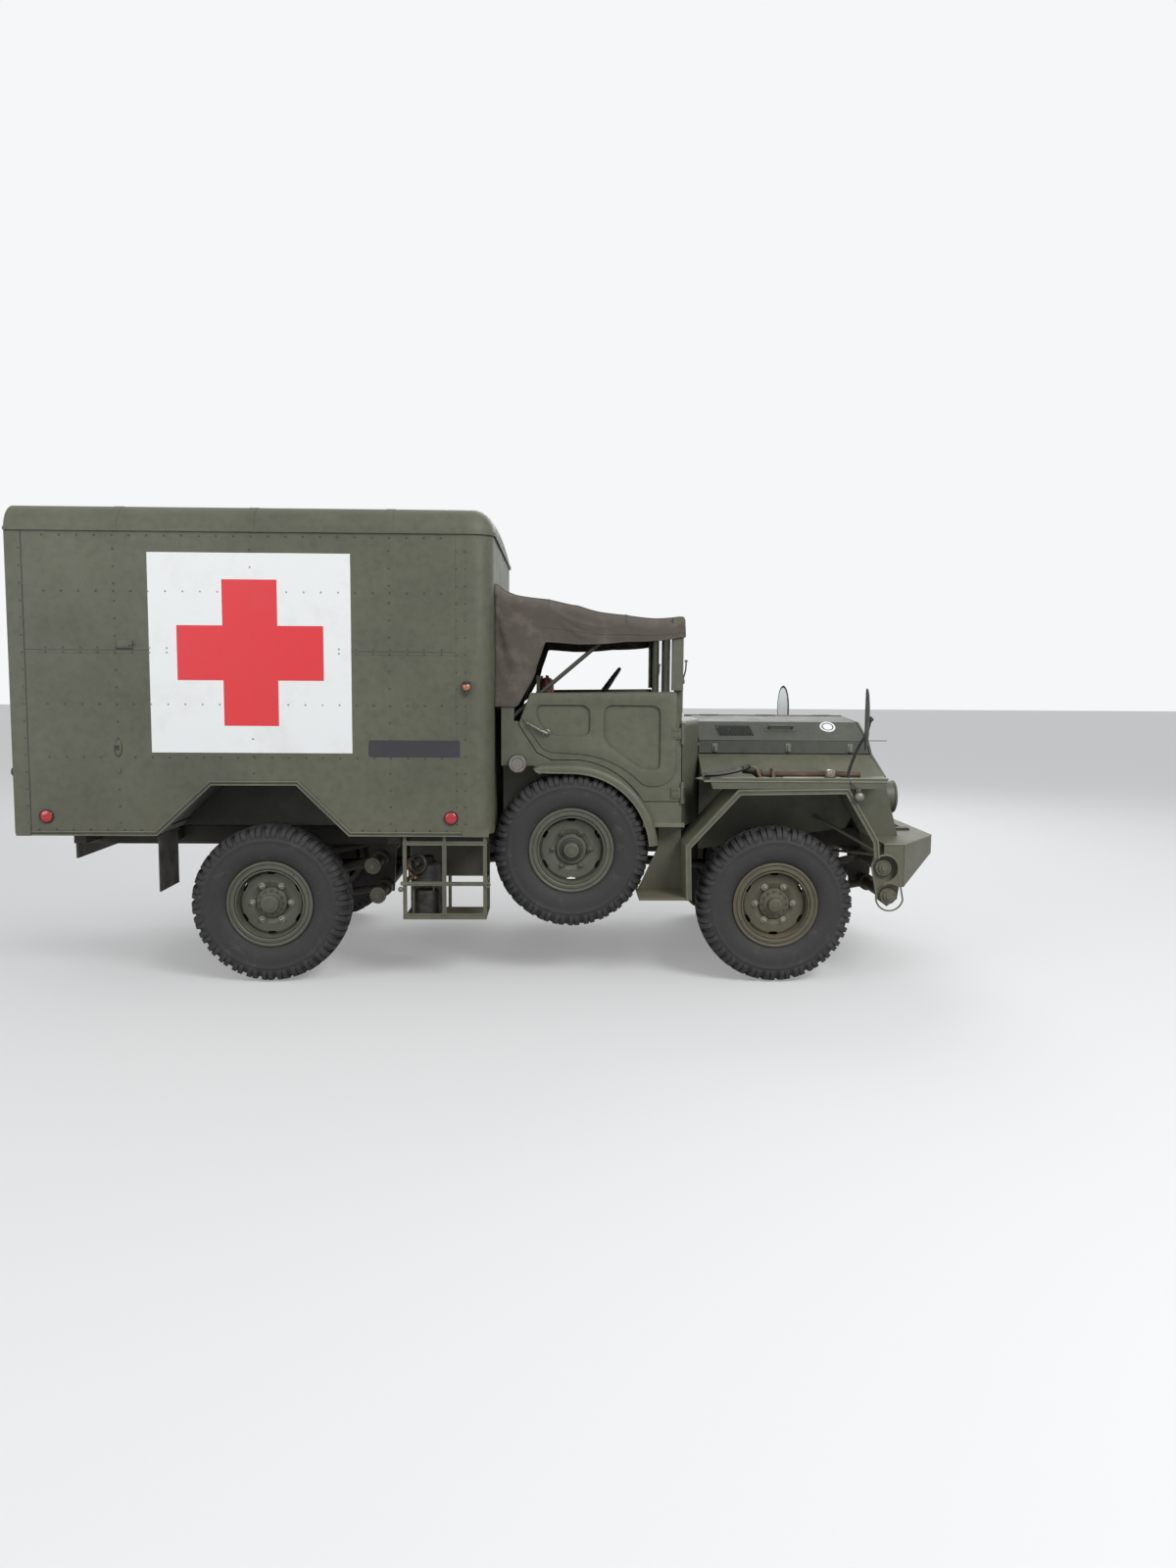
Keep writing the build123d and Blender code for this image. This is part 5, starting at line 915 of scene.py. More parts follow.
class AMBULANCE_OT_finishes(AmbulanceOperator, bpy.types.Operator):
    """Make every finish, and give the frame's own nodes theirs"""
    bl_idname = "ambulance.finishes"
    bl_label = "Finishes"

    def execute(self, context):
        s = self.settings()
        army_paint("army olive", s.body_colour, dustiness=0.30, mud_top=1.1)
        army_paint("bonnet olive", s.bonnet_colour, dust="#6E6C60", roughness=0.6, dustiness=0.3)
        army_paint("wheel olive", "#4C4E42", dust="#7C7565", dustiness=0.5, rust=0.10)
        army_paint("rusted wheel olive", "#4F4B3D", dust="#7D6A50", roughness=0.62, dustiness=0.6, rust=0.42)
        army_paint("underbody paint", s.under_colour, dust="#625B4C", roughness=0.62, dustiness=0.65, rust=0.22,
                   mud_top=0.9)
        army_paint("rivet olive", "#40423A", dust="#5A5747", roughness=0.6, dustiness=0.2)
        # Lighter copy of the body paint for beads, rolled edges and trim: a painted highlight where light catches
        # the edges
        army_paint("bright olive edge", "#646655", dust="#8A8470", roughness=0.45, dustiness=0.3)
        tyre_rubber("tyre rubber", "#1E1D1C")
        cotton_duck("canvas duck", s.canvas_colour)
        leathercloth("seat leathercloth", s.seat_colour)
        leathercloth("strap leather", "#6A5038")
        sign_enamel("marking white", s.white_colour)
        sign_enamel("marking red", s.red_colour, wear="#B4565A")
        sign_enamel("plate enamel", "#2A2A31", wear="#55534E")
        lens_plastic("red lens", "#B41420")
        lens_plastic("amber lens", "#B06A44")
        lens_plastic("wing lamp lens", "#8A7A6C")
        lens_plastic("headlamp glass", "#C9CFCC", pitch=0.012)
        window_glass("window glass")
        window_glass("clear lamp glass", "#E6ECEA", alpha=0.08)
        bare_metal("worn steel", "#7C7A74", roughness=0.48, tarnish="#4A3526", spread=0.7)
        bare_metal("dull zinc", "#9A988F", roughness=0.42, tarnish="#4F4A40")
        bare_metal("copper pipe", "#5F4331", roughness=0.55, tarnish="#3A2A20")
        bare_metal("cast iron", "#3E3D3A", roughness=0.6, tarnish="#2A2420", spread=0.8)
        bare_metal("mirror glass", "#D6DADA", roughness=0.06, spread=0.05)
        bare_metal("shovel steel", "#45443F", roughness=0.62, tarnish="#55504A", spread=0.8)
        weathered_ash("ash wood", "#54463A")
        weathered_ash("pale ash", "#B7AE9A")
        moulded_rubber("black rubber", "#1C1C1C")
        moulded_rubber("flap rubber", "#24231F", roughness=0.8)
        moulded_rubber("radiator core", "#191A18", roughness=0.55)
        for finish, names in NODE_FINISHES.items():
            material = bpy.data.materials[finish]
            for name in sorted({name.replace("*", side) for name in names.split() for side, _ in SIDES}):
                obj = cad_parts[name]
                for slot in obj.material_slots:
                    slot.material = material
                if not obj.material_slots:
                    obj.data.materials.append(material)
        return {"FINISHED"}


class AMBULANCE_OT_tyres(AmbulanceOperator, bpy.types.Operator):
    """Make the six lugged tyres"""
    bl_idname = "ambulance.tyres"
    bl_label = "Tyres"

    def execute(self, context):
        shape = tyre_shape(self.settings().lugs)
        for name, body, hub, out, spin in wheel_places():
            turn = facing(out) @ np.array(Matrix.Rotation(spin, 3, "Z"))
            piece(f"tyre_lugged_{name}", moved(shape, hub, turn), "tyre rubber", body, "tyre", f"tyre_{name}",
                  sharp=38)
        return {"FINISHED"}


class AMBULANCE_OT_wheel_fittings(AmbulanceOperator, bpy.types.Operator):
    """Make the lock rings, nuts, hub bolts and caps of the wheels"""
    bl_idname = "ambulance.wheel_fittings"
    bl_label = "Wheel fittings"

    def execute(self, context):
        for name, body, hub, out, _ in wheel_places():
            kind = name.split("_")[0]
            spare = kind == "spare"
            rings, nuts, small = wheel_fittings(kind)
            parts = (("wheel_rings", rings, "rusted wheel olive" if kind == "front" else "wheel olive"),
                     ("wheel_nuts", nuts, "wheel olive" if spare else "dull zinc"),
                     ("hub_ring", small, "black rubber" if spare else "rivet olive"))
            for group, shape, finish in parts:
                piece(f"{group}_{name}", moved(shape, hub, facing(out)), finish, body, "olive_paint")
        return {"FINISHED"}


# Seams of the body side: limits in X, limits in Z, how far it stands out, how deep it reaches in, its soft edge
WALL_HEIGHT = (834, 2468)
SEAM_LINES = (
    ((-2675, -2669), WALL_HEIGHT, 0.7, 2.0, 0.2),
    ((-2669, -340), (1838, 1842), 1.4, 3.0, 0.2),
)
SEAM_STRIPS = (
    ((-2752, -2675), WALL_HEIGHT, 1.5, 3.0, 0.6),
    ((-367, -313), (848, 2468), 1.5, 3.0, 0.6),
    ((-2669, -367), (1822, 1858), 1.2, 3.0, 0.6),
    ((-2755, -2675), (832, 878), 3.5, 5.0, 0.6),
    ((-340, -190), (832, 878), 3.5, 5.0, 0.6),
)


class AMBULANCE_OT_rivets(AmbulanceOperator, bpy.types.Operator):
    """Make the rivets, seam strips and corner plates of the body"""
    bl_idname = "ambulance.rivets"
    bl_label = "Rivets and seams"

    def execute(self, context):
        radius = self.settings().rivet_radius * 1000
        head = on_wall(dome(radius, radius * 0.42, 8, 2), 0.0)
        x, z = side_rivets().T
        square = in_square(x, z)
        cross = square & in_cross(x, z)
        for name, finish, chosen in (("body_rivets", "rivet olive", ~square),
                                     ("square_rivets", "dull zinc", square & ~cross),
                                     ("cross_rivets", "marking red", cross)):
            places = in_plane(np.column_stack([x, z])[chosen], -BODY_HALF - 1.4)
            paired(name, [repeated(head, places)], finish, "olive_paint")
        for name, rows, finish, slot in (("seam_lines", SEAM_LINES, *UNDERBODY),
                                         ("seam_strips", SEAM_STRIPS, *OLIVE)):
            paired(name, [side_sheet(rectangle(wide, high), *depths) for wide, high, *depths in rows], finish, slot)
        return {"FINISHED"}


class AMBULANCE_OT_markings(AmbulanceOperator, bpy.types.Operator):
    """Make the white squares, red crosses and blank plates"""
    bl_idname = "ambulance.markings"
    bl_label = "Markings"

    def execute(self, context):
        plate = rounded(494, 90, 8) + PLATE_PLACE
        paired("marking_square", [side_sheet(rectangle(*SQUARE), 1.6, 2.0, 0.3)], "marking white", "olive_paint")
        paired("marking_cross", [side_sheet(cross_outline(), 2.0, 2.4, 0.2)], "marking red", "red_lens")
        paired("side_plates", [side_sheet(plate, 3.0, 3.0, 0.8)], "plate enamel", "black")
        return {"FINISHED"}


class AMBULANCE_OT_canvas(AmbulanceOperator, bpy.types.Operator):
    """Make the cab's canvas, settle it as cloth over its hoops, and sew its hems and seams"""
    bl_idname = "ambulance.canvas"
    bl_label = "Canvas"

    def execute(self, context):
        rows, columns = 84, 112
        side = columns // 4
        grid = canvas_grid(rows, columns)
        made = grid_object("cab_canvas", grid, "canvas duck", "chassis", "canvas")
        x = grid[:, 0, 0]
        bow_rows = [int(np.argmin(np.abs(x - bow))) for bow in BOWS]
        held = np.zeros((rows, columns), bool)
        held[[0, -5, -1]] = True
        held[bow_rows, side - 2:columns - side + 2] = True
        held[x < 60, 0] = True
        held[x < 60, -1] = True
        cloth_settled(made, np.flatnonzero(held.ravel()), 26, cap=0.016)
        settled = vertex_places(made).reshape(rows, columns, 3)
        thick = made.modifiers.new("thickness", "SOLIDIFY")
        thick.thickness = self.settings().canvas_thick
        thick.offset = 0.0
        hem = fixed("canvas_hems", self.hems(settled, x, side, bow_rows[:2] + [rows - 4]), "canvas duck", "canvas")
        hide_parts("canvas_top")
        return {"FINISHED"}

    @staticmethod
    def hems(settled, x, side, seam_rows):
        """Cords of thread along the two hems, the seams beside them and those over the hoops."""
        hems = []
        for sign, hem, seam, top in ((-1, 0, int(side * 0.45), side + 1),
                                     (1, -1, -1 - int(side * 0.45), -side - 2)):
            hems.append(along(settled[:, hem] + (0, sign * 1.5, 4), 4.0, 6))
            hems.append(along(settled[x > 100, seam] + (0, sign * 1.6, 0), 2.2, 6))
            hems.append(along(settled[:, top] + (0, sign * 0.6, 1.6), 2.4, 6))
        for row in seam_rows:
            hems.append(along(settled[row, side - 1:settled.shape[1] - side + 1] + (0, 0, 1.2), 2.4, 6))
        return hems


# Cushions: X and Z of the middle, size, outline of the piping, and whether it stands up
CUSHIONS = {
    "seat": ((342, 1296), (362, 420, 84), (372, 426), False),
    "back": ((116, 1496), (420, 440, 64), (426, 446), True),
}
SEAT_HALF = 400.0


class AMBULANCE_OT_cushions(AmbulanceOperator, bpy.types.Operator):
    """Make the seat and back cushions, blown up as cloth, with their piped seams"""
    bl_idname = "ambulance.cushions"
    bl_label = "Cushions"

    def execute(self, context):
        for side, sign in SIDES:
            for name, ((x, z), size, outline, stands) in CUSHIONS.items():
                turn = facing((1, 0, 0)) if stands else np.eye(3)
                centre = (x, sign * SEAT_HALF, z)
                made = piece(f"{name}_cushion_{side}", cushion_shape(centre, size, turn), "seat leathercloth",
                             "chassis", "cushion")
                remesh = made.modifiers.new("even", "REMESH")
                remesh.mode = "VOXEL"
                remesh.voxel_size = 0.009
                bpy.context.view_layer.objects.active = made
                bpy.ops.object.modifier_apply(modifier=remesh.name)
                cloth_settled(made, [], 14, gravity=0.0, pressure=3.0, cap=0.007)
                made.data.shade_smooth()
                path = level(rounded(*outline, 34), 0.0) @ turn.T + centre
                fixed(f"{name}_piping_{side}", [along(path, 4.0, 8, closed=True)], "seat leathercloth", "cushion")
                if (name, side) == ("seat", "right"):
                    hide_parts("seat_cushions")
        return {"FINISHED"}


# Fittings of the body, in drawing millimetres
BODY_REAR = -2760.0
SEAM_REAR = -2668.0
SEAM_FRONT = -340.0
TRIM_FOOT = 835.0
TRIM_LINE = [(SEAM_REAR, TRIM_FOOT), (-1992.0, TRIM_FOOT), (-1694.0, 1112.0), (-1236.0, 1113.0),
             (-954.0, TRIM_FOOT), (SEAM_FRONT, TRIM_FOOT)]
LATCH_PLACE = (-2140.0, 1872.0)
LOCK_PLACE = (-2191.0, 1314.0)
REFLECTOR_PLACES = ((-2587.0, 940.0), (-397.0, 937.0))
TAIL_LAMP_PLACE = (BODY_REAR, -1014.0, 1180.0)
MARKER_PLACE = (-309.0, 1654.0)
WING_LAMP_PLACE = (1700.0, -980.0, 1150.0)
REAR_WINDOW = (491.25, 2015.0, 440.0, 330.0)
REAR_DOOR_EDGE = [(-974, 902), (-9, 902), (-9, 2419), (-974, 2419)]
LOCK_BAR_Y = 62.5
REAR_HINGE_Z = (1000.0, 1426.7, 1853.3, 2280.0)
REAR_RIVET_Y = (-1027.0, -999.0)
ROOF_RIB_X = (-2190.0, -1465.0, -725.0)
ROOF_RIB_SECTION = [(-23, -2), (-23, 2), (-18, 3.2), (18, 3.2), (23, 2), (23, -2)]


class AMBULANCE_OT_body_fittings(AmbulanceOperator, bpy.types.Operator):
    """Make the body's latch and lock plates with painted shade at the keyhole and under them, the side lamps,
    reflectors, and the trim lines with painted highlights on its beads and painted shade in its channel
    """
    bl_idname = "ambulance.body_fittings"
    bl_label = "Body fittings"

    def execute(self, context):
        wall = -BODY_HALF
        x, z = LATCH_PLACE
        latch = [on_wall(slab(rounded(84, 46, 5), 0, 9, 2.5), wall, x, z),
                 on_wall(slab(rounded(66, 30, 4), 9, 12, 1.5), wall, x - 4, z),
                 on_wall(disc(9, 24, 3, 16), wall, x + 38, z)]
        # Dark strip just under the latch: a painted shadow line
        gap = on_wall(slab(rounded(92, 10, 2), 0, 3, 0.5), wall, x, z - 24)
        x, z = LOCK_PLACE
        oval = circle(1.0, 28) * (20, 44)
        lock = [on_wall(slab(oval, 0, 7, 3), wall, x, z), on_wall(slab(oval * 0.82, 7, 9, 2), wall, x, z),
                on_wall(slab(circle(1.0, 20) * (11, 17), 0, 5, 2), wall, x, z - 124)]
        # Black keyhole square, and a black oval a little larger than the lock plate set 2 mm lower: painted shade in
        # the keyhole and a painted shadow round the plate
        holes = [on_wall(slab(rounded(23, 27, 2), 8, 9.6, 0.4), wall, x - 3, z),
                 on_wall(slab(oval * 1.10, 0, 1.4, 0.5), wall, x, z - 2), gap]
        paired("side_latches", latch + lock, *OLIVE)
        paired("lock_latch_painted_shade", holes, *RUBBER)
        # The beads along the trim and the block at its rear foot are in the lighter olive: painted highlights on the
        # trim's edges
        beads = [along(in_plane(parallel(TRIM_LINE, distance), wall - 10.5), 3.4, 8) for distance in (3, 22)]
        beads.append(bar((SEAM_REAR, -2620), (wall - 9.5, wall + 1), (TRIM_FOOT, 860)))
        paired("trim_beads", beads, *HIGHLIGHT_EDGE)
        # Dark strip between the trim's beads: painted shade in the channel
        trim_shade_line = along(in_plane(parallel(TRIM_LINE, 12.5), wall - 8.0), 4.4, 6)
        paired("trim_painted_shade", [trim_shade_line], *UNDERBODY)
        self.lamps(wall)
        return {"FINISHED"}

    @staticmethod
    def lamps(wall):
        """Red reflectors and tail lamps, amber side markers, and the clear lamps on the wings."""
        lenses = [on_wall(dome(33, 7, 40, 5), wall - 8, x, z) for x, z in REFLECTOR_PLACES]
        rims = [on_wall(shape, wall, x, z) for x, z in REFLECTOR_PLACES for shape in (bezel(32, 6, 13), disc(34, 8))]
        x, y, z = TAIL_LAMP_PLACE
        lenses.append(on_rear(dome(19, 9, 32, 5), x - 9, y, z))
        rims += [on_rear(bezel(18, 5, 13), x, y, z), on_rear(disc(20, 9), x, y, z)]
        paired("red_lenses", lenses, "red lens", "red_lens", replaces="reflectors")
        paired("red_lens_rims", rims, *RUBBER)
        x, z = MARKER_PLACE
        marker = on_wall(lathe([(0.01, 36), (9, 35.5), (17, 33), (21, 28), (22.5, 20), (22.5, 6)], 32), wall, x, z)
        bases = [on_wall(bezel(21, 4, 8, 32), wall, x, z),
                 moved(slab(circle(21, 24), 0, 12, 5), (x, wall - 21, z + 18)),
                 moved(slab(circle(13, 20), 0, 18, 4), (x, wall - 16, z - 40)),
                 moved(slab(circle(30, 32), 0, 22, 3), WING_LAMP_PLACE)]
        glass = moved(lathe([(0.01, 60), (14, 59), (23, 54), (27, 46), (28, 34), (28, 20)], 32), WING_LAMP_PLACE)
        paired("amber_lenses", [marker], "amber lens", "amber_lens", replaces="marker_lamps")
        paired("wing_lamp_glasses", [glass], "wing lamp lens", "glass")
        paired("amber_lens_bases", bases, *RUBBER)


class AMBULANCE_OT_rear_fittings(AmbulanceOperator, bpy.types.Operator):
    """Make the rear doors' gaskets, seals, straps and keepers, and the roof's ribs"""
    bl_idname = "ambulance.rear_fittings"
    bl_label = "Rear and roof fittings"

    def execute(self, context):
        y, z, wide, high = REAR_WINDOW
        pane = at_station(BODY_REAR - 1.0, rounded(wide, high, 40) + (-y, z))
        sided("window_gasket", [along(pane, 8.0, 8, closed=True)], "black rubber", "rear_door", "rubber")
        edge = at_station(BODY_REAR - 0.5, eased(REAR_DOOR_EDGE, 12))
        sided("door_seal", [along(edge, 3.6, 6, closed=True)], "black rubber", "rear_door", "rubber")
        hardware = [on_rear(bolt(6, 4), BODY_REAR - 13.0, y, z + rise)
                    for z in REAR_HINGE_Z for y in (-962, -926, -905) for rise in (-17, 17)]
        hardware += [on_rear(slab(rounded(54, 40, 6), 0, 6, 2), BODY_REAR, -LOCK_BAR_Y, z) for z in (915, 2405)]
        hardware.append(along([(BODY_REAR - 30, -LOCK_BAR_Y - reach, 1500) for reach in (60, 168)], 12.0, 16))
        hardware.append(on_rear(slab(circle(26, 24), 0, 14, 4), BODY_REAR, -LOCK_BAR_Y, 1500))
        sided("door_hardware", hardware, "army olive", "rear_door", "olive_paint")
        spots = at_station(BODY_REAR, [(y, z) for y in REAR_RIVET_Y for z in np.arange(905, 2430, RIVET_PITCH)])
        head = on_rear(dome(5.8, 2.4, 8, 2), 0, 0, 0)
        paired("rear_rivets", [repeated(head, spots)], *OLIVE)
        fixed("roof_ribs", [self.rib(x) for x in ROOF_RIB_X], *OLIVE)
        return {"FINISHED"}

    @staticmethod
    def rib(x):
        """Flat strip over the roof at one station: the roof's section, a straight wall, a quarter round of 140 and
        the crown's arc through (900, 2615) and (0, 2650), swept by a strip 46 wide and 3 high."""
        corner = arc((-900.0, 2475.0), 140.0, 180.0, 92.0, 12)
        across = np.linspace(-890.0, 890.0, 25)
        crown = np.column_stack([across, 2650.0 - 35.0 * (across / 900.0) ** 2])
        half = np.vstack([[(-BODY_HALF, 2476.0)], corner])
        return swept(at_station(x, np.vstack([half, crown, half[::-1] * (-1, 1)])), ROOF_RIB_SECTION, (1, 0, 0))


# Cab fittings
DOOR_SKIN = -880.0
SPARE_HUB = HUBS["spare"][::2]
PLATEAU_BELLY = 548.0
DOOR_POCKETS = (
    [(64, 1560), (369, 1560), (369, 1378), (140, 1378), (64, 1478)],
    [(440, 1560), (764, 1560), (764, 1192), (662, 1192), (440, 1354)],
)
LEVER_PIVOT = (124.0, 1398.0)
DOOR_HINGE = (886.0, -890.0)
DOOR_HINGE_Z = (1400.0, 1066.0)
FILLER_PLACE = (-38.0, -920.0, 1229.0)
FILLER_CAP = [(0.01, 5), (12, 5), (14, 3), (30, 3), (34, 7), (47, 7), (51, 3), (53, -6), (53, -34)]
STEERING_CENTRE = np.array((470.0, 400.0, 1600.0))
STEERING_FOOT = np.array((1010.0, 400.0, 1208.0))
STEERING_RADIUS = 210.0
SCREEN_PANE = ((23.0, 795.0), (1515.0, 1996.0))
SCREEN_FACES = (850.0, 885.0)
# Guard over the spare wheel: section of its rolled lip, and where its edge and its bead run on behind the arc
GUARD_LIP = [(0, 6), (22, 5), (38, 0), (47, -10), (50, -24), (49, -44), (44, -46), (43, -25), (39, -13), (32, -5),
             (20, -1), (0, 0)]
GUARD_TAIL = [(200, 1221), (140, 1221), (90, 1218), (60, 1208), (50, 1196)]
BEAD_TAIL = [(200, 1177), (140, 1178), (90, 1180), (62, 1184)]
# Dash: Y, Z and radius of each dial, and Y of each switch
DASH_X = 825.0
DIALS = ((400, 1402, 52), (290, 1400, 34), (510, 1400, 34), (205, 1400, 24))
SWITCH_Y = (120, 160, 200, 560, 600)
GEAR_LEVERS = ((60, 1390), (-60, 1300))
PEDAL_Y = (300, 400, 500)


def door_plateau():
    """Outline of the door's raised middle: its top and front edge, a round toe and the belly about the spare."""
    toe = arc((734.0, 1216.0), 115.0, 0.0, -90.0, 10)
    belly = arc(SPARE_HUB, PLATEAU_BELLY, 44.0, 88.0, 18)
    heel = smooth_path([(150, 1291), (104, 1312), (60, 1368), (-10, 1472), (-14, 1494)], 4)
    return np.vstack([[(37, 1615)], [(849, 1625)], toe, [(694, 1103)], belly, heel])


class AMBULANCE_OT_door_skins(AmbulanceOperator, bpy.types.Operator):
    """Make the cab doors' pressed skins, levers, hinge pins and bolts"""
    bl_idname = "ambulance.door_skins"
    bl_label = "Cab door skins"

    def execute(self, context):
        pockets = [eased(points, 58, 8) for points in DOOR_POCKETS]
        skin = on_wall(pressed(door_plateau(), pockets, 9.0, 2.6), DOOR_SKIN - 2.5)
        beads = [along(in_plane(points, DOOR_SKIN - 5.2), 3.0, 8, closed=True) for points in pockets]
        sided("door_skin", [skin] + beads, "army olive", "cab_door", "olive_paint")
        x, z = LEVER_PIVOT
        lever = along([(x, -906, z), (90, -907, 1414), (40, -905, 1441), (14, -902, 1456)], [9, 9, 8, 6], 12)
        boss = on_wall(lathe([(0.01, 26), (10, 25), (14, 20), (17, 8), (22, 5), (22, 0)], 28), DOOR_SKIN - 4, x, z)
        sided("door_lever", [lever, boss], "worn steel", "cab_door", "olive_paint")
        x, y = DOOR_HINGE
        pins = []
        for z in DOOR_HINGE_Z:
            pins.append(moved(dome(10.5, 8, 16, 3), (x, y, z + 30)))
            pins += [on_wall(bolt(6, 5), y - 1, x - back, z + rise) for rise in (-16, 16) for back in (24, 44)]
        sided("door_hinge_pins", pins, "army olive", "cab_door", "olive_paint")
        return {"FINISHED"}


class AMBULANCE_OT_cab_fittings(AmbulanceOperator, bpy.types.Operator):
    """Make the guards' rolled edges, the filler caps, windscreen gaskets, wipers and instruments"""
    bl_idname = "ambulance.cab_fittings"
    bl_label = "Cab fittings"

    def execute(self, context):
        x, y, z = FILLER_PLACE
        paired("filler_caps", [on_wall(lathe(FILLER_CAP, 48), y, x, z)], "worn steel", "olive_paint")
        edge = in_plane(np.vstack([arc(SPARE_HUB, 486.0, 4.0, 90.0, 40), GUARD_TAIL]), -864.0)
        lip = swept(edge, [(-a, -b) for a, b in GUARD_LIP], (0, 1, 0))
        paired("guard_lips", [lip], *OLIVE)
        # The guard's bead and the sill strips are in the lighter olive: painted highlights on their edges
        bead = in_plane(np.vstack([arc(SPARE_HUB, 441.0, 4.0, 90.0, 40), BEAD_TAIL]), -911.0)
        paired("guard_beads", [along(bead, 5.0, 8)], *HIGHLIGHT_EDGE)
        sill = on_wall(slab(rectangle((668, 903), (870, 895)), 0, 6, 2), -881)
        paired("sill_strips", [sill], *HIGHLIGHT_EDGE)
        self.windscreen()
        self.instruments()
        self.controls()
        return {"FINISHED"}

    @staticmethod
    def windscreen():
        """Gaskets before and behind each pane, the wipers, and the stays at the frame's sides."""
        (low_y, high_y), (low_z, high_z) = SCREEN_PANE
        back, front = SCREEN_FACES
        outline = rounded(high_y - low_y, high_z - low_z, 22) + (-(low_y + high_y) / 2, (low_z + high_z) / 2)
        gaskets = [along(at_station(x, outline), 7.0, 8, closed=True) for x in (front + 1, back - 1)]
        paired("screen_gaskets", gaskets, *RUBBER)
        wiper = [along([(900, -250, 1560), (903, -520, 1760)], 4.0, 8),
                 along([(893, -420, 1500), (906, -410, 1540), (904, -390, 1660)], 4.0, 8),
                 on_front(slab(circle(16, 20), 0, 20, 5), front - 1, -420, 1500)]
        paired("wipers", wiper, "black rubber", "black")
        top = (902, -862, 1800)
        stay = [along([(front - 1, -846, 1690), (900, -856, 1752), top], 4.5, 8), moved(dome(11, 12, 16, 4), top),
                on_front(slab(circle(13, 16), 0, 12, 3), front - 1, -846, 1690)]
        paired("screen_stays", stay, *OLIVE)

    @staticmethod
    def instruments():
        """Dials on the dash with blank faces, and switches."""
        rims = [on_rear(bezel(r, 6, 10), DASH_X, y, z) for y, z, r in DIALS]
        faces = [on_rear(disc(r, 3), DASH_X, y, z) for y, z, r in DIALS]
        needles = [on_rear(slab([(-2, -6), (2, -6), (1, r * 0.75), (-1, r * 0.75)], 3.5, 4.5, 0.3), DASH_X, y, z)
                   for y, z, r in DIALS]
        knob = lathe([(0.01, 26), (8, 25), (11, 20), (8, 8), (8, 0)], 20)
        fixed("dial_rims", rims + [on_rear(knob, DASH_X, y, 1362) for y in SWITCH_Y], "black rubber", "black")
        fixed("dial_faces", faces, "plate enamel", "black")
        fixed("dial_needles", needles, "marking white", "black")

    @staticmethod
    def controls():
        """The two gear levers with grips and boots, and the three pedals."""
        boot = lathe([(10, 120), (16, 90), (24, 84), (22, 60), (34, 54), (32, 26), (52, 18), (56, 0)], 32)
        metal = []
        for y, top in GEAR_LEVERS:
            path = smooth_path([(560, y, 910), (566, y, 1050), (545, y - 8, 1200), (520, y - 10, top)], 8)
            metal.append(along(path, 8.0, 10))
        for y in PEDAL_Y:
            metal.append(along([(950, y, 1150), (900, y, 1010)], 8.0, 8))
            metal.append(moved(slab(rounded(80, 60, 12), 0, 9, 3), (896, y, 1000), facing((-0.8, 0, 0.6))))
        grips = [moved(dome(20, 24, 24, 5), (520, y - 10, top - 4)) for y, top in GEAR_LEVERS]
        boots = [moved(boot, (560, y, 890)) for y, _ in GEAR_LEVERS]
        fixed("gear_levers", metal, "worn steel", "black")
        fixed("lever_grips", grips + boots, *RUBBER)


class AMBULANCE_OT_steering_wheel(AmbulanceOperator, bpy.types.Operator):
    """Make the smooth steering wheel with its finger grips, spokes and boss"""
    bl_idname = "ambulance.steering_wheel"
    bl_label = "Steering wheel"

    def execute(self, context):
        turn = facing(STEERING_CENTRE - STEERING_FOOT, (0, 1, 0))
        a = np.linspace(0, 2 * math.pi, 144, endpoint=False)
        grip = 11.0 - 1.2 * np.maximum(0, np.sin(a * 36))
        wheel = [along(level(circle(STEERING_RADIUS, 144), 0.0), grip, 14, closed=True)]
        run = np.array([(30, -14), (90, -13), (150, -8), (205, 0)], float)
        for spoke in np.radians((90, 210, 330)):
            path = np.column_stack([np.outer(run[:, 0], (math.cos(spoke), math.sin(spoke))), run[:, 1]])
            wheel.append(along(smooth_path(path, 5), 7.0, 10))
        wheel.append(lathe([(0.01, 14), (14, 13), (22, 9), (24, 4), (34, 1), (38, -6), (38, -28), (30, -34)], 40))
        piece("steering_wheel_rim", moved(joined(wheel), STEERING_CENTRE, turn), "black rubber", "steering_wheel",
              "black", "steering_wheel")
        return {"FINISHED"}


# Bonnet, nose, wings and bumper
SHOULDER_NORMAL = np.array((0.0, -0.6, 0.8))
BONNET_DISC = (1816.0, -397.0, 1422.0)
BONNET_EDGE = (500.0, 1345.0)
GRIP_PLACE = (1525.0, 1408.0)
SHOULDER_RUN = 140 / 105
CATCH_X = (1120.0, 1560.0, 1930.0)
LAMP_PLACE = (2164.6, -480.0, 1010.0)
LAMP_BOWL = [(0.01, -110), (46, -108), (70, -90), (94, -50), (94.5, 0), (94.5, 26)]
LAMP_BEZEL = [(80, 26), (95, 24), (99, 30), (97, 38), (88, 43), (80, 38)]
LAMP_REFLECTOR = [(83, 34), (70, 8), (48, -14), (22, -26), (0.01, -29)]
LAMP_BULB = [(0.01, 8), (7, 6), (9, 0), (7, -8), (8, -26)]
NOSE_LEAN = 178.0 / 665.0
GRILLE_SLOTS = 13
GRILLE_HALF = 330.0
WING_LINE = [(903.0, 481.0), (896.0, 785.0), (1183.0, 1096.0), (1790.0, 1106.0), (1962.0, 819.0), (1972.0, 722.0)]
WING_FACE = -1040.0
SHELF_TOP = 1150.0
SHELF_FRONT = 2008.0
SHOVEL_Y = -900.0
BUMPER_SIDE = -1001.0
BUMPER_TOP = 792.0
BUMPER_FRONT = 2404.0
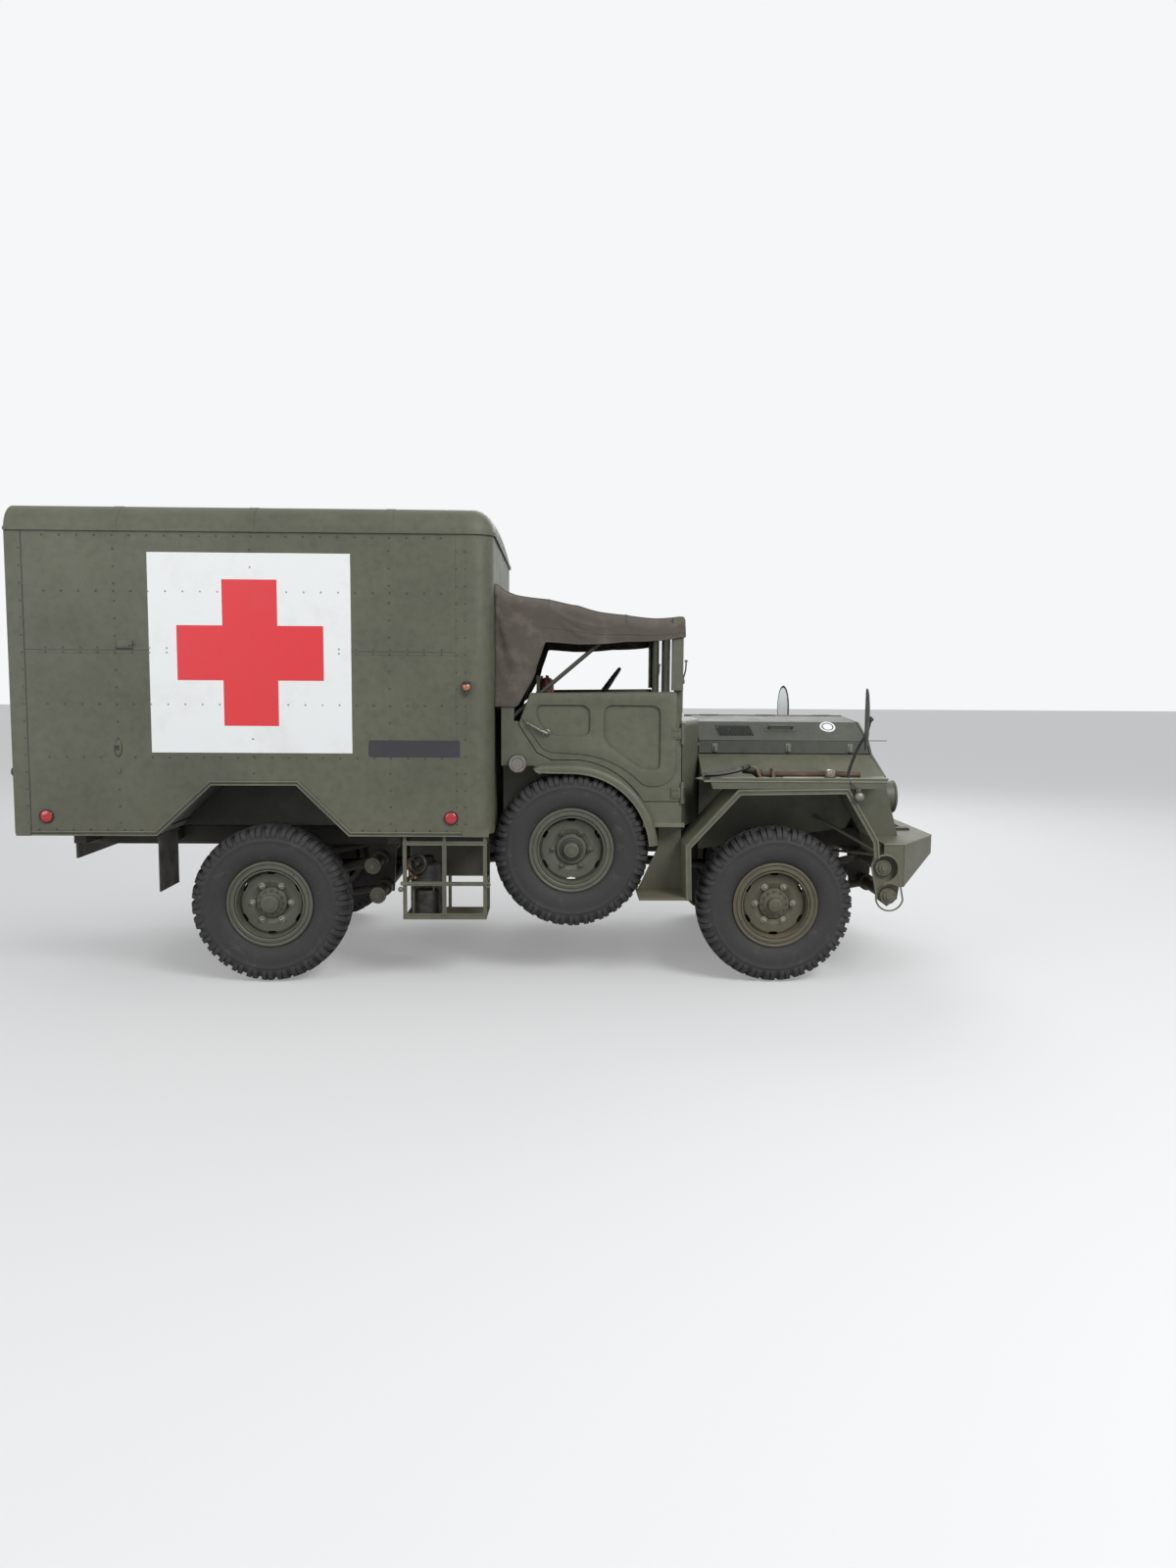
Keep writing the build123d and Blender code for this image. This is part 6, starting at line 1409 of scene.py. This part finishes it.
# Suspension tubes: X and Z of each pair, and how far out they end
TUBE_ENDS = (((2017.0, 656.0), 968.0), ((2047.0, 495.0), 968.0), ((-872.0, 626.0), 770.0), ((-845.0, 455.0), 770.0))
TUBE_CAP = [(0.01, 22), (14, 22), (17, 18), (19, 14), (27, 14), (30, 10), (30, 4), (43, 4), (47, 0), (48, -13)]
DRUM = [(60, 36), (130, 36), (172, 44), (176, 52), (176, 100), (180, 104), (180, 112), (60, 118)]
DRUM_PLACE = (-748.0, 440.0)


class AMBULANCE_OT_bonnet_fittings(AmbulanceOperator, bpy.types.Operator):
    """Make the bonnet's blank discs, grips and catches"""
    bl_idname = "ambulance.bonnet_fittings"
    bl_label = "Bonnet fittings"

    def execute(self, context):
        turn = facing(SHOULDER_NORMAL)
        mark = ring([(29, 1.2), (36, 1.2), (36, 2.0), (29, 2.0)], 56)
        x, z = GRIP_PLACE
        side, fold = BONNET_EDGE
        grip = (x, -(side - (z - fold) * SHOULDER_RUN), z)
        for name, shape, place, finish, slot in (
                ("bonnet_disc", disc(47, 1.6, 0.5, 56), BONNET_DISC, "marking white", "olive_paint"),
                ("bonnet_ring", mark, BONNET_DISC, "plate enamel", "black"),
                ("grip_plate", slab(rounded(196, 46, 12), 0, 2.4, 1), grip, "bonnet olive", "olive_paint"),
                ("grip_shadow", slab(rounded(120, 22, 8), 2.2, 3.0, 0.4), grip, *UNDERBODY)):
            sided(name, [moved(shape, place, turn)], finish, "bonnet", slot)
        catches = []
        for x in CATCH_X:
            catches.append(on_wall(slab(rounded(34, 52, 6), 0, 5, 1.5), -side, x, 1300))
            catches.append(on_wall(slab(rounded(16, 40, 5), 5, 16, 4), -side, x, 1294))
        sided("bonnet_catches", catches, "worn steel", "bonnet", "olive_paint")
        bead = along([(1030, -side - 0.5, fold), (2150, -side - 0.5, fold)], 2.4, 8)
        sided("bonnet_fold", [bead], "bonnet olive", "bonnet", "olive_paint")
        return {"FINISHED"}


class AMBULANCE_OT_nose_fittings(AmbulanceOperator, bpy.types.Operator):
    """Make the headlamps with bowl, bezel and glass, the radiator's fins and the grille's edges"""
    bl_idname = "ambulance.nose_fittings"
    bl_label = "Headlamps and radiator"

    def execute(self, context):
        a = np.linspace(0, math.pi / 2, 9)[::-1]
        glass = np.stack([np.maximum(84 * np.sin(a), 0.01), 32 + 18 * np.cos(a)], 1)
        paired("headlamp_bowls", [on_front(lathe(LAMP_BOWL, 56), *LAMP_PLACE),
                                  on_front(ring(LAMP_BEZEL, 72), *LAMP_PLACE)],
               *OLIVE, replaces="headlamps")
        mirror = paired("headlamp_reflectors", [on_front(lathe(LAMP_REFLECTOR, 56, caps=False), *LAMP_PLACE)],
                        "mirror glass", "cast", closed=False)
        mirror.data.flip_normals()
        paired("headlamp_bulbs", [on_front(lathe(LAMP_BULB, 20), *LAMP_PLACE)], "headlamp glass", "glass")
        paired("headlamp_glasses", [on_front(lathe(glass, 56, caps=False), *LAMP_PLACE)],
               "clear lamp glass", "glass", closed=False)
        fins = [along([(1990, y, 830), (1990, y, 1330)], 3.0, 4) for y in range(-370, 371, 20)]
        tubes = [along([(1993, -374, z), (1993, 374, z)], 2.0, 4) for z in range(836, 1336, 10)]
        fixed("radiator_fins", fins + tubes, "radiator core", "black")
        edges = []
        for column in range(GRILLE_SLOTS):
            middle = -GRILLE_HALF + (column + 0.5) * 2 * GRILLE_HALF / GRILLE_SLOTS
            for y in (middle - 11.5, middle + 11.5):
                edges.append(along([(2012 + (1460 - z) * NOSE_LEAN, y, z) for z in (900, 1330)], 2.0, 6))
        fixed("grille_edges", edges, *OLIVE)
        return {"FINISHED"}


class AMBULANCE_OT_wing_fittings(AmbulanceOperator, bpy.types.Operator):
    """Make the wings' rolled edges, lighter with painted highlights, the side lamps with their cables, and the wing
    stays
    """
    bl_idname = "ambulance.wing_fittings"
    bl_label = "Wing fittings"

    def execute(self, context):
        # Rolled edges of the wings and the shelf in the lighter olive: painted highlights
        rolls = [along(in_plane(parallel(WING_LINE, -3), WING_FACE - 2), 5.5, 10),
                 along(in_plane(parallel(WING_LINE, -25), WING_FACE - 1), 4.0, 8)]
        paired("wing_edges", rolls, *HIGHLIGHT_EDGE)
        shelf = [along([(x, WING_FACE - 1, SHELF_TOP - 5) for x in (990, 1085, SHELF_FRONT)], 4.0, 8),
                 along([(x, WING_FACE + 1, SHELF_TOP + 14) for x in (1088, SHELF_FRONT)], 3.5, 8)]
        paired("shelf_edges", shelf, *HIGHLIGHT_EDGE)
        lamp = [on_wall(lathe([(0.01, 46), (18, 44), (25, 38), (28, 28), (28, 4), (22, 0)], 32), -1034, 1845, 1065),
                bar((1833, 1857), (-1040, -1010), (1085, 1112))]
        cable = [(1794, -1014, 1176), (1800, -1046, 1140), (1836, -1056, 1108), (1845, -1052, 1090)]
        paired("side_lamps", lamp, "worn steel", "black")
        paired("lamp_cables", [along(smooth_path(cable, 6), 3.6, 8)], *RUBBER)
        stays = [along([(1700, -600, 905), (1955, -1000, 760)], 9.0, 10),
                 along([(1820, -600, 700), (1965, -1000, 735)], 8.0, 10)]
        paired("wing_stays", stays, *OLIVE)
        inward = parallel(WING_LINE, -13)
        bolts = [on_wall(bolt(5.5, 3), WING_FACE, *(p + q) / 2) for p, q in zip(inward, inward[1:])]
        paired("wing_bolts", bolts, *OLIVE)
        return {"FINISHED"}


def dished_blade(rows, columns):
    """Shovel blade from its tip to its socket, u along it and v across it: it rises by 52 u, its sides lift by
    16 v^2 and its middle dips by 10 sin(pi u). It is 4 mm thick, with walls round its rim."""
    u = np.linspace(0, 1, rows)
    v = np.linspace(-1, 1, columns)
    half = 96 * np.minimum(1, 0.42 + 2.6 * u) ** 0.8 * np.where(u > 0.86, 1 - 5.0 * (u - 0.86), 1)
    y = SHOVEL_Y + half[:, None] * v[None, :]
    x = np.broadcast_to(1004 + 262 * u[:, None], y.shape)
    top = SHELF_TOP + 6 + 52 * u[:, None] + 16 * v[None, :] ** 2 - 10 * np.sin(math.pi * u)[:, None]
    upper = np.stack([x, y, top + 3], 2).reshape(-1, 3)
    faces = [tuple(face) for face in sheet_faces(rows, columns)]
    number = np.arange(len(upper)).reshape(rows, columns)
    rim = np.concatenate([number[0], number[1:, -1], number[-1, -2::-1], number[-2:0:-1, 0]]).tolist()
    walls = [(a, b, b + len(upper), a + len(upper)) for a, b in zip(rim, rim[1:] + rim[:1])]
    under = [tuple(i + len(upper) for i in reversed(face)) for face in faces]
    return np.vstack([upper, upper - (0, 0, 4.0)]), faces + under + walls


class AMBULANCE_OT_shovel(AmbulanceOperator, bpy.types.Operator):
    """Make the shovel with its dished blade, socket, handle and clamps on the right wing"""
    bl_idname = "ambulance.shovel"
    bl_label = "Shovel"

    def execute(self, context):
        fixed("shovel_blade", [dished_blade(22, 15)], "shovel steel", "cast", replaces="pioneer_tools")
        stations = (1225, 1290, 1360, 1888)
        line = smooth_path([(x, SHOVEL_Y, SHELF_TOP + rise) for x, rise in zip(stations, (52, 44, 30, 26))], 10)
        thick = np.interp(line[:, 0], stations, (13, 21, 20, 18))
        fixed("shovel_handle", [along(line, thick, 20)], "ash wood", "wood")
        fixed("shovel_socket", [along(line[line[:, 0] < 1345], 21.5, 20)], "shovel steel", "cast")
        clamps = []
        for x, lean in ((1322.0, 34.0), (1392.0, 0.0)):
            loop = [(x, -36, 2), (x - lean * 0.6, -30, 46), (x - lean, 0, 62), (x - lean, 30, 40), (x, 36, 2)]
            clamps.append(along(np.array(loop) + (0, SHOVEL_Y, SHELF_TOP), [12, 11, 11, 11, 12], 8))
        fixed("shovel_clamps", clamps, "strap leather", "canvas")
        rod = along([(1440, -970, SHELF_TOP + 10), (1760, -966, SHELF_TOP + 10)], 7.0, 10)
        fixed("shelf_rod", [rod], "pale ash", "wood")
        return {"FINISHED"}


class AMBULANCE_OT_suspension_fittings(AmbulanceOperator, bpy.types.Operator):
    """Make the ringed caps of the suspension tubes, the bumper's edge beads and the brake drums"""
    bl_idname = "ambulance.suspension_fittings"
    bl_label = "Suspension and bumper fittings"

    def execute(self, context):
        caps = []
        for (x, z), reach in TUBE_ENDS:
            caps.append(on_wall(lathe(TUBE_CAP, 40), -reach - 1, x, z))
            places = in_plane([(x + 38 * math.cos(a), z + 38 * math.sin(a))
                               for a in np.arange(0.3, 6.2, math.pi / 3)], 0.0)
            caps.append(repeated(on_wall(bolt(5, 4), -reach - 4), places))
        paired("tube_caps", caps, *OLIVE)
        upper, lower = TUBE_ENDS[0][0], TUBE_ENDS[1][0]
        hull = np.vstack([arc(upper, 77.0, -12.0, 168.0, 18), arc(lower, 77.0, 168.0, 348.0, 18)])
        top = [(2009, BUMPER_SIDE), (2125, BUMPER_SIDE), (BUMPER_FRONT, -602), (BUMPER_FRONT, 0)]
        corner = [(2126, BUMPER_SIDE, BUMPER_TOP), (2126, BUMPER_SIDE, 556)]
        # Edge beads of the bumper in the lighter olive: painted highlights
        beads = [along(in_plane(hull, BUMPER_SIDE + 1), 5.0, 8, closed=True),
                 along(level(top, BUMPER_TOP), 4.0, 8), along(corner, 3.5, 8)]
        paired("bumper_beads", beads, *HIGHLIGHT_EDGE)
        bolts = [on_front(bolt(11, 8), BUMPER_FRONT + 1, -y, z) for y in (350, 410) for z in (725, 770)]
        paired("bumper_bolts", bolts, *OLIVE)
        for end, x in AXLES:
            drum = on_wall(ring(DRUM, 64), DRUM_PLACE[0], x, DRUM_PLACE[1])
            if end == "front":
                sided("front_brake_drum", [drum], "cast iron", "knuckle", "cast")
            else:
                paired("rear_brake_drums", [drum], "cast iron", "cast")
        return {"FINISHED"}


# Side rack and fuel tank
RACK_FACE = -1029.0
HEATER_PLACE = (-549.0, -874.0, 376.0)
HEATER_BODY = [(0.01, 296), (40, 296), (70, 290), (82, 280), (85, 268), (85, 232), (88, 230), (88, 218), (85, 216),
               (85, 92), (88, 90), (88, 78), (85, 76), (85, 12), (80, 4), (60, 0), (0.01, 0)]
HEATER_NECK = [(0.01, 330), (30, 329), (38, 324), (40, 312), (40, 294)]
BLOWER_PLACE = (-590.0, -975.0, 672.0)
BLOWER_SIZE = 1.15
BOTTLE_PLACE = (-540, -950, 377)
BOTTLE = [(0.01, 190), (20, 188), (24, 178), (26, 160), (62, 150), (66, 140), (66, 8), (60, 0), (0.01, 0)]
STRAP_SECTION = [(-16, -1), (16, -1), (16, 3), (-16, 3)]


class AMBULANCE_OT_rack_fittings(AmbulanceOperator, bpy.types.Operator):
    """Make the heater in the side rack, the rack's hinges and edges, and the fuel tank's straps and cap"""
    bl_idname = "ambulance.rack_fittings"
    bl_label = "Rack and tank fittings"

    def execute(self, context):
        self.heater()
        # Hinges of the rack in the lighter olive: painted highlights
        hinge = [along([(-668, RACK_FACE - 2, 570), (-196, RACK_FACE - 2, 570)], 4.0, 8),
                 on_wall(ring([(7, 0), (15, 0), (15, 10), (7, 10)], 28), RACK_FACE - 1, -196, 566),
                 on_wall(dome(15, 16, 24, 5), RACK_FACE - 5, -676, 540),
                 on_wall(slab(rounded(34, 22, 6), 0, 8, 2), RACK_FACE, -660, 572)]
        fixed("rack_hinges", hinge, *HIGHLIGHT_EDGE)
        # Edges of the rack's frame in the lighter olive: painted highlights
        runs = [[(-662, z), (-205, z)] for z in (373, 402, 561, 579, 786, 804)]
        runs += [[(x, 371), (x, 804)] for x in (-662, -445, -427, -205)]
        fixed("rack_edges", [along(in_plane(run, RACK_FACE), 2.6, 6) for run in runs], *HIGHLIGHT_EDGE)
        outline = rounded(312, 376, 44) + (864.0, 583.0)
        straps = [swept(at_station(x, np.vstack([outline, outline[:1]])), STRAP_SECTION, (1, 0, 0))
                  for x in (-557.0, -310.0)]
        filler = lathe([(0.01, 40), (30, 39), (36, 34), (38, 26), (34, 22), (34, 0)], 36)
        fixed("tank_straps", straps, *OLIVE)
        fixed("tank_cap", [moved(filler, (-250, 940, 756))], "worn steel", "cast")
        return {"FINISHED"}

    @staticmethod
    def heater():
        """The heater with its neck, blower, copper pipes, bottle and straps, and a dark sheet behind the rack's
        cells: painted shade where the underside lies in shadow.
        """
        fixed("heater_body", [moved(lathe(HEATER_BODY, 56), HEATER_PLACE)], "black rubber", "under_paint",
              replaces="canister")
        fixed("heater_neck", [moved(lathe(HEATER_NECK, 36), HEATER_PLACE)], "cast iron", "under_paint")
        blower = [ring([(34, -14), (46, -14), (52, -4), (50, 8), (40, 12), (32, 6)], 48),
                  lathe([(0.01, 16), (8, 15), (13, 10), (14, 0), (14, -16)], 28)]
        for spoke in np.radians((20, 140, 260)):
            way = np.array((math.cos(spoke), math.sin(spoke)))
            blower.append(along(level([10 * way, 38 * way], -4), 5.0, 8))
        blower.append(lathe([(0.01, -40), (30, -38), (36, -30), (36, -10)], 36))
        points, faces = joined(blower)
        blower = moved((points * BLOWER_SIZE, faces), BLOWER_PLACE, facing((-0.25, -0.9, 0.2)))
        fixed("heater_blower", [blower], "cast iron", "cast")
        # Dark sheet behind the rack's upper cells, in underbody paint: painted shade, not a part of the truck
        sheet = bar((-655, -212), (-727, -723), (574, 790), 1.0)
        fixed("rack_painted_shade_sheet", [sheet], *UNDERBODY)
        thick_pipe = [(-636, -985, 640), (-628, -990, 612), (-600, -985, 596), (-575, -960, 600)]
        thin_pipe = [(-640, -975, 700), (-640, -975, 650), (-632, -980, 620)]
        pipes = [along(smooth_path(thick_pipe, 8), 6.0, 10), along(smooth_path(thin_pipe, 8), 4.5, 10)]
        nuts = [moved(bolt(11, 12), at, facing((0.4, -0.8, 0.3))) for at in ((-630, -994, 618), (-606, -990, 596))]
        fixed("heater_pipes", pipes + nuts, "copper pipe", "cast")
        fixed("heater_bottle", [moved(lathe(BOTTLE, 44), BOTTLE_PLACE)], "cast iron", "under_paint")
        straps = [along([(x, -992, 380), (x, -992, 560)], 5.0, 8) for x in (-612.0, -500.0)]
        fixed("heater_straps", straps, *OLIVE)


# Mirrors: share of the oval and height of the shell at each of its rings
MIRROR_TURN = math.radians(17)
MIRROR_PLACE = (1850.0, -1150.0, 1494.0)
MIRROR_HALF = (84.0, 169.0)
MIRROR_GLASS_HALF = (76.0, 153.0)
MIRROR_SHELL = [(0.01, 15), (0.45, 14), (0.78, 10), (0.95, 4), (1.0, -3), (0.98, -8), (0.93, -8), (0.90, -5)]
STALK = [(1794, -1010, 1154), (1796, -1012, 1200), (1815, -1062, 1300), (1836, -1108, 1372), (1858, -1128, 1420),
         (1868, -1146, 1480)]


class AMBULANCE_OT_mirrors(AmbulanceOperator, bpy.types.Operator):
    """Make the oval mirrors with their backs, glasses, clamps and smooth stalks"""
    bl_idname = "ambulance.mirrors"
    bl_label = "Mirrors"

    def execute(self, context):
        _, y, z = MIRROR_PLACE
        back = np.array((math.cos(MIRROR_TURN), -math.sin(MIRROR_TURN), 0.0))
        turn = facing(back)
        count = 56
        oval = circle(1.0, count)
        points = np.concatenate([level(oval * MIRROR_HALF * share, height) for share, height in MIRROR_SHELL])
        faces = [tuple(face) for face in sheet_faces(len(MIRROR_SHELL), count, wrap_columns=True)]
        faces.append(tuple(range(len(points) - count, len(points))))
        glass = moved(slab(oval * MIRROR_GLASS_HALF, 0, 1.6, 0.5), MIRROR_PLACE - 5.2 * back, facing(-back))
        mount = [along(smooth_path(STALK, 8), 8.0, 14), moved(slab(circle(17, 24), 0, 16, 4), (1862, y, z), turn),
                 moved(bolt(9, 10), (1876, y, z), turn),
                 moved(slab(rounded(44, 40, 8), 0, 12, 3), (1794, -1010, 1150))]
        paired("mirror_heads", [moved((points, faces), MIRROR_PLACE, turn)], "black rubber", "black",
               replaces="mirrors")
        paired("mirror_glasses", [glass], "mirror glass", "glass")
        paired("mirror_stalks", mount, "black rubber", "black")
        return {"FINISHED"}


FRAME_SIDE = -415.0
FRAME_BOLT_X = (-2560, -2090, -760, -240, -80, 850, 1400, 1700)


class AMBULANCE_OT_underside(AmbulanceOperator, bpy.types.Operator):
    """Make the flap brackets, frame bolts and drive flanges seen from below"""
    bl_idname = "ambulance.underside"
    bl_label = "Underside fittings"

    def execute(self, context):
        bolts = repeated(on_rear(bolt(8, 5), 0, 0, 0), [(-2004, y, 834) for y in range(-1000, -730, 52)])
        stay = along([(-1990, -700, 835), (-2120, -700, 780)], 8.0, 8)
        paired("flap_brackets", [bar((-2004, -1999), (-1020, -722), (822, 846), 1.0), bolts, stay],
               *UNDERBODY)
        heads = [on_wall(bolt(11, 8), FRAME_SIDE, x, z) for x in FRAME_BOLT_X for z in (726, 784)]
        paired("frame_bolts", heads, *UNDERBODY)
        flange = [ring([(132, 126), (150, 126), (150, 134), (132, 134)], 48),
                  repeated(bolt(7, 5), level(circle(141, 12), 132.0))]
        for end, x in AXLES:
            fixed(f"drive_flange_{end}", [on_wall(joined(flange), 0, x, 500)], "cast iron", "cast")
        return {"FINISHED"}


# Stage: name, place, width and power of each lamp, then the floor and the camera
LAMPS = (
    ("key", (5.5, -8.0, 7.5), 5.0, 800.0),
    ("fill", (-6.5, -7.0, 4.0), 6.0, 230.0),
    ("back", (2.0, 8.0, 7.0), 6.0, 420.0),
)
LAMPS_AIM = (0.0, 0.0, 1.2)
FLOOR_REACH = 60.0
CAMERA_PLACE = (0.3992, -7.2147, 1.7014)
CAMERA_TURNS = (1.40, 5.30, 0.38)
SENSOR_WIDTH = 36.0
FOCUS_PIXELS = 1155.0
LONG_SIDE_PIXELS = 1600.0


class AMBULANCE_OT_stage(AmbulanceOperator, bpy.types.Operator):
    """Make the floor, the soft lights, the sky and the camera at the photograph's view"""
    bl_idname = "ambulance.stage"
    bl_label = "Stage"

    def execute(self, context):
        self.floor(context.scene)
        self.sky(context.scene)
        for name, place, width, power in LAMPS:
            data = bpy.data.lights.new(name, "AREA")
            data.shape = "DISK"
            data.size = width
            data.energy = power
            lamp = bpy.data.objects.new(name, data)
            lamp.location = place
            lamp.rotation_mode = "QUATERNION"
            lamp.rotation_quaternion = (Vector(LAMPS_AIM) - Vector(place)).to_track_quat("-Z", "Y")
            context.scene.collection.objects.link(lamp)
        self.camera(context.scene)
        context.scene.view_settings.view_transform = "Standard"
        return {"FINISHED"}

    @staticmethod
    def floor(scene):
        """Pale floor, brighter to the camera and in reflections than in the light it throws back on the truck."""
        ground = bpy.data.meshes.new("studio_floor")
        corners = [(x * FLOOR_REACH, y * FLOOR_REACH, -0.001) for x, y in ((-1, -1), (1, -1), (1, 1), (-1, 1))]
        ground.from_pydata(corners, [], [(0, 1, 2, 3)])
        floor = bpy.data.objects.new("studio_floor", ground)
        scene.collection.objects.link(floor)
        add = new_finish("pale floor")
        seen = add("Math", settings={"operation": "MAXIMUM"}, i0=add("LightPath", "Is Camera Ray"),
                   i1=add("LightPath", "Is Glossy Ray"))
        tone = add("Mix", 2, BLEND, i0=seen, i6=grey(0.30), i7=grey(0.50))
        lift = add("Math", settings={"operation": "MULTIPLY"}, i0=seen, i1=0.25)
        add("OutputMaterial", Surface=add("BsdfPrincipled", Base_Color=tone, Roughness=0.9,
                                          Emission_Color=grey(1.0), Emission_Strength=lift))
        ground.materials.append(bpy.data.materials["pale floor"])

    @staticmethod
    def sky(scene):
        """Soft bluish light on the truck, and a near white backdrop to the camera, reflections and glass."""
        scene.world = bpy.data.worlds.new("soft sky")
        scene.world.use_nodes = True
        scene.world.node_tree.nodes.clear()
        add = functools.partial(add_node, scene.world.node_tree)
        seen = 0.0
        for ray in ("Is Camera Ray", "Is Glossy Ray", "Is Transmission Ray"):
            seen = add("Math", settings={"operation": "MAXIMUM"}, i0=seen, i1=add("LightPath", ray))
        light = add("Background", Color=(0.93, 0.96, 1.0, 1.0), Strength=0.50)
        backdrop = add("Background", Color=(0.92, 0.93, 0.94, 1.0), Strength=1.0)
        add("OutputWorld", Surface=add("MixShader", i0=seen, i1=light, i2=backdrop))

    @staticmethod
    def camera(scene):
        """The fitted view: turned a little to the left, dipped and rolled by degrees."""
        data = bpy.data.cameras.new("photograph_view")
        data.sensor_width = SENSOR_WIDTH
        data.lens = FOCUS_PIXELS * SENSOR_WIDTH / LONG_SIDE_PIXELS
        data.clip_end = 300.0
        camera = bpy.data.objects.new("photograph_view", data)
        turn, dip, roll = (math.radians(a) for a in CAMERA_TURNS)
        level_ahead = Vector((math.sin(turn), math.cos(turn), 0.0))
        right = Vector((math.cos(turn), -math.sin(turn), 0.0))
        ahead = level_ahead * math.cos(dip) - Vector((0, 0, math.sin(dip)))
        above = level_ahead * math.sin(dip) + Vector((0, 0, math.cos(dip)))
        across = right * math.cos(roll) + above * math.sin(roll)
        up = above * math.cos(roll) - right * math.sin(roll)
        turned = Matrix((across, up, -ahead)).transposed().to_4x4()
        camera.matrix_world = Matrix.Translation(CAMERA_PLACE) @ turned
        scene.collection.objects.link(camera)
        scene.camera = camera


OPERATORS = tuple(AmbulanceOperator.__subclasses__())


class AMBULANCE_PT_panel(bpy.types.Panel):
    """Buttons for every piece of the truck"""
    bl_idname = "AMBULANCE_PT_panel"
    bl_label = "Ambulance truck"
    bl_space_type = "VIEW_3D"
    bl_region_type = "UI"
    bl_category = "Ambulance"

    def draw(self, context):
        settings = context.scene.ambulance_truck
        for name in TruckSettings.__annotations__:
            self.layout.prop(settings, name)
        for operator in OPERATORS:
            self.layout.operator(operator.bl_idname)


def register():
    bpy.utils.register_class(TruckSettings)
    bpy.types.Scene.ambulance_truck = PointerProperty(type=TruckSettings)
    for operator in OPERATORS:
        bpy.utils.register_class(operator)
    bpy.utils.register_class(AMBULANCE_PT_panel)


def unregister():
    bpy.utils.unregister_class(AMBULANCE_PT_panel)
    for operator in reversed(OPERATORS):
        bpy.utils.unregister_class(operator)
    del bpy.types.Scene.ambulance_truck
    bpy.utils.unregister_class(TruckSettings)


def main():
    register()
    for operator in OPERATORS:
        name = operator.bl_idname.split(".")[1]
        getattr(bpy.ops.ambulance, name)()
    bpy.context.view_layer.update()


if __name__ == "__main__":
    main()
